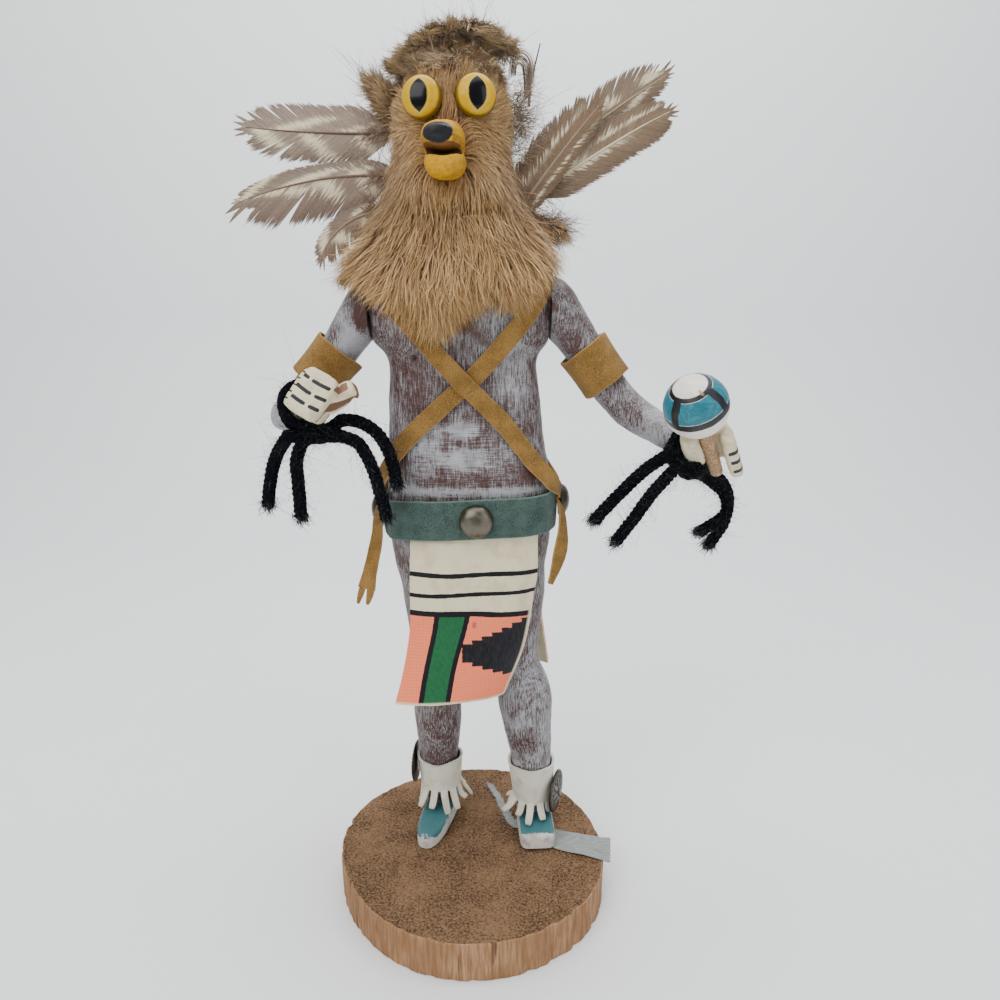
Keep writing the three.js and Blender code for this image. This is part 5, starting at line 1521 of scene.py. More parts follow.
def build_moccasins():
    """The flat painted feet, their paint worn through along the edges."""
    thickness = 6.0
    for side, toe, heel, toe_width, heel_width, roundness, bottom in (
        ("right", (-20.4, -5), (-12.6, 32), 11.6, 14.6, 2.6, 16.3),
        ("left", (28.1, -6), (26.2, 27), 15, 15.4, 7, 17.0),
    ):
        toe, heel = np.array([*toe, 0.0]), np.array([*heel, 0.0])
        axis = toe - heel
        length = np.linalg.norm(axis)
        way = axis / length
        across = np.cross(Z, way)
        steps = 160
        angle = TAU * (np.arange(steps) + 0.5) / steps
        square = np.where(np.cos(angle) > 0, roundness, 3.0)
        along_foot = length / 2 * signed_power(np.cos(angle), 2 / square)
        half = mix(heel_width, toe_width, along_foot / length + 0.5) / 2
        wide = half * signed_power(np.sin(angle), 2 / square)
        middle = (toe + heel) / 2
        rings = []
        profile = [(0.0, -0.35), (0.35, 0.0), (2.4, 0.05), (thickness - 1.1, 0.0),
                   (thickness - 0.45, -0.35), (thickness - 0.1, -0.95), (thickness, -1.7)]
        for level, grow in profile:
            k_long = (along_foot / (length / 2)) * (length / 2 + grow)
            k_wide = wide * (1 + grow / np.maximum(half, 1))
            rings.append(middle + k_long[:, None] * way + k_wide[:, None] * across
                         + (bottom + level) * Z)
        for share in (0.8, 0.6, 0.4, 0.2, 0.03):
            centre = middle + (bottom + thickness) * Z
            rings.append(centre + (rings[6] - centre) * np.array([share, share, 1.0]))
        shell = loft(rings)
        points = shell[0]
        shift = 0.16 * rough(points, 4.0, 7.0, 2)
        points[:, 2] += shift * smooth((points[:, 2] - bottom - 1) / 2)
        obj = make(side + "_moccasin_carved", (points, shell[1]),
                   finish_material("moccasin paint", moccasin_paint), [side + "_moccasin"],
                   40)
        local = points - middle
        along_share = (local @ way) / (length / 2)
        across_share = np.abs(local @ across) / (mix(heel_width, toe_width,
                                                     along_share / 2 + 0.5) / 2)
        level = points[:, 2] - bottom
        wear = 0.12 + 0.9 * smooth((thickness - 1.0 - level) / 1.0)
        wear += 0.35 * smooth((across_share - 0.82) / 0.12)
        toe_wear = 0.5 if side == "left" else 0.32
        wear += toe_wear * smooth((along_share - 0.78) / 0.15)
        tint(obj.data, "wear", np.clip(wear, 0, 1))


def tape_material(tree, shader):
    where = place(tree)
    threads = use(tree, streak_group(), {
        "Vector": place(tree, (0.35, 2.4, 1), (0, 0, 0.25)), "Scale": 0.9, "Detail": 4.0,
        "Low": 0.35, "High": 0.7,
    })
    blotch = cloud(tree, where, 0.12, 5.0)
    colour = blended(tree, threads["Mask"], (0.2, 0.215, 0.205), (0.33, 0.345, 0.33))
    colour = blended(tree, remap(tree, blotch, 0.5, 0.75, 0, 0.5), colour, (0.14, 0.12, 0.1))
    feed(tree, shader, "Base Color", colour)
    feed(tree, shader, "Roughness", remap(tree, blotch, 0.3, 0.7, 0.38, 0.62))
    relief(tree, shader, threads["Value"], 0.25, 0.7)


def build_tape():
    """The strip of old grey tape: pinked across its right end, torn to threads at its left."""
    finish = finish_material("old tape", tape_material)
    low = 16.3
    right_top = [(24, 12.4), (36.5, 7), (47, 4.2), (60, 0.9)]
    right_low = [(22, 3.6), (36.5, -5.6), (47, -9), (57.8, -13.8)]
    upper = rows_through([(x, y, 0) for x, y in right_top], 12)
    lower = rows_through([(x, y, 0) for x, y in right_low], 12)
    rows, columns = 23, len(upper)
    grid = np.empty((rows, columns, 3))
    for r in range(rows):
        s = r / (rows - 1)
        grid[r] = mix(upper, lower, s)
        # The pinked end is a row of small teeth.
        tooth = 0.9 * abs(((s * 9) % 1) - 0.5) * 2
        share = smooth((np.arange(columns) / (columns - 1) - 0.93) / 0.07)
        end_way = unit(point(3, -0.9, 0))
        grid[r] -= np.outer(share * tooth, end_way)
    x = grid[..., 0]
    lift = 0.35 * smooth((x - 55) / 5) + 0.12 * np.sin(x * 0.45) * smooth((x - 34) / 8)
    grid[..., 2] = low + 0.12 + np.abs(lift)
    front = grid + 0.28 * Z
    make("tape_strip_right", slab(front, grid), finish, ["tape_strip"])

    torn = rows_through([(25, 8, 0), (17.5, 12, 0), (13.4, 22, 0), (10, 32, 0), (5.3, 42, 0)], 16)
    tangent, _, _ = frames_along(torn, Z + 0.01)
    out = np.cross(tangent, Z)
    count = len(torn)
    share = np.linspace(0, 1, count)
    edge = rough(torn, 2.1, 4.0, 2)
    other = rough(torn, 2.3, 14.0, 2)
    half = mix(2.3, 1.2, share)
    across = np.linspace(-1, 1, 9)
    grid = np.empty((9, count, 3))
    for r, s in enumerate(across):
        ragged = np.where(s > 0, 0.6 * edge, 0.6 * other) * abs(s)
        narrowing = 1 - 0.85 * smooth((share - 0.9) / 0.1)
        grid[r] = torn + out * ((s * half + ragged) * narrowing)[:, None]
    curl = 0.5 * smooth((share - 0.3) / 0.5) * (across[:, None] ** 2)
    grid[..., 2] = low + 0.08 + curl
    make("tape_torn_strip", slab(grid + 0.26 * Z, grid), finish, ["tape_strip"])
    rng = np.random.default_rng(8)
    pick = rng.integers(0, count, 70)
    sign = rng.choice([-1, 1], 70)
    roots = torn[pick] + out[pick] * (sign * half[pick] * 0.9)[:, None] + (low + 0.3) * Z
    ways = unit(out[pick] * sign[:, None] * 0.5 + tangent[pick] + 0.14 * Z)
    threads = loose_hairs("tape_loose_threads", roots, ways, 1.5 + 3.2 * rng.random(70), 0.16,
                          (0.36, 0.37, 0.36), rng, 0.18)


# ---- Leather: straps, belt, armbands, kilt and cuffs -------------------------------------------

BELT_HEIGHT = 15.6
BELT_BOTTOM = 153.2
BELT_SLOPE = 0.045
STRAP_WIDTH = 7.0
HIP_Z = 164.0
OVER_BELT = ON_BODY + BELT_LEATHER + 3 * GAP
KILT_LIFT = LEATHER + 2 * GAP
CROSS_Z = 212.0


def tan_suede(tree, shader):
    where = place(tree)
    nap = use(tree, nap_group(), {
        "Vector": where, "Dark": rgba(colours().suede_dark), "Light": rgba(colours().suede_light),
        "Patch size": 7.0,
    })
    edge = channels(tree, "edge")["Red"]
    colour = blended(tree, times(tree, edge, 0.55), nap["Color"], (0.52, 0.32, 0.13))
    feed(tree, shader, "Base Color", colour)
    gloss(shader, 0.92, 0.18)
    shader.inputs["Sheen Weight"].default_value = 0.08
    shader.inputs["Sheen Roughness"].default_value = 0.45
    relief(tree, shader, nap["Height"], 0.35, 0.9)


def green_suede(tree, shader):
    where = place(tree)
    nap = use(tree, nap_group(), {
        "Vector": where, "Dark": rgba(colours().belt_dark), "Light": rgba(colours().belt_light),
        "Patch size": 6.0,
    })
    edge = channels(tree, "edge")["Red"]
    colour = blended(tree, times(tree, edge, 0.5), nap["Color"], (0.17, 0.3, 0.24))
    feed(tree, shader, "Base Color", colour)
    gloss(shader, 0.92, 0.2)
    shader.inputs["Sheen Weight"].default_value = 0.1
    shader.inputs["Sheen Roughness"].default_value = 0.5
    relief(tree, shader, nap["Height"], 0.35, 0.9)


# A leather strip's section: across (-1 to 1), out (0 inside, 1 outside), with eased edges.
STRIP_SECTION = (
    [(s, 0.0) for s in (-0.94, -0.6, -0.2, 0.2, 0.6, 0.94)]
    + [(0.99, 0.1), (1.0, 0.35), (1.0, 0.68), (0.985, 0.9)]
    + [(s, 1.0) for s in (0.93, 0.6, 0.2, -0.2, -0.6, -0.93)]
    + [(-0.985, 0.9), (-1.0, 0.68), (-1.0, 0.35), (-0.99, 0.1)]
)


def strip_edge(count):
    """Which points of a run of strip sections lie on the cut edges."""
    one = [1.0 if abs(s) > 0.95 else 0.0 for s, _ in STRIP_SECTION]
    return np.tile(one, count)


def bandolier(hip, shoulder, stations, cross_lift):
    """The closed route of a strap's loop, its outward directions and its place at the hip."""

    def lift(z):
        return (ON_BODY + cross_lift * smooth(1.9 - abs(z - CROSS_Z) / 8)
                + (OVER_BELT - ON_BODY) * smooth((184 - z) / 8))

    def surface(x, z, side):
        angle = torso_angle(x, z, side)
        at = on_torso(angle, z, lift(z))
        return at, unit(on_torso(angle, z, lift(z) + 1) - at)

    def over(y, z):
        return point(shoulder[0], y, z), unit(point(shoulder[2], (y - 14) / 14, 1))

    fine = [(x, z) for x, z, _ in rows_through([(x, z, 0) for x, z in stations], 7)]
    front = [surface(x, z, -1) for x, z in fine]
    back = [surface(x, z, 1) for x, z in fine][::-1]
    hip_angle = 0.0 if hip > 0 else math.pi
    hip_point = on_torso(hip_angle, HIP_Z, OVER_BELT)
    top = shoulder[1]
    corner_front = [over(5.4, top - 3)]
    corner_back = [over(22.6, top - 3), over(18.6, top), over(9.4, top)]
    # The short stretches over the shoulder and round the hip are eased with extra stations.
    key = corner_front + front + [(hip_point, point(hip, 0, 0))] + back + corner_back
    places = np.array([p for p, _ in key])
    outs = np.array([o for _, o in key])
    extended = np.hstack([places, outs])
    loop = []
    count = len(extended)
    for i in range(count):
        a, b, c, d = (extended[(i + k - 1) % count] for k in range(4))
        gap = np.linalg.norm(b[:3] - c[:3])
        steps = max(1, int(round(gap / 1.3)))
        for s in range(steps):
            loop.append(eased_between(a, b, c, d, s / steps))
    loop = np.array(loop)
    return loop[:, :3], unit(loop[:, 3:]), hip_point


def strip_sections(places, outs, halves, closed, thickness=LEATHER):
    if closed:
        tangent = unit(np.roll(places, -1, axis=0) - np.roll(places, 1, axis=0))
    else:
        tangent, _, _ = frames_along(places, Z)
    side = unit(np.cross(outs, tangent))
    up = unit(np.cross(tangent, side))
    sections = []
    for i, place_on in enumerate(places):
        sections.append([
            place_on + side[i] * s * halves[i] + up[i] * (t * thickness)
            for s, t in STRIP_SECTION
        ])
    return np.array(sections)


def strap_piece(name, node, hip, shoulder, stations, cross_lift, tail, seed, forked=False):
    places, outs, hip_point = bandolier(hip, shoulder, stations, cross_lift)
    away = np.linalg.norm(places - hip_point, axis=1)
    ragged = 0.14 * rough(places, 5.0, seed, 2)
    halves = STRAP_WIDTH / 2 * (1 - 0.5 * bump(away, 0, 10)) + ragged
    loop = strip_sections(places, outs, halves, True)
    shell = hoop(loop)
    edge = [strip_edge(len(loop))]
    rows = rows_through([(x, y, z, w, ox, oy) for x, y, z, w, ox, oy in tail], 7)
    tail_out = unit(np.column_stack([rows[:, 4], rows[:, 5], 0 * rows[:, 4]]))
    tail_halves = rows[:, 3] / 2 + 0.1 * rough(rows[:, :3], 3, seed, 2)
    ends = strip_sections(rows[:, :3], tail_out, tail_halves, False)
    tails = [ends]
    if forked:
        # The last part is slit into two points that stand a little apart.
        slit = len(rows) - 9
        tails = [ends[: slit + 1]]
        last_rows = rows[slit:]
        outs_last = tail_out[slit:]
        for way, share in ((-1, 0.34), (1, 0.4)):
            t = np.linspace(0, 1, len(last_rows))
            side = np.cross(outs_last, -Z)
            middle = last_rows[:, :3] + side * (way * last_rows[:, 3] * (0.25 + 0.09 * t))[:, None]
            width = last_rows[:, 3] * share / 2 * (1 - 0.55 * t**2)
            tails.append(strip_sections(middle, outs_last, width, False))
    shells = [shell]
    for part in tails:
        shells.append(loft(part))
        edge.append(strip_edge(len(part)))
    obj = make(name, merged(*shells), finish_material("tan suede", tan_suede), [node],
               55)
    tint(obj.data, "edge", np.concatenate(edge))
    return obj


def belt_offset(angle):
    from_front = np.abs(np.sin(angle))
    return ON_BODY + KILT_LIFT * smooth((from_front - 0.3) / 0.35)


def belt_bottom_at(x):
    return BELT_BOTTOM + BELT_SLOPE * x


def build_straps():
    """The two suede bandoliers that cross on the chest, each with its hanging tail."""
    strap_piece(
        "strap_upper_suede", "shoulder_strap_upper", 1, (-29.6, 257.6, -0.5),
        [(-29.4, 248), (-26.4, 240.4), (-20.6, 233.6), (-10, 221.6), (-5.4, 216.6), (-1.2, 212),
         (3.4, 207.6), (13.8, 196.4), (24.2, 182), (28.6, 175), (31.8, 170.6)],
        LEATHER + 2 * GAP,
        [(34.6, 11.4, 166, 3, 0.9, -0.5), (36, 8, 161, 3.4, 0.75, -0.66),
         (36.4, 6.2, 154, 4.6, 0.6, -0.8), (35.8, 5.4, 147, 6.2, 0.5, -0.86),
         (34.2, 4.8, 140, 5, 0.5, -0.86), (31.6, 3.4, 132.6, 2.2, 0.5, -0.86)],
        2.0,
    )
    strap_piece(
        "strap_lower_suede", "shoulder_strap_lower", -1, (26.4, 254.4, 0.9),
        [(26.8, 248.4), (23.4, 240.4), (17.6, 232.4), (5, 218), (-1.2, 212), (-6, 207.8),
         (-16.6, 198), (-22.8, 191.8), (-29, 183.4), (-32.2, 172.6)],
        0.0,
        [(-35.8, 11, 166, 3, -0.9, -0.5), (-36.6, 7, 160, 4.4, -0.6, -0.8),
         (-36.6, 3, 153, 5, -0.4, -0.9), (-38, 0, 145, 5.4, -0.3, -0.95),
         (-39.6, -1.4, 138, 6, -0.3, -0.95), (-41, -2.2, 131.6, 7.4, -0.3, -0.95),
         (-42.4, -2.8, 126.4, 6, -0.3, -0.95)],
        7.0, True,
    )


def build_belt():
    """The green suede belt, laid over the kilt's tops and pinched at the left hip."""
    sides = 260
    sections = []
    edge = []
    for i in range(sides):
        angle = TAU * i / sides
        bottom = belt_bottom_at(on_torso(angle, BELT_BOTTOM, 0)[0])
        inner = belt_offset(angle)
        wave = 0.25 * math.sin(3 * angle + 0.6) + 0.16 * math.sin(8 * angle)
        section = []
        for s, t in STRIP_SECTION:
            z = bottom + (s + 1) / 2 * BELT_HEIGHT + wave * 0.7 * (1 if abs(s) > 0.9 else 0.6)
            crown = 0.22 * (1 - s * s) * math.sin(5 * angle + 1.0) ** 2
            section.append(on_torso(angle, z, inner + t * BELT_LEATHER + crown))
            edge.append(1.0 if abs(s) > 0.95 else 0.0)
        sections.append(section)
    belt = make("belt_suede", hoop(sections), finish_material("green suede", green_suede),
                ["belt"], 55)
    tint(belt.data, "edge", edge)


def build_armbands():
    """A wide suede band round each upper arm, its ends lapped at the back."""
    for side, start, end, start_radius, end_radius, lean in (
        ("right", (-50, 14, 224.6), (-61, 12.4, 211.8), 9.1, 8.5, 0.5),
        ("left", (43.6, 14, 225.4), (53.8, 14, 211.6), 9.1, 8.7, -0.4),
    ):
        start, end = np.array(start, float), np.array(end, float)
        axis = unit(end - start)
        right = unit(Y - (Y @ axis) * axis)
        front = np.cross(axis, right)
        sides = 120
        sections, edge = [], []
        for i in range(sides):
            angle = TAU * i / sides
            out = math.cos(angle) * right + math.sin(angle) * front
            wave = 0.28 * math.sin(2 * angle + lean) + 0.14 * math.sin(5 * angle)
            section = []
            for s, t in STRIP_SECTION:
                share = (s + 1) / 2
                along_arm = mix(start, end, share) + axis * wave * abs(s)
                radius = mix(start_radius, end_radius, share) + t * LEATHER
                flare = 0.35 * s * s
                section.append(along_arm + out * (radius + flare))
                edge.append(1.0 if abs(s) > 0.95 else 0.0)
            sections.append(section)
        band = make(side + "_armband_suede", hoop(sections),
                    finish_material("tan suede", tan_suede), [side + "_armband"], 55)
        tint(band.data, "edge", edge)


KILT_TOP = 160.0
FRONT_PANEL = {
    "side": -1,
    "left": [(94, -27.4), (104, -24.9), (116, -23), (125, -22.6), (150, -23), (160, -23.2)],
    "right": [(89, 12.1), (93.4, 14.2), (107, 20), (120, 23), (131, 24.4), (139, 25.8), (160, 26)],
    "forward_left": [(94, -24.5), (104, -18.5), (116, -12.2), (125, -9), (139, -6), (152, 0)],
    "forward_right": [(89, -8), (104, -4.6), (120, -3.4), (139, -2), (152, 0)],
}
BACK_PANEL = {
    "side": 1,
    "left": [(84, -27), (120, -25), (160, -24)],
    "right": [(84, 33.4), (120, 28.6), (160, 27)],
    "forward_left": [(84, 5), (120, 2), (152, 0)],
    "forward_right": [(84, 4), (120, 1.6), (152, 0)],
}


def stop_value(stops, z):
    """A value off a list of [height, value] stops, eased between them."""
    table = np.array(stops, float)
    fine = rows_through(table, 8) if len(table) > 2 else table
    return np.interp(z, fine[:, 0], fine[:, 1])


def kilt_grid(panel, hem, rows, columns):
    s, t = np.meshgrid(np.linspace(0, 1, columns), np.linspace(0, 1, rows))
    z = mix(KILT_TOP, hem(s), t)
    x = mix(stop_value(panel["left"], z), stop_value(panel["right"], z), s)
    held = np.maximum(z, 152.0)
    top_x = mix(stop_value(panel["left"], held), stop_value(panel["right"], held), s)
    angle = torso_angle(top_x, held, panel["side"])
    y = on_torso(angle, held, np.full_like(held, ON_BODY))[..., 1]
    y = y + mix(stop_value(panel["forward_left"], z), stop_value(panel["forward_right"], z),
                s**1.3)
    return np.stack([x, y, z], axis=-1), s, t


def kilt_leather(tree, shader):
    """Cream leather with its painting, which the panel's own marks place."""
    where = place(tree)
    marks = channels(tree, "painting")
    more = channels(tree, "painting_more")
    ragged = cloud(tree, where, 1.1, 5.0)
    nudge = times(tree, minus(tree, ragged, 0.5), 0.55)
    scratch = use(tree, streak_group(), {
        "Vector": place(tree, (1.0, 1.0, 0.25), (0, 0.5, 0)), "Scale": 1.2, "Detail": 5.0,
        "Low": 0.4, "High": 0.62,
    })
    hatch_a = wire(tree, "TexWave", {"Vector": where, "Scale": 0.3, "Distortion": 1.6},
                   bands_direction="Z").outputs["Fac"]
    hatch_b = wire(tree, "TexWave", {"Vector": where, "Scale": 0.3, "Distortion": 1.6},
                   bands_direction="X").outputs["Fac"]
    hatch = times(tree, hatch_a, hatch_b)
    cream = use(tree, dirt_group(), {
        "Vector": where, "Color": rgba(colours().cream), "Dirt": (0.42, 0.34, 0.22, 1),
        "Amount": 0.4, "Specks": 0.35,
    })["Color"]
    salmon_base = np.array(colours().salmon)
    salmon = blended(tree, remap(tree, hatch, 0.25, 0.8, 0.0, 0.25), rgba(salmon_base),
                     (0.86, 0.56, 0.42))
    salmon = blended(tree, remap(tree, ragged, 0.3, 0.75, 0.25, 0.0), salmon,
                     rgba(salmon_base * 0.85))
    green = blended(tree, scratch["Mask"], rgba(colours().kilt_green),
                    rgba(np.array(colours().kilt_green) * 1.25))
    ink = blended(tree, times(tree, scratch["Mask"], more["Green"]),
                  rgba(colours().ink), (0.014, 0.013, 0.016))

    def edged(mark, low=0.42, high=0.58):
        return remap(tree, plus(tree, mark, nudge), low, high)

    colour = blended(tree, edged(marks["Red"], 0.4, 0.6), cream, salmon)
    colour = blended(tree, edged(marks["Green"]), colour, green)
    colour = blended(tree, edged(more["Red"]), colour, (0.52, 0.1, 0.085))
    colour = blended(tree, edged(marks["Blue"]), colour, ink)
    colour = blended(tree, more["Blue"], colour, cream)
    feed(tree, shader, "Base Color", colour)
    gloss(shader, 0.6, 0.22)
    grain = wire(tree, "TexVoronoi", {"Vector": where, "Scale": 1.5}).outputs[0]
    relief(tree, shader, plus(tree, grain, times(tree, ragged, 0.6)), 0.14,
           0.6)


def line_mark(distance, half, soft=0.22):
    """1 on a painted line of a given half-width, falling off just outside it."""
    return np.clip(0.5 + (half - distance) / (2 * soft), 0, 1)


def kilt_painting(points, s, t):
    """The marks of the front panel: lines, salmon ground, green stripe and stepped triangle."""
    x, _, z = points.T
    bold = 124.7 - 0.085 * np.clip(x - 2, 0, None) - 0.02 * (x + 2)
    ground = np.clip(0.5 + (bold - z) / 0.5, 0, 1)
    centre = stop_value([(93, -13.6), (104, -11.6), (112, -9.6), (118, -8), (124.5, -6.7)], z)
    half = stop_value([(93, 4.7), (108, 4.9), (124.5, 5.6)], z)
    stripe = line_mark(np.abs(x - centre), half, 0.2) * (z < bold)
    borders = line_mark(np.abs(np.abs(x - centre) - half - 0.2), 0.95) * (z < bold)
    lines = line_mark(np.abs(z - 139.7 - 0.25 * np.sin(x * 0.2)), 0.85)
    lines = np.maximum(lines, line_mark(np.abs(z - 132.3 - 0.25 * np.sin(x * 0.17 + 1)), 0.82))
    lines = np.maximum(lines, line_mark(np.abs(z - bold - 0.3), 1.05))
    # The stepped triangle points to the left: columns of steps that grow towards its base.
    middle = 109.2 - 0.1 * (x - 10)
    tip, base = -3.2, 19.6
    steps = 6
    column = np.floor((x - tip) / (base - tip) * steps) + 1
    reach_up = 1.6 + column * 1.62
    reach_down = 1.8 + column * 1.62
    wedge = (x > tip) & (x < base + 3) & (z < middle + reach_up) & (z > middle - reach_down)
    distance = np.minimum(np.minimum(middle + reach_up - z, z - middle + reach_down), x - tip)
    triangle = np.clip(0.5 + distance / 0.4, 0, 1) * wedge
    lines_all = np.maximum(np.maximum(lines, borders), triangle)
    smudge = np.clip(1.25 - np.hypot((x - 1.6) / 1.1, (z - 120.6) / 1.7), 0, 1)
    cut_right = smooth((s - 0.965) / 0.02) * (z < bold + 2)
    cut_low = smooth((t - 0.985) / 0.01)
    bare = np.clip(cut_right + cut_low, 0, 1)
    return (np.stack([ground, stripe, lines_all], axis=1),
            np.stack([smudge, triangle, bare], axis=1))


def build_kilt():
    """The front and back panels of painted leather that hang from under the belt.

    Each panel's flat size is in metres and its flat area, as the cut tapers, in square metres.
    """
    finish = finish_material("painted leather", kilt_leather)

    def front_hem(s):
        return 94.4 - 4.6 * s**1.6

    def back_hem(s):
        return 86 - 2 * s

    for name, panel, hem, flat, area in (
        ("front", FRONT_PANEL, front_hem, (0.0505, 0.073), 0.00343),
        ("back", BACK_PANEL, back_hem, (0.062, 0.0765), 0.00421),
    ):
        rows, columns = (142, 116) if name == "front" else (60, 40)
        grid, s, t = kilt_grid(panel, hem, rows, columns)
        down = np.gradient(grid, axis=0)
        across = np.gradient(grid, axis=1)
        out = unit(np.cross(across, down))
        flip = np.sign(out[..., 1]) != panel["side"]
        out[flip] *= -1
        wave = 0.22 * np.sin(s * 7.0 + 2.0 * t) * t
        back = grid + out * wave[..., None] * (1 if name == "front" else 0.6)
        front = back + out * LEATHER
        obj = make("kilt_" + name + "_leather", slab(front, back), finish,
                   ["kilt_" + name + "_panel"], 60)
        flat_points = back.reshape(-1, 3)
        if name == "front":
            main, more = kilt_painting(flat_points, s.ravel(), t.ravel())
        else:
            z = flat_points[:, 2]
            ground = np.clip(0.5 + (120 - z) / 0.5, 0, 1)
            lines = np.maximum(line_mark(np.abs(z - 134), 0.6), line_mark(np.abs(z - 127), 0.6))
            lines = np.maximum(lines, line_mark(np.abs(z - 120), 1.0))
            main = np.stack([ground, 0 * ground, lines], axis=1)
            more = 0 * main
            more[:, 2] = smooth((t.ravel() - 0.985) / 0.01)
        inside = np.zeros_like(main)
        inside_more = np.zeros_like(main)
        tint(obj.data, "painting", np.vstack([main, inside]))
        tint(obj.data, "painting_more", np.vstack([more, inside_more]))


def white_leather(tree, shader):
    where = place(tree)
    marks = channels(tree, "tips")
    base = use(tree, dirt_group(), {
        "Vector": where, "Color": (0.74, 0.71, 0.6, 1), "Dirt": (0.38, 0.28, 0.17, 1),
        "Amount": 0.42, "Specks": 0.4,
    })["Color"]
    colour = blended(tree, times(tree, marks["Red"], 0.45), base, (0.3, 0.2, 0.11))
    feed(tree, shader, "Base Color", colour)
    gloss(shader, 0.5, 0.4)
    grain = wire(tree, "TexVoronoi", {"Vector": where, "Scale": 1.3}).outputs[0]
    creases = cloud(tree, where, 0.5, 4.0)
    relief(tree, shader, plus(tree, times(tree, grain, 0.5), creases), 0.25,
           0.7)


def leg_at(stations, z):
    table = np.array(stations, float)
    return [np.interp(z, table[:, 2], table[:, i]) for i in (0, 1, 3, 4)]


def cuff(name, leg, top, waist, foot_top, turn, concho_angle, seed):
    """A leather cuff with a flared rim, its lower part cut into strips that splay and curl."""

    def wall(angle, z, out):
        x, y, a, b = leg_at(leg, z)
        return point(x + (a + out) * math.cos(angle), y + (b + out) * math.sin(angle), z)

    rng = np.random.default_rng(seed)
    sides = 80
    levels = [(waist - 1, 0.9), (mix(waist, top, 0.3), 0.85), (mix(waist, top, 0.65), 0.9),
              (mix(waist, top, 0.9), 0.8), (top, 1.0)]
    levels = rows_through(levels, 4)
    sections, tips = [], []
    for i in range(sides):
        angle = TAU * i / sides
        rim_wave = 0.55 * math.sin(2 * angle + seed) + 0.3 * math.sin(5 * angle)
        inner, outer = [], []
        for z, out in levels:
            share = (z - waist) / (top - waist)
            zz = z + rim_wave * smooth(share)
            flare = out + 0.35 * math.sin(2 * angle + seed) * share
            inner.append(wall(angle, zz, flare))
            outer.append(wall(angle, zz, flare + LEATHER))
        sections.append(inner + outer[::-1])
    shells = [hoop(sections)]
    tips.append(np.zeros(sides * 2 * len(levels)))
    strips = 13
    for i in range(strips):
        angle = turn + TAU * i / strips
        covered = max(0.0, math.cos(angle - concho_angle)) ** 3
        splay = (4.4 + 1.8 * math.cos(2.4 * i)) * (1 - 0.85 * covered)
        drop = waist - foot_top - 1.0 - 0.9 * math.sin(1.7 * i)
        direction = point(math.cos(angle), math.sin(angle), 0)
        side = point(-math.sin(angle), math.cos(angle), 0)
        root = wall(angle, waist, 0.9)
        curl = rng.uniform(-0.5, 1.1) * (1 - covered)
        lean = rng.uniform(-0.5, 0.5)
        steps = 11
        rows_out = []
        for k in range(steps):
            t = k / (steps - 1)
            down = mix(-1.2, drop, t)
            out = splay * t**1.7 + curl * smooth((t - 0.7) / 0.3) * 1.6
            up = 0.7 * curl * smooth((t - 0.8) / 0.2)
            half = mix(1.65, 1.45, t) * (1 - 0.25 * smooth((t - 0.95) / 0.05))
            middle = root + direction * out - Z * (down - up) + side * lean * t * t * 2.4
            rows_out.append((middle, half))
        places = np.array([m for m, _ in rows_out])
        halves = np.array([h for _, h in rows_out])
        outs = np.tile(unit(direction + 0.2 * Z), (steps, 1))
        part = strip_sections(places, outs, halves, False, 0.9)
        shells.append(loft(part))
        tips.append(np.repeat(np.linspace(0, 1, steps) ** 4, len(STRIP_SECTION)))
    obj = make(name + "_fringed", merged(*shells), finish_material("white leather", white_leather),
               [name], 50)
    tint(obj.data, "tips", np.concatenate(tips))


def build_cuffs():
    """The fringed white leather cuffs above the moccasins."""
    cuff("right_leg_cuff", RIGHT_LEG, 45, 32, 22.3, 0.1, 3.02, 3)
    cuff("left_leg_cuff", LEFT_LEG, 47.6, 30.6, 23, -0.25, -0.38, 11)


# ---- Metal: belt studs and conchos -------------------------------------------------------------

STUD_RADIUS = 6.5
STUD_DOME = 4.2
CONCHO_RADIUS = 9.1


def aged_metal(tree, shader):
    """Antiqued white metal: dark in its hollows, rubbed bright on the high spots."""
    where = place(tree)
    marks = channels(tree, "high")
    blotch = cloud(tree, where, 0.5, 5.0)
    fine = cloud(tree, where, 3.2, 3.0)
    tone = plus(tree, marks["Red"], times(tree, blotch, 0.4))
    colour = blended(tree, remap(tree, tone, 0.25, 1.0), (0.028, 0.025, 0.02),
                     (0.2, 0.178, 0.138))
    feed(tree, shader, "Base Color", colour)
    shader.inputs["Metallic"].default_value = 1.0
    feed(tree, shader, "Roughness", remap(tree, blotch, 0.3, 0.7, 0.3, 0.48))
    relief(tree, shader, fine, 0.06, 0.5)


def turned(profile, sides, place_at, direction, pattern=None):
    """A round of sheet metal from its [radius, height] profile, facing a direction."""
    direction = unit(direction)
    side = unit(np.cross(Z, direction))
    up = np.cross(direction, side)
    angle = TAU * np.arange(sides) / sides
    rings, high = [], []
    for radius, height in profile:
        extra = np.zeros(sides) if pattern is None else pattern(radius, angle)
        spread = radius * (1 + 0 * extra)
        rings.append(place_at + spread[:, None] * (np.cos(angle)[:, None] * side
                                                   + np.sin(angle)[:, None] * up)
                     + (height + extra)[:, None] * direction)
        high.append(extra)
    return loft(rings), np.concatenate(high)


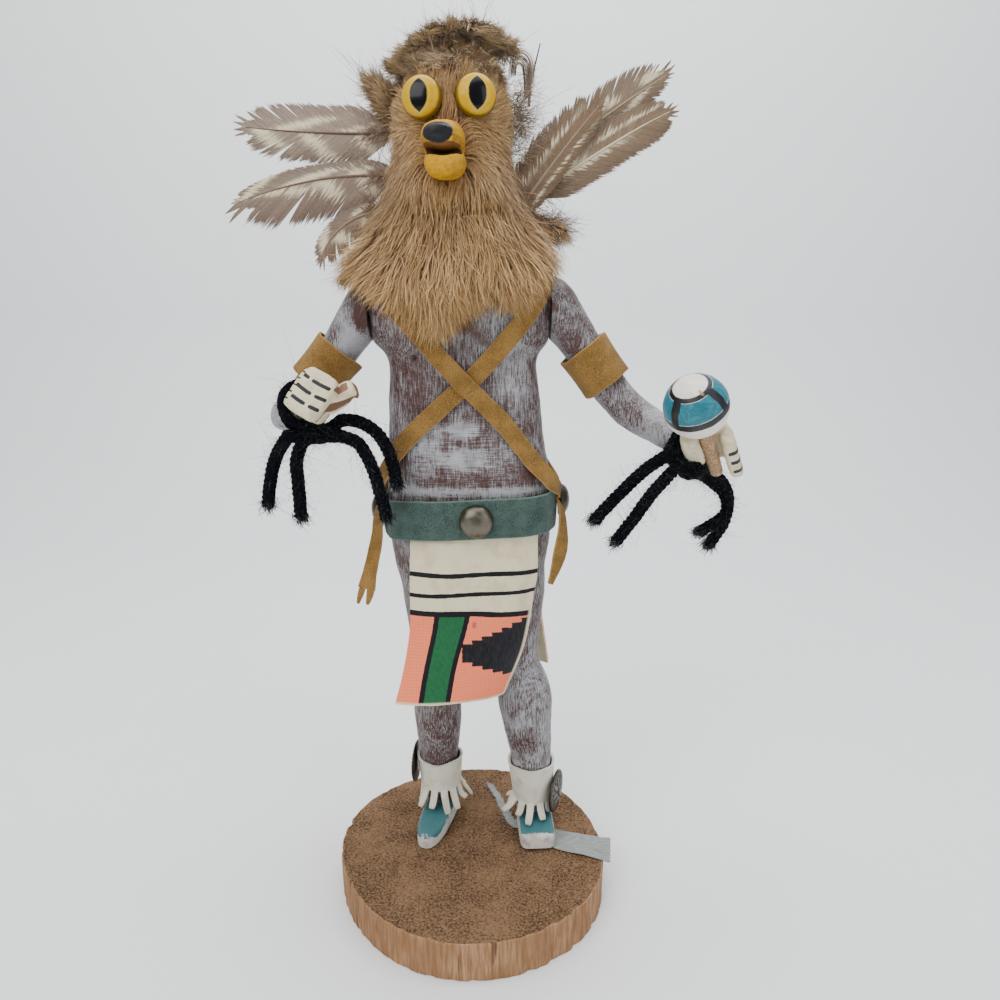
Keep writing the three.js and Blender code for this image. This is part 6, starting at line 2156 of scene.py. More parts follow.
def stud(name, place_at, direction, tone):
    profile = [(STUD_RADIUS - 0.2, -0.4), (STUD_RADIUS, 0.1), (STUD_RADIUS, 0.5)]
    for k in range(1, 17):
        angle = math.pi / 2 * k / 16
        radius = max(0.05, (STUD_RADIUS - 0.05) * math.cos(angle))
        profile.append((radius, 0.5 + (STUD_DOME - 0.5) * math.sin(angle)))
    shell, _ = turned(profile, 64, place_at, direction)
    obj = make(name + "_dome", shell, finish_material("aged metal", aged_metal), [name])
    high = [tone * smooth((height + 0.4) / 1.6) for _, height in profile for _ in range(64)]
    tint(obj.data, "high", high)


def petals(radius, angle):
    """The height of a concho's stamping: a raised star of petals inside a beaded rim."""
    share = radius / CONCHO_RADIUS
    star = (0.5 + 0.5 * np.cos(8 * angle)) ** 0.8
    rays = 0.5 * bump(share, 0.46, 0.2) * (star - 0.45)
    beads = 0.24 * bump(share, 0.88, 0.05) * (0.3 + np.cos(30 * angle))
    scallop = 0.22 * bump(share, 0.7, 0.07) * np.cos(16 * angle)
    return rays + beads + scallop


def concho(name, place_at, direction):
    profile = [(CONCHO_RADIUS, 0.0), (CONCHO_RADIUS, 0.55)]
    for k in range(26):
        share = 1 - k / 26
        height = 0.75 + 1.0 * (1 - share**2)
        if share < 0.2:
            height += 0.55 * math.sqrt(1 - (share / 0.2) ** 2)
        profile.append((CONCHO_RADIUS * share * 0.99, height))
    profile.append((0.04, 2.3))
    shell, extra = turned(profile, 150, place_at, direction, petals)
    obj = make(name + "_stamped", shell, finish_material("aged metal", aged_metal), [name])
    tint(obj.data, "high", np.clip(0.22 + 1.6 * extra, 0, 1))


HIP_STUD_SINK = 2.4  # the hip studs press this far into the soft straps


def build_metal():
    """Three domed belt studs and a stamped concho on the outside of each cuff."""
    front_z = 160.9
    front_angle = torso_angle(2.6, front_z, -1)
    front_out = belt_offset(front_angle) + BELT_LEATHER + GAP
    hip_out = OVER_BELT + LEATHER + 5 * GAP - HIP_STUD_SINK
    stud("belt_stud_front", on_torso(front_angle, front_z, front_out), point(0, -1, 0), 0.5)
    stud("belt_stud_left", on_torso(0.0, HIP_Z + 0.7, hip_out), X, 0.3)
    stud("belt_stud_right", on_torso(math.pi, HIP_Z - 3, hip_out), -X, 0.3)
    concho("right_concho", point(-25.9, 23.4, 40.6), point(-0.99, 0.12, 0))
    concho("left_concho", point(36.1, 11.2, 33.4), point(0.93, -0.37, 0))


# ---- Fur ---------------------------------------------------------------------------------------

# The pelt of face, cheeks and beard: height, centre x, half-width, centre y, half-depth.
PELT = [
    (326.6, -5.5, 8, 12.6, 8), (324, -5.5, 13.4, 12.6, 13), (317, -5.6, 19.4, 12.6, 18.2),
    (308, -5.6, 22.4, 12.6, 20.4), (298, -5.6, 23, 12.6, 20.8), (288, -5.8, 24.4, 12.4, 21),
    (278, -5.4, 28.6, 11.6, 21.2), (268, -5.4, 33.6, 9.6, 20.4), (260, -6, 36.6, 5, 17),
    (252, -7.4, 38.8, 1, 13.6),
]
BEARD_TOP = 252.0
BEARD_HEM = [
    (-49, 246), (-42, 246), (-36, 248), (-31, 243), (-25, 239), (-19.6, 235.4), (-14, 229),
    (-9, 229.4), (-3.5, 237.4), (3, 239.4), (6.8, 246), (13.3, 238.6), (20.6, 242.4), (27, 250),
    (33, 252),
]
WOOL_RISE = 5.5  # the dense wool ends this far above the hairs' hem
BEARD_DEPTHS = [(0.4, 38.6, 0.2, 12.4), (0.75, 38.4, -0.8, 10.8), (1, 37.6, -1.6, 8.4)]
CROWN_TUFT = [
    (-26, 10, 321, 1.6, 2), (-21, 9, 325, 4, 6), (-14, 10, 329.4, 4.6, 11),
    (-6, 11, 331, 4.4, 13), (3, 11, 331.4, 4.6, 12.4), (10, 11, 329.6, 4.4, 9),
    (16, 11, 327.4, 2.4, 4),
]
EAR_TUFT = [
    (-25.4, 14, 309, 4, 5), (-28.4, 14.4, 312.4, 4.4, 4.6), (-31, 15, 315.4, 3, 3.2),
    (-32.6, 15.6, 318, 1, 1),
]
NECK_RUFF = [
    (-36, 19, 268, 3, 4), (-31, 28, 270, 6, 8), (-20, 35, 273, 6.6, 11), (-4, 38, 274, 6.8, 12),
    (13, 35.4, 274, 6.6, 11), (25, 28, 272, 6.2, 8.6), (31.6, 19, 270, 4.6, 7.4),
    (33.6, 12, 268, 2, 4),
]
EYES = {
    "right_eye": (point(-14.3, -7.4, 307.4), point(-0.2, -1, 0.02)),
    "left_eye": (point(3.5, -7.4, 308), point(0.2, -1, 0.04)),
}
EYE_RADIUS = 6.9
EYE_DOME = 4.8
MOUTH = point(-7.0, -10.0, 289.0)


def hem_at(x):
    table = np.array(BEARD_HEM, float)
    return np.interp(x, table[:, 0], table[:, 1])


def pelt_rings(inset, sides=120, per_row=6):
    """The pelt's outer form drawn in by an inset, from the crown down to the beard's hem."""
    rows = rows_through(PELT, per_row)
    rings = []
    for z, x, a, y, b in rows:
        rings.append(ring(point(x, y, z), X, Y, max(a - inset, 2), max(b - inset, 2), 2.1, sides))
    rings[0][:, 2] -= inset * 0.6
    last_x = PELT[-1][1]
    start = (0.0, PELT[-1][2], PELT[-1][3], PELT[-1][4])
    for share, a, y, b in rows_through([start] + BEARD_DEPTHS, 6)[1:]:
        flat = ring(point(last_x - 1 * min(1, share * 2.5), y, 0), X, Y, a - inset,
                    max(b - inset, 1.2), 2.1, sides)
        hem = np.minimum(hem_at(flat[:, 0]) + WOOL_RISE, BEARD_TOP - 1)
        flat[:, 2] = mix(BEARD_TOP, hem, share)
        rings.append(flat)
    return np.array(rings)


def sample_skin(shell, count, rng, keep=None):
    """Random points spread evenly over a shell's skin, with their outward normals."""
    points, faces = shell
    triangles = []
    for face in faces:
        for k in range(1, len(face) - 1):
            triangles.append((face[0], face[k], face[k + 1]))
    triangles = np.array(triangles)
    a, b, c = (points[triangles[:, i]] for i in range(3))
    cross = np.cross(b - a, c - a)
    area = np.linalg.norm(cross, axis=1)
    middle = (a + b + c) / 3
    inside = points.mean(axis=0)
    if (cross * (middle - inside)).sum() < 0:
        cross = -cross
    if keep is not None:
        area = area * keep(middle, unit(cross))
    pick = rng.choice(len(triangles), count, p=area / area.sum())
    u, v = rng.random(count), rng.random(count)
    flip = u + v > 1
    u[flip], v[flip] = 1 - u[flip], 1 - v[flip]
    spots = a[pick] + u[:, None] * (b - a)[pick] + v[:, None] * (c - a)[pick]
    return spots, unit(cross[pick])


def away_from_face(points):
    """The lie of the short facial hair: away from the muzzle and from the eyes."""
    way = unit(points - MOUTH) * 1.0
    for centre, _ in EYES.values():
        off = points - centre
        near = np.exp(-((np.linalg.norm(off, axis=1) / 9.5) ** 2))
        way = way + unit(off) * (1.5 * near)[:, None]
    droop = smooth((304 - points[:, 2]) / 10) * smooth((np.abs(points[:, 0] + 6) - 6) / 8)
    return unit(unit(way) - Z * (1.1 * droop)[:, None])


def pelt_lie(points):
    """The lie of the pelt: off the muzzle on the face, falling and spreading in the beard."""
    x, y, z = points.T
    face = smooth((z - 277) / 14) * smooth((20 - y) / 18)
    sway = np.clip((x + 7) / 30, -1.4, 1.3)
    flare = 0.42 + 0.3 * smooth((-x - 26) / 12)
    fall = np.stack([flare * sway * smooth((284 - z) / 25) + 0.08 * sway,
                     -0.1 + 0 * y + 0.25 * smooth((y - 14) / 10), -1.0 + 0 * z], axis=1)
    back = np.stack([0.1 * sway, 0.15 + 0 * y, -1 + 0 * z], axis=1)
    fall = np.where((y > 22)[:, None], back, fall)
    return unit(face[:, None] * away_from_face(points) + (1 - face)[:, None] * unit(fall))


def vector_noise(points, size, seed):
    """A smooth field of vectors. Its own seed is set, as it would else start from the clock."""
    noise.seed_set(11)
    out = np.empty((len(points), 3))
    for i, p in enumerate(points):
        q = ((p[0] + seed) / size, (p[1] - seed) / size, p[2] / size)
        out[i] = noise.noise_vector(q)
    return out


def grow_hair(roots, normals, lengths, lie, lift, rng, steps, clump, guide_share=0.035,
              sway=0.5, stray=0.12, seed=0.0):
    """Hair paths over a skin: they follow the lie and gather towards guide hairs' tips."""
    count = len(roots)
    guides = max(12, int(count * guide_share))
    pick = rng.choice(count, guides, replace=False)
    tree = kdtree.KDTree(guides)
    for i, p in enumerate(roots[pick]):
        tree.insert(Vector(p), i)
    tree.balance()
    nearest = np.array([tree.find(Vector(p))[1] for p in roots])
    swirl = vector_noise(roots[pick], 9.0, seed) * sway + rng.normal(size=(guides, 3)) * sway * 0.28
    own = rng.normal(size=(count, 3)) * stray
    tilt = lift * (0.75 + 0.5 * rng.random(count))
    paths = np.empty((count, steps, 3))
    paths[:, 0] = roots
    here = roots.copy()
    step = (lengths / (steps - 1))[:, None]
    for k in range(1, steps):
        share = k / (steps - 1)
        flow = lie(here)
        flow = unit(flow - (flow * normals).sum(axis=1, keepdims=True) * normals * 0.75)
        way = unit(flow + normals * (tilt * (1 - 0.75 * share))[:, None]
                   + swirl[nearest] * (0.4 + 0.6 * share) + own)
        here = here + way * step
        paths[:, k] = here
    # Each hair leans towards its guide, more and more to the tip.
    share = np.linspace(0, 1, steps)[None, :, None]
    guide_paths = paths[pick][nearest]
    gap = roots[:, None, :] - roots[pick][nearest][:, None, :]
    lock = guide_paths + gap * (1 - 0.85 * share)
    pull = clump * share**1.3 * (0.6 + 0.4 * rng.random(count))[:, None, None]
    return paths * (1 - pull) + lock * pull, nearest, guides


def fur_shades(paths, nearest, guides, rng, regional, tip_light=0.8, dark_share=0.5):
    """Colours along each hair: dark at its root, lighter to its tip, varied lock by lock."""
    count, steps, _ = paths.shape
    root = np.array(colours().fur_root)
    middle = np.array(colours().fur_middle)
    tip = np.array(colours().fur_tip)
    lock = rng.random(guides)[nearest]
    own = rng.random(count)
    light = np.clip(0.55 * lock + 0.45 * own, 0, 1)
    share = np.linspace(0, 1, steps)[None, :, None]
    base = root + (middle - root) * smooth(share / dark_share)
    bright = (tip_light * light**1.7)[:, None, None] * smooth((share - 0.25) / 0.6)
    shade = base + (tip - base) * bright
    shade = shade * (0.8 + 0.35 * own)[:, None, None]
    tone, amount = regional(paths[:, 0])
    shade = shade + (tone - middle)[:, None, :] * amount[:, None, None] * (0.4 + 0.6 * share)
    return np.clip(shade, 0.004, 1)


def hairy(name, nodes, paths, widths, normals, shades):
    steps = paths.shape[1]
    outs = np.repeat(normals[:, None, :], steps, axis=1)
    points, quads, tips, _ = ribbons(paths, widths, outs)
    mesh = ribbon_mesh(name, points, quads, tips)
    tint(mesh, "hair", per_point(shades, steps))
    obj = new_object(name, mesh, finish_material("hair", hair_material))
    return dress(obj, nodes)


def under_fur_material(tree, shader):
    where = place(tree)
    tone = attribute(tree, "hair")
    strands = use(tree, streak_group(), {
        "Vector": place(tree, (1.6, 1.6, 0.3)), "Scale": 1.1, "Detail": 6.0, "Low": 0.36,
        "High": 0.66,
    })
    clumps = cloud(tree, where, 0.3, 5.0)
    dark = blended(tree, 1.0, tone, (0.36, 0.32, 0.28), "MULTIPLY")
    colour = blended(tree, strands["Mask"], dark, tone)
    colour = blended(tree, remap(tree, clumps, 0.35, 0.6, 0.5, 0.0), colour, dark)
    feed(tree, shader, "Base Color", colour)
    gloss(shader, 0.95, 0.1)
    shader.inputs["Sheen Weight"].default_value = 0.3
    relief(tree, shader, strands["Value"], 1.2, 1.0)


def under_fur(name, shell, nodes, tone, bumps=0.9):
    """The dense woolly coat close to the skin, under the longer hairs."""
    points, _ = shell
    mesh = mesh_of(name, shell)
    moved = points + normals_of(mesh) * (
        bumps * rough(points * np.array([1, 1, 0.5]), 4.0, 3.0, 3)
    )[:, None]
    set_coordinates(mesh, moved)
    obj = new_object(name, mesh, finish_material("under fur", under_fur_material))
    tint(mesh, "hair", np.clip(tone(points), 0.004, 1))
    return dress(obj, nodes)


# Local tones of the pelt, partly the fur's own colour and partly painted shade: colour, strength,
# centre and reach along each axis in mm.
PELT_TONES_AND_SHADE = [
    ((0.33, 0.225, 0.115), 0.8, (-19, -6, 281), (6, 12, 14)),
    ((0.3, 0.215, 0.125), 0.85, (-26, 4, 300), (8, 16, 16)),
    ((0.33, 0.205, 0.125), 0.85, (-5, -8, 303), (5, 12, 12)),
    ((0.35, 0.24, 0.13), 0.7, (6, -8, 289), (7, 12, 10)),
    # The next four tones are painted shade: the +X cheek, the brow under the crown tuft, the fur
    # under the snout and the lower +X cheek.
    ((0.2, 0.13, 0.075), 0.85, (15, 2, 296), (6, 16, 18)),
    ((0.15, 0.09, 0.048), 0.85, (-6, -8, 319), (14, 14, 5)),
    ((0.14, 0.072, 0.034), 0.9, (-6, -12, 275.5), (9, 12, 4.5)),
    ((0.2, 0.115, 0.055), 0.6, (13, -6, 276), (7, 12, 10)),
    ((0.46, 0.32, 0.165), 0.85, (-3, -14, 262), (6, 12, 9)),
    ((0.32, 0.19, 0.072), 0.6, (-22, -10, 246), (12, 12, 9)),
    # This tone is painted shade on the beard's +X side.
    ((0.2, 0.115, 0.05), 0.6, (8, -14, 252), (6, 12, 8)),
    ((0.36, 0.28, 0.15), 0.7, (-42, 0, 250), (8, 14, 9)),
]
PELT_WARMTH = np.array([1.2, 1.05, 0.82])


def pelt_tone_and_shade(points):
    """A local tone and its strength: paler cheeks, dun temples and brow, brown under the chin."""
    tone = np.tile(np.array(colours().fur_middle), (len(points), 1))
    amount = np.zeros(len(points))
    for colour, strength, centre, reach in PELT_TONES_AND_SHADE:
        share = np.clip(strength * spot(points, centre, reach), 0, 1)
        golden = np.array(colour) * PELT_WARMTH
        tone = tone + (golden - tone) * share[:, None]
        amount = np.maximum(amount, share)
    return tone, amount


def pelt_tone(points):
    tone, amount = pelt_tone_and_shade(points)
    base = np.array(colours().fur_middle) * 0.62
    return base + (tone * 0.62 - base) * amount[:, None]


def clear_of_face(paths):
    """Which hairs stay off the eyes and the muzzle."""
    keep = np.ones(len(paths), bool)
    for centre, direction in EYES.values():
        direction = unit(direction)
        off = paths - centre
        forward = off @ direction
        radial = np.linalg.norm(off - forward[..., None] * direction, axis=2)
        keep &= ~((radial < EYE_RADIUS + 0.1) & (forward > -1.5)).any(axis=1)
    off = (paths - point(-7, -16, 289.5)) / np.array([7.6, 9.5, 9.2])
    keep &= ~(np.linalg.norm(off, axis=2) < 1).any(axis=1)
    return keep


def over_strap(paths, rng):
    """Which hairs stay where the beard thins and the strap shows on the right shoulder."""
    near = stroke(paths[:, -1] * np.array([1, 0, 1]), (-37, 0, 246.5), (-14, 0, 228.5), 4.2)
    return near < 0.3 + rng.random(len(paths)) * 1.4


def build_pelt():
    """The pelt over face, cheeks, back of the head and beard."""
    rng = np.random.default_rng(5)
    node = "fur_face_and_beard"
    count = sizes().beard_hairs
    width = sizes().hair_width / MM
    rings = pelt_rings(3.4)
    skin = loft(rings)
    # Over the face the coat is thin, so its skin comes forward to the eyes and the snout.
    x, y, z = skin[0].T
    skin[0][:, 1] -= 2.6 * smooth((z - 276) / 6) * smooth((2 - y) / 8)
    under_fur("pelt_under_fur", skin, [node], pelt_tone)

    def on_face(middle, _normal):
        _, y, z = middle.T
        return smooth((z - 276) / 6) * (0.15 + smooth((16 - y) / 8))

    def on_beard(middle, _normal):
        _, y, z = middle.T
        return smooth((284 - z) / 6) * (0.22 + smooth((8 - y) / 5)) * (z > 231)

    def on_back(middle, _normal):
        _, y, z = middle.T
        return smooth((y - 6) / 8) * (z > 246)

    groups = (
        ("pelt_face_hair", on_face, int(count * 0.6), 4, 0.42, 0.42),
        ("pelt_beard_hair", on_beard, int(count * 0.48), 5, 0.42, 0.3),
        ("pelt_back_hair", on_back, int(count * 0.24), 4, 0.6, 0.4),
    )
    for name, keep, number, steps, clump, lift in groups:
        spots, normals = sample_skin(skin, number, rng, keep)
        x, y, z = spots.T
        if "face" in name:
            lengths = 6.2 + 4.5 * smooth((296 - z) / 14) + 3.2 * smooth((y - 2) / 14)
            lengths = lengths + 3.5 * smooth((z - 318) / 6)
        elif "beard" in name:
            lengths = 15 + 9 * smooth((272 - z) / 14)
        else:
            lengths = 11 + 5 * smooth((285 - z) / 20)
        lengths = lengths * (0.72 + 0.5 * rng.random(number))
        if "beard" in name:
            room = (z - hem_at(x) + 1.5) * (0.7 + 0.45 * rng.random(number))
            lengths = np.minimum(lengths, np.clip(room * 1.05, 3.5, None))
        paths, nearest, guides = grow_hair(spots, normals, lengths, pelt_lie, lift, rng, steps,
                                           clump, sway=0.4 if "beard" in name else 0.3,
                                           stray=0.17, guide_share=0.09)
        keep_hair = clear_of_face(paths) & over_strap(paths, rng)
        shades = fur_shades(paths, nearest, guides, rng, pelt_tone_and_shade,
                            0.85 if "beard" in name else 0.6)
        widths = width * (0.65 + 0.6 * rng.random(number))
        if "face" in name:
            widths = widths * 0.8
        hairy(name, [node], paths[keep_hair], widths[keep_hair], normals[keep_hair],
              shades[keep_hair])

    # Finer, looser hairs cross over the beard and blur its hem.
    number = int(count * 0.22)
    spots, normals = sample_skin(skin, number, rng, on_beard)
    lengths = (11 + 9 * smooth((268 - spots[:, 2]) / 14)) * (0.5 + 0.8 * rng.random(number))
    room = (spots[:, 2] - hem_at(spots[:, 0]) + 4.5) * (0.75 + 0.5 * rng.random(number))
    lengths = np.minimum(lengths, np.clip(room, 4, None))
    paths, nearest, guides = grow_hair(spots, normals, lengths, pelt_lie, 0.62, rng, 5, 0.25,
                                       sway=0.42, stray=0.34, guide_share=0.1, seed=40.0)
    keep_hair = clear_of_face(paths) & over_strap(paths, rng)
    shades = fur_shades(paths, nearest, guides, rng, pelt_tone_and_shade, 1.0)
    hairy("pelt_beard_wisps", [node], paths[keep_hair],
          np.full(keep_hair.sum(), width * 0.5), normals[keep_hair], shades[keep_hair])

    # A few long guard hairs stand off the outline.
    spots, normals = sample_skin(skin, 420, rng)
    keep = (spots[:, 1] > -9) | (spots[:, 2] < 262)
    spots, normals = spots[keep], normals[keep]
    ways = unit(pelt_lie(spots) + 0.75 * normals + rng.normal(size=spots.shape) * 0.2)
    stray = loose_hairs("pelt_guard_hair", spots, ways, 9 + 9 * rng.random(len(spots)), 0.13,
                        np.array(colours().fur_middle) * 0.7, rng, 0.22)


def tuft(name, node, stations, count, lie, length, region, rng, tone, steps=4, inset=1.6,
         clump=0.6, lift=0.9, sway=0.7, tip_light=0.6, thin=1.0):
    """A tuft of fur: its woolly core and the hairs that stand out of it."""
    table = [(x, y, z, max(a - inset, 0.7), max(b - inset, 0.7)) for x, y, z, a, b in stations]
    core = limb(table, Z, 40, 2.1, 7)
    under_fur(name + "_core", core, [node], tone, 0.7)
    spots, normals = sample_skin(core, count, rng)
    lengths = length(spots) * (0.6 + 0.7 * rng.random(count))
    paths, nearest, guides = grow_hair(spots, normals, lengths, lie, lift, rng, steps, clump,
                                       sway=sway, seed=11.0, stray=0.3, guide_share=0.07)
    keep = clear_of_face(paths)
    shades = fur_shades(paths, nearest, guides, rng, region, tip_light)
    widths = sizes().hair_width / MM * 0.8 * thin * (0.6 + 0.7 * rng.random(count))
    hairy(name + "_hair", [node], paths[keep], widths[keep], normals[keep], shades[keep])
    return spots, normals


def build_crown():
    """The messy tuft on the crown, with a few dark and white stiff hairs."""
    rng = np.random.default_rng(12)

    def lie(points):
        x, y, z = points.T
        curl = vector_noise(points, 5.5, 7.0) * 1.6
        return unit(curl + np.stack([np.clip((x + 4) / 20, -1, 1), -0.45 + 0 * y,
                                     -0.15 - 0.5 * smooth((322 - z) / 6)], axis=1))

    def region(points):
        x, y, z = points.T
        mask = smooth(1.3 - np.hypot((x + 5) / 10, (z - 326) / 4)) * smooth((4 - y) / 6)
        tone = mix(np.array([0.36, 0.26, 0.145]), np.array([0.16, 0.095, 0.048]), mask[:, None])
        tone = tone * (1 + 0.35 * rough(points, 5.0, 9.0, 2))[:, None]
        return tone, 0.8 + 0 * x

    def tone(points):
        return 0.62 * region(points)[0]

    spots, normals = tuft(
        "crown_tuft", "fur_crown_tuft", CROWN_TUFT, sizes().crown_hairs, lie,
        lambda p: 6.4 + 0 * p[:, 0], region, rng, tone, clump=0.42, lift=0.7, sway=0.8,
        inset=2.6, thin=0.85,
    )
    # The mop is as thick over the brow: hair that starts on the pelt below the tuft.
    def on_brow(middle, _normal):
        _, y, z = middle.T
        return smooth((z - 316.5) / 4) * smooth((22 - y) / 6)

    number = int(sizes().crown_hairs * 0.9)
    brow, outward = sample_skin(loft(pelt_rings(1.8)), number, rng, on_brow)
    lengths = 6.4 * (0.5 + 0.8 * rng.random(number))
    paths, nearest, guides = grow_hair(brow, outward, lengths, lie, 0.85, rng, 4, 0.4,
                                       sway=0.8, stray=0.3, guide_share=0.08, seed=23.0)
    keep = clear_of_face(paths)
    shades = fur_shades(paths, nearest, guides, rng, region, 0.6)
    hairy("crown_brow_hair", ["fur_crown_tuft"], paths[keep],
          np.full(keep.sum(), 0.24), outward[keep], shades[keep])
    up = normals[:, 2] > 0.3
    roots = spots[up][:90]
    ways = unit(normals[up][:90] + 0.5 * Z + rng.normal(size=(len(roots), 3)) * 0.4)
    dark = loose_hairs("crown_dark_hair", roots, ways, 6 + 5 * rng.random(len(roots)), 0.14,
                       (0.05, 0.035, 0.025), rng, 0.25)
    ends = np.array([(-12.4, 0, 328.6), (-4.4, 0, 327.6), (5, -2, 324.6)])
    ways = unit(np.array([(0.42, -0.3, -0.85), (0.85, -0.3, -0.4), (0.6, -0.3, -0.75)]))
    white = loose_hairs("crown_white_hair", ends, ways, np.array([5.2, 3.2, 6]), 0.3,
                        (0.75, 0.66, 0.5), rng, 0.12)


def build_ear():
    """The small dark tuft at the figure's right temple, with wisps that sweep up and out."""
    rng = np.random.default_rng(21)

    def lie(points):
        curl = vector_noise(points, 6.0, 3.0) * 0.8
        return unit(curl + point(-0.75, 0.0, 0.5))

    def region(points):
        tone = np.tile(np.array([0.25, 0.165, 0.088]), (len(points), 1))
        return tone, 0.8 + 0 * points[:, 0]

    tuft("ear_tuft", "fur_ear_tuft", EAR_TUFT, 4400, lie,
         lambda p: 9.0 + 0 * p[:, 0], region, rng, lambda p: 0.6 * region(p)[0],
         clump=0.4, lift=0.6, sway=0.7, inset=2.5, thin=0.8)
    roots = np.array([(-37.5, 16.6, 319), (-36, 15, 318), (-33, 12, 313), (-30, 11, 317)])
    roots = np.repeat(roots, 7, axis=0) + rng.normal(size=(28, 3)) * 0.6
    ways = unit(np.repeat(unit(np.array([(-0.3, 0, 1.0), (-0.7, 0, 0.8), (-1, 0, 0.35),
                                         (-0.2, 0, 1)])), 7, axis=0)
                + rng.normal(size=(28, 3)) * 0.14)
    wisps = loose_hairs("ear_wisps", roots, ways, 6 + 6 * rng.random(28), 0.2,
                        (0.14, 0.08, 0.05), rng, 0.35)


def build_ruff():
    """The darker ruff round the back of the neck, with stiff black hairs at its left end."""
    rng = np.random.default_rng(17)

    def lie(points):
        x, y, z = points.T
        return unit(np.stack([0.7 * np.clip(x / 30, -1, 1), 0.35 * smooth((y - 14) / 12),
                              -0.75 + 0 * z], axis=1))

    def region(points):
        tone = np.tile(np.array([0.33, 0.19, 0.082]), (len(points), 1))
        return tone, 0.7 + 0 * points[:, 0]

    spots, normals = tuft(
        "neck_ruff", "fur_neck_ruff", NECK_RUFF, sizes().ruff_hairs, lie,
        lambda p: 7.5 + 0 * p[:, 0], region, rng, lambda p: 0.65 * region(p)[0], inset=2.4,
        clump=0.6, lift=0.7, sway=0.5,
    )
    end = (spots[:, 0] > 22) & (normals[:, 0] > -0.2)
    roots = spots[end][:260]
    ways = unit(normals[end][:260] + point(0.9, -0.1, -0.35)
                + rng.normal(size=(len(roots), 3)) * 0.4)
    stiff = loose_hairs("neck_ruff_stiff_hair", roots, ways, 5 + 6.5 * rng.random(len(roots)),
                        0.15, (0.03, 0.025, 0.022), rng, 0.3)


# ---- Face --------------------------------------------------------------------------------------


def eye_material(tree, shader):
    """A clear glossy dome over a yellow iris with a slit pupil."""
    marks = channels(tree, "eye")
    where = place(tree)
    flecks = cloud(tree, where, 1.2, 4.0)
    iris = np.array(colours().iris)
    yellow = blended(tree, remap(tree, flecks, 0.3, 0.7), rgba(iris * 0.9), rgba(iris * 1.04))
    colour = blended(tree, marks["Green"], yellow, (0.72, 0.58, 0.12))
    colour = blended(tree, marks["Blue"], colour, (0.15, 0.09, 0.004))
    colour = blended(tree, marks["Red"], colour, (0.002, 0.002, 0.004))
    feed(tree, shader, "Base Color", colour)
    shader.inputs["Roughness"].default_value = 0.22
    shader.inputs["Coat Weight"].default_value = 0.1
    shader.inputs["Coat Roughness"].default_value = 0.08
    shader.inputs["Specular IOR Level"].default_value = 0.2


def build_eyes():
    """The two domed eyes."""
    for node, (centre, direction) in EYES.items():
        direction = unit(direction)
        side = unit(np.cross(Z, direction))
        up = np.cross(direction, side)
        sides = 104
        angle = TAU * np.arange(sides) / sides
        profile = [(EYE_RADIUS - 1.4, -5.5), (EYE_RADIUS - 0.4, -0.6), (EYE_RADIUS, 0.4),
                   (EYE_RADIUS, 1.2), (EYE_RADIUS - 0.12, 1.5)]
        for k in range(1, 30):
            a = math.pi / 2 * k / 30
            profile.append(((EYE_RADIUS - 0.15) * math.cos(a),
                            1.5 + (EYE_DOME - 1.5) * math.sin(a)))
        profile.append((0.02, EYE_DOME))
        rings = [centre + r * (np.cos(angle)[:, None] * side + np.sin(angle)[:, None] * up)
                 + h * direction for r, h in profile]
        shell = loft(rings)
        obj = make(node + "_dome", shell, finish_material("glass eye", eye_material), [node])
        off = shell[0] - centre
        u, v = off @ side, off @ up
        radial = np.hypot(u, v)
        height = 5.2
        lens = 3.05 * np.clip(1 - (np.abs(v + 0.1) / height) ** 2.6, 0, None)
        pupil = np.clip(0.5 + (lens - np.abs(u)) / 0.24, 0, 1) * (np.abs(v + 0.1) < height + 0.1)
        halo_lens = 3.6 * np.clip(1 - (np.abs(v + 0.1) / 5.8) ** 2.6, 0, None)
        halo = 0.32 * np.clip(0.5 + (halo_lens - np.abs(u)) / 0.6, 0, 1)
        rim = np.maximum(smooth((radial - 6.0) / 0.75), off @ direction < 0)
        tint(obj.data, "eye", np.stack([pupil, halo * (1 - rim), rim], axis=1))


def muzzle_material(tree, shader):
    marks = channels(tree, "muzzle")
    where = place(tree)
    brushed = wire(tree, "TexNoise", {"Vector": place(tree, (1, 0.5, 1.6)), "Scale": 0.9,
                                      "Detail": 5.0}).outputs[0]
    ragged = cloud(tree, where, 1.3, 4.0)
    ochre = np.array(colours().ochre)
    base = blended(tree, remap(tree, brushed, 0.3, 0.7), rgba(ochre * 0.78), rgba(ochre * 1.12))
    base = use(tree, dirt_group(), {"Vector": where, "Color": base,
                                    "Dirt": (0.2, 0.1, 0.02, 1), "Amount": 0.5, "Specks": 0.8})
    nudge = times(tree, minus(tree, ragged, 0.5), 0.5)
    orange = remap(tree, plus(tree, marks["Green"], nudge), 0.4, 0.8)
    colour = blended(tree, orange, base["Color"], (0.13, 0.05, 0.008))
    mouth = remap(tree, plus(tree, marks["Blue"], nudge), 0.42, 0.6)
    colour = blended(tree, mouth, colour, (0.045, 0.018, 0.008))
    nose = remap(tree, plus(tree, marks["Red"], times(tree, nudge, 0.5)),
                 0.44, 0.56)
    colour = blended(tree, nose, colour, (0.012, 0.012, 0.014))
    feed(tree, shader, "Base Color", colour)
    feed(tree, shader, "Roughness", remap(tree, nose, 0, 1, 0.55, 0.4))
    shader.inputs["Specular IOR Level"].default_value = 0.25
    relief(tree, shader, brushed, 0.2, 0.5)


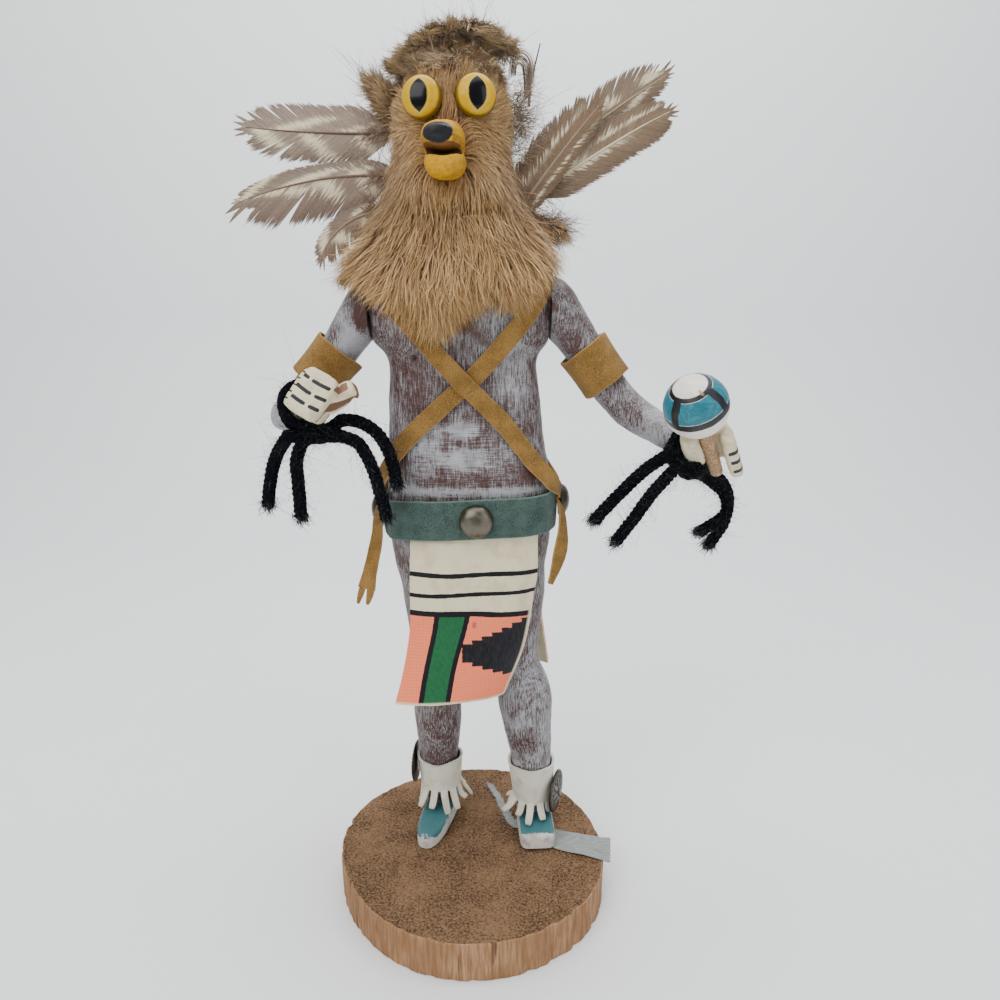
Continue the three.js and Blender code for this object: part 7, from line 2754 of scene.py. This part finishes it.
def build_muzzle():
    """The carved snout: black nose, upper jaw, open mouth and round lower jaw."""
    upper = limb([(-7.0, -2.0, 292.4, 6.4, 5.8), (-7.0, -9.1, 292.8, 7, 6.8),
                  (-7.1, -14, 293.2, 6.9, 5.8), (-7.6, -19.4, 292.8, 6.2, 4.6),
                  (-7.8, -22.6, 292.2, 4.6, 3)], X, 44, 2.5, 8)
    lower = limb([(-6.6, -3.0, 287.0, 6.2, 4.6), (-6.6, -10.4, 286.4, 6.9, 5.2),
                  (-6.6, -15, 285.9, 6.9, 5.0), (-6.6, -19, 285.3, 5.8, 4.2),
                  (-6.6, -21.2, 285.0, 3.4, 2.4)], X, 44, 2.2, 8)
    nose = ball(point(-8.2, -20.4, 293.6), (4.9, 2.9, 2.9), 36, 20)
    obj = fused("snout_carved", merged(upper, lower, nose), 0.4, 3,
                finish_material("muzzle paint", muzzle_material))
    mesh = obj.data
    points = coordinates(mesh)
    x, y, z = points.T
    # The mouth is pressed in between the jaws, deepest at its middle.
    line = 288.4 - 0.5 * np.cos((x + 6.8) * 0.5)
    inside = smooth(1.5 - np.abs(z - line) / 0.95) * smooth((-11.5 - y) / 3.0)
    inside *= smooth((6.6 - np.abs(x + 6.8)) / 1.2)
    points[:, 1] += inside * np.clip((-12.6 - y) * 0.62, 0, 5.2)
    points += normals_of(mesh) * (0.16 * rough(points, 3.4, 2.0, 2))[:, None]
    set_coordinates(mesh, points)
    nose_mark = np.clip(1.5 - np.linalg.norm(
        (points - point(-8.2, -22, 293.4)) / np.array([5.1, 5.4, 3.3]), axis=1), 0, 1)
    cheek = smooth((z - 288.4) / 1.0) * smooth((294.6 - z) / 2.5)
    cheek = cheek * smooth((np.abs(x + 7.4) - 1.5) / 3)
    cheek = np.maximum(0.6 * cheek, smooth((z - 288.2) / 0.8) * smooth((291.2 - z) / 1.0)
                       * smooth((-15.5 - y) / 2))
    tint(mesh, "muzzle", np.stack([nose_mark, cheek, inside], axis=1))
    dress(obj, ["muzzle"])


# ---- Feathers ----------------------------------------------------------------------------------

FACING_RIGHT = point(0, -1, 0.1)
FACING_LEFT = point(0.1, -1, 0.1)
# Bars are (place at the shaft, lean per vane width, half-width along, inner and outer share of
# the vane); splits are (place on the shaft, opening in mm).
FEATHERS = {
    "feather_right_1": {
        "shaft": [(-25, 16, 302.4), (-56.8, 18, 303.2), (-83.6, 20, 305.7)], "up": 11, "down": 10.5,
        "facing": FACING_RIGHT, "fingers": 0.62,
        "bars_up": [(0.36, -0.75, 0.055, 0.08, 0.46), (0.74, -0.6, 0.09, 0.0, 0.55)],
        "bars_down": [(0.24, -0.14, 0.035, 0.0, 0.8), (0.56, -0.2, 0.06, 0.0, 0.85),
                      (0.88, -0.25, 0.09, 0.0, 0.55)],
        "splits_up": [(0.5, 1.5), (0.62, 2.6), (0.74, 2.0)],
        "splits_down": [(0.55, 3.4), (0.64, 1.6), (0.3, 0.6)],
        "shaft_colour": (0.09, 0.05, 0.035), "tone": (0.31, 0.245, 0.2),
    },
    "feather_right_2": {
        "shaft": [(-24, 12, 286.6), (-54.9, 13.4, 286.1), (-87, 15, 278.1)], "up": 6, "down": 14,
        "facing": FACING_RIGHT, "fingers": 0.3,
        "bars_up": [(0.3, -0.3, 0.07, 0.05, 0.6), (0.66, -0.9, 0.13, 0.05, 0.5),
                    (0.97, -0.4, 0.05, 0.0, 1.0)],
        "bars_down": [(0.24, -0.14, 0.045, 0.0, 0.6), (0.5, -0.14, 0.065, 0.0, 0.55),
                      (0.8, -0.7, 0.12, 0.02, 0.3)],
        "splits_up": [(0.2, 0.5)], "splits_down": [(0.52, 5.0), (0.72, 1.0), (0.22, 1.0)],
        "shaft_colour": (0.14, 0.075, 0.045), "tone": (0.27, 0.205, 0.165),
    },
    "feather_right_3": {
        "shaft": [(-30, 9, 275), (-46, 9, 269.4), (-55.4, 9, 257)], "up": 4.6, "down": 7.4,
        "facing": FACING_RIGHT, "fingers": 0.8,
        "bars_up": [(0.34, -0.5, 0.09, 0.2, 0.75), (0.85, -0.4, 0.1, 0.0, 0.9)],
        "bars_down": [(0.25, -0.2, 0.1, 0.1, 0.85), (0.66, -0.2, 0.1, 0.1, 0.8)],
        "splits_up": [(0.55, 1.0)], "splits_down": [(0.36, 1.6), (0.6, 2.2)],
        "shaft_colour": (0.3, 0.2, 0.14), "tone": (0.24, 0.175, 0.135),
    },
    "feather_left_1": {
        "shaft": [(16, 14, 272), (33, 18, 294.6), (49, 22, 314)], "up": 11, "down": 6,
        "facing": FACING_LEFT, "fingers": 0.6,
        "bars_up": [(0.45, 0.0, 0.42, 0.3, 0.42)], "bars_down": [(0.45, 0.0, 0.4, 0.42, 0.58)],
        "splits_up": [(0.5, 2.0), (0.62, 4.6), (0.78, 3.8)], "splits_down": [(0.7, 2.6)],
        "shaft_colour": (0.3, 0.22, 0.15), "tone": (0.21, 0.142, 0.088),
    },
    "feather_left_2": {
        "shaft": [(22, 20, 280), (54.5, 24, 301), (76.7, 27, 313)], "up": 8.4, "down": 8.4,
        "facing": FACING_LEFT, "fingers": 0.25,
        "bars_up": [(0.66, 0.0, 0.3, 0.38, 0.52), (0.24, 0.0, 0.1, 0.0, 0.5)],
        "bars_down": [(0.36, 0.0, 0.26, 0.0, 0.2)],
        "splits_up": [(0.66, 0.7), (0.76, 0.7)], "splits_down": [(0.5, 0.4)],
        "shaft_colour": (0.62, 0.52, 0.34), "tone": (0.235, 0.17, 0.115),
    },
    "feather_left_3": {
        "shaft": [(18, 27, 286), (49, 31, 310), (76.1, 34, 328)], "up": 11, "down": 7,
        "facing": FACING_LEFT, "fingers": 0.95,
        "bars_up": [(0.62, 0.0, 0.05, 0.12, 0.42), (0.9, 0.0, 0.07, 0.1, 0.45)],
        "bars_down": [(0.5, -0.8, 0.07, 0.1, 0.6), (0.84, -0.5, 0.06, 0.1, 0.6)],
        "splits_up": [(0.4, 1.6), (0.55, 1.4), (0.68, 1.2), (0.8, 2.0)],
        "splits_down": [(0.85, 1.2)],
        "shaft_colour": (0.4, 0.3, 0.2), "tone": (0.24, 0.18, 0.13),
    },
}


def feather_material(tree, shader):
    tone = attribute(tree, "hair")
    where = place(tree)
    fine = cloud(tree, where, 2.2, 3.0)
    shade = remap(tree, fine, 0.3, 0.7, 0.84, 1.14)
    spread = wire(tree, "CombineColor", {0: shade, 1: shade, 2: shade}).outputs[0]
    feed(tree, shader, "Base Color", blended(tree, 1.0, tone, spread, "MULTIPLY"))
    gloss(shader, 0.55, 0.35)
    relief(tree, shader, fine, 0.1, 0.5)


def shaft_curve(shaft, count):
    """Points along a quadratic curve through three points."""
    a, middle, c = (np.array(p, float) for p in shaft)
    b = 2 * middle - 0.5 * a - 0.5 * c
    t = np.linspace(0, 1, count)[:, None]
    return (1 - t) ** 2 * a + 2 * t * (1 - t) * b + t**2 * c


def feather(name, rules, rng):
    """One feather: a tapering shaft and barbs that leave it on both sides and split apart."""
    fine = 400
    curve = shaft_curve(rules["shaft"], fine)
    length = np.linalg.norm(np.diff(curve, axis=0), axis=1).sum()
    tangent, _, _ = frames_along(curve, Z)
    side = unit(np.cross(rules["facing"], tangent))
    side[side[:, 2] < 0] *= -1
    out = unit(np.cross(tangent, side))
    out[(out @ rules["facing"]) < 0] *= -1

    def at(t):
        index = np.clip(t, 0, 1) * (fine - 1)
        low = np.clip(index.astype(int), 0, fine - 2)
        part = (index - low)[:, None]
        beyond = np.clip(t - 1, 0, None)[:, None] * length
        place_on = mix(curve[low], curve[low + 1], part) + tangent[-1] * beyond
        return place_on, side[low], out[low], tangent[low]

    spacing = sizes().barb_spacing / MM * 0.62
    paths, widths, tones, facing = [], [], [], []
    steps = 11
    share = np.linspace(0, 1, steps)
    cream = np.array([0.72, 0.61, 0.42])
    base_tone = np.array(rules["tone"]) * np.array([0.88, 0.82, 0.74])
    clumping = rules["fingers"]
    for way, reach, bars, splits in (
        (1, rules["up"], rules["bars_up"], rules["splits_up"]),
        (-1, rules["down"], rules["bars_down"], rules["splits_down"]),
    ):
        count = int(length / spacing)
        roots = np.linspace(0.02, 0.995, count)
        group_length = 0.06
        for t_root in roots:
            slant = math.radians(mix(43, 19, smooth((t_root - 0.3) / 0.7)))
            width_here = reach
            for _ in range(4):
                t_end = t_root + width_here / math.tan(slant) / length
                rounded = math.sqrt(max(0.0, 1 - min(t_end, 1) ** 7))
                vane = max(0.12, smooth((t_end + 0.12) / 0.34) * rounded)
                width_here = mix(width_here, max(reach * vane, 0.6), 0.6)
            w = width_here * share * (1 + 0.04 * rng.normal())
            bow = 0.14 * width_here * share**2
            t = t_root + (w / math.tan(slant) + bow) / length
            gap = 0.0
            for split, opening in splits:
                away = t_root - split
                gap += opening * math.copysign(1, away) * math.exp(-abs(away) / 0.09) * 0.5
            t = t + gap * share**1.6 / length
            # Barbs gather into fingers towards the vane's edge.
            group = math.floor((t_root + 0.02 * math.sin(t_root * 31)) / group_length)
            centre = (group + 0.5) * group_length
            pull = clumping * 0.5 * (0.5 + 0.5 * math.sin(group * 2.3))
            pull = pull * smooth((share - 0.6) / 0.4)
            t = t + (centre - t_root) * pull
            place_on, side_here, out_here, _ = at(t)
            camber = -0.018 * w**2 + 0.25 * math.sin(t_root * 17) * share
            lift_off = 0.05 * rng.normal()
            path = place_on + way * side_here * w[:, None] + out_here * (camber + lift_off)[:, None]
            paths.append(path)
            facing.append(out_here)
            widths.append(spacing * (1.7 if clumping < 0.7 else 1.5))
            jag = 0.018 * rng.normal()
            amount = np.zeros(steps)
            w_share = w / max(reach, 1)
            for start, lean, half, inner, outer in bars:
                middle = start + lean * w_share * reach / 11
                inside = smooth(1.5 - np.abs(t + jag - middle) / half)
                inside = inside * smooth((w_share - inner + 0.03) / 0.05)
                inside = inside * smooth((outer + 0.08 * rng.normal() - w_share) / 0.06)
                amount = np.maximum(amount, inside)
            tone = base_tone * (0.86 + 0.3 * rng.random()) * (1 - 0.25 * share[:, None] ** 2)
            edge_dark = 1 - 0.35 * np.clip(amount * (1 - amount) * 4, 0, 1)
            tones.append((tone + (cream - tone) * amount[:, None]) * edge_dark[:, None])
    paths = np.array(paths)
    points, quads, tips, _ = ribbons(paths, np.array(widths), np.array(facing))
    mesh = ribbon_mesh(name + "_barbs", points, quads, tips)
    tint(mesh, "hair", per_point(np.array(tones), steps))
    obj = new_object(name + "_barbs", mesh, finish_material("barred feather", feather_material))
    dress(obj, [name])

    spine = curve[::8]
    _, right, front = frames_along(spine, Y)
    radius = mix(0.62, 0.14, np.linspace(0, 1, len(spine)))
    shaft = loft([
        ring(spine[i], right[i], front[i], radius[i], radius[i], 2, 10) for i in range(len(spine))
    ])
    shaft_obj = make(name + "_shaft", shaft, finish_material("barred feather", feather_material),
                     [name])
    tint(shaft_obj.data, "hair", np.tile(rules["shaft_colour"], (len(shaft[0]), 1)))

    # Soft down where the feather meets the fur.
    number = 170
    t = 0.02 + 0.16 * rng.random(number)
    place_on, side_here, out_here, along = at(t)
    sign = rng.choice([-1, 1], number)[:, None]
    ways = unit(side_here * sign + 0.8 * along + out_here * rng.normal(size=(number, 1)) * 0.4)
    down = loose_hairs(name + "_down", place_on, ways, 3.5 + 5 * rng.random(number), 0.3,
                       base_tone * 1.25, rng, 0.5)


def build_feathers():
    """The six barred feathers, the curled plume and the bare quill."""
    rng = np.random.default_rng(3)
    for name, rules in FEATHERS.items():
        feather(name, rules, rng)

    # The plume's long barbs curl over together like a shallow arch.
    paths, widths, facing, tones = [], [], [], []
    steps = 22
    share = np.linspace(0, 1, steps)[:, None]
    for _ in range(38):
        inner = rng.random()
        middle = np.array([18.6 + 0.8 * inner, 17.6 + rng.normal() * 0.5, 324.0 + 1.4 * inner])
        across = 1.2 + 3.8 * inner
        rise = 2.0 + 3.8 * inner
        drop = 7.5 + 3.5 * rng.random()
        swing = mix(-0.42, 1.04 - 0.1 * rng.random(), share) * math.pi
        path = middle + X * (across * np.cos(swing)) + Z * (rise * np.clip(np.sin(swing), 0, 1))
        low = np.clip(-np.sin(swing), 0, 1)
        path = path - Z * (drop * low**1.2) + X * (1.4 * low * np.sign(np.cos(swing)))
        tail = smooth((share - 0.86) / 0.14)
        path = path - Z * (5.5 * tail * (0.4 + 0.6 * inner))
        paths.append(path + rng.normal(size=(1, 3)) * 0.12)
        facing.append(np.tile(unit(point(0.25 * rng.normal(), -1, 0.2)), (steps, 1)))
        widths.append(rng.uniform(0.14, 0.36))
        tone = np.array([0.2, 0.15, 0.105]) * rng.uniform(0.5, 2.2)
        tones.append(np.tile(tone, (steps, 1)))
    points, quads, tips, _ = ribbons(np.array(paths), np.array(widths), np.array(facing))
    mesh = ribbon_mesh("curled_plume_barbs", points, quads, tips)
    tint(mesh, "hair", per_point(np.array(tones), steps))
    plume = new_object("curled_plume_barbs", mesh,
                       finish_material("barred feather", feather_material))
    dress(plume, ["feather_curled_plume"])

    spine = rows_through([(22.4, 21, 313), (23.2, 21, 321), (26.4, 21, 334)], 10)
    _, right, front = frames_along(spine, Y)
    radius = mix(0.6, 0.22, np.linspace(0, 1, len(spine)))
    shell = loft([ring(spine[i], right[i], front[i], radius[i], radius[i], 2, 10)
                  for i in range(len(spine))])
    quill = make("bare_quill", shell, finish_material("barred feather", feather_material),
                 ["feather_bare_quill"])
    tint(quill.data, "hair", np.tile((0.09, 0.055, 0.04), (len(shell[0]), 1)))

    # Soft brown fluff at the left temple, under the quill.
    number = 620
    roots = np.array([17.0, 15.0, 306.0]) + rng.normal(size=(number, 3)) * [1.8, 1.4, 6.0]
    ways = unit(np.stack([0.9 + 0.3 * rng.normal(size=number), -0.2 + 0.3 * rng.normal(size=number),
                          0.2 + 0.6 * rng.normal(size=number)], axis=1))
    tone = np.array([0.26, 0.19, 0.125]) * (0.4 + 1.4 * rng.random((number, 1)))
    fluff = loose_hairs("temple_fluff", roots, ways, 3 + 8 * rng.random(number), 0.17, tone, rng,
                        0.45, 7)


# ---- Operators, panel and main -----------------------------------------------------------------


def operator_for(identifier, label, help_text, builder):
    """An operator class that runs one builder."""

    def execute(self, context):
        builder()
        return {"FINISHED"}

    return type(
        "KACHINA_OT_" + identifier, (bpy.types.Operator,),
        {"bl_idname": "kachina." + identifier, "bl_label": label, "__doc__": help_text,
         "bl_options": {"REGISTER"}, "execute": execute},
    )


STEPS = (
    ("stage", "Floor, lights and camera", "Lays the paper floor and sets lights and camera",
     build_stage),
    ("yarn", "Yarn", "Winds the wool round the wrists and hangs its loose ends", build_yarn),
    ("body", "Carved body", "Carves and paints the legs, torso and head", build_body),
    ("arms", "Arms", "Carves and paints the arms and fists", build_arms),
    ("rattle", "Rattle", "Paints the rattle's ball and whittles its stick", build_rattle),
    ("base", "Log slice", "Saws the slice of log", build_base),
    ("moccasins", "Moccasins", "Paints the moccasins", build_moccasins),
    ("tape", "Tape", "Sticks the old tape under the left foot", build_tape),
    ("kilt", "Kilt", "Hangs the painted leather panels", build_kilt),
    ("belt", "Belt", "Lays the green suede belt", build_belt),
    ("straps", "Straps", "Crosses the suede straps", build_straps),
    ("armbands", "Armbands", "Wraps the suede armbands", build_armbands),
    ("cuffs", "Leg cuffs", "Cuts the fringed leather cuffs", build_cuffs),
    ("metal", "Studs and conchos", "Stamps the belt studs and the conchos", build_metal),
    ("muzzle", "Muzzle", "Carves the snout and nose", build_muzzle),
    ("eyes", "Eyes", "Sets the two domed eyes", build_eyes),
    ("pelt", "Face and beard", "Grows the pelt of the face and beard", build_pelt),
    ("crown", "Crown tuft", "Grows the tuft on the crown", build_crown),
    ("ear", "Ear tuft", "Grows the tuft at the right temple", build_ear),
    ("ruff", "Neck ruff", "Grows the ruff behind the neck", build_ruff),
    ("feathers", "Feathers", "Sets the feathers, plume and quill", build_feathers),
)
OPERATORS = tuple(operator_for(*step) for step in STEPS)


class KACHINA_PT_doll(bpy.types.Panel):
    """Lists the doll's pieces with the sizes and colours they are made from"""

    bl_idname = "KACHINA_PT_doll"
    bl_label = "Kachina doll"
    bl_space_type = "VIEW_3D"
    bl_region_type = "UI"
    bl_category = "Kachina"

    def draw(self, context):
        scene = context.scene
        column = self.layout.column()
        for group in (scene.kachina_sizes, scene.kachina_colours):
            for name in group.__annotations__:
                column.prop(group, name)
            column.separator()
        for identifier, label, _, _ in STEPS:
            column.operator("kachina." + identifier, text=label)


CLASSES = (KachinaSizes, KachinaColours, *OPERATORS, KACHINA_PT_doll)


def register():
    for each in CLASSES:
        bpy.utils.register_class(each)
    bpy.types.Scene.kachina_sizes = bpy.props.PointerProperty(type=KachinaSizes)
    bpy.types.Scene.kachina_colours = bpy.props.PointerProperty(type=KachinaColours)


def unregister():
    del bpy.types.Scene.kachina_sizes
    del bpy.types.Scene.kachina_colours
    for each in reversed(CLASSES):
        bpy.utils.unregister_class(each)


def main():
    register()
    for identifier, _, _, _ in STEPS:
        getattr(bpy.ops.kachina, identifier)()
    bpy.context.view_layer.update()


if __name__ == "__main__":
    main()
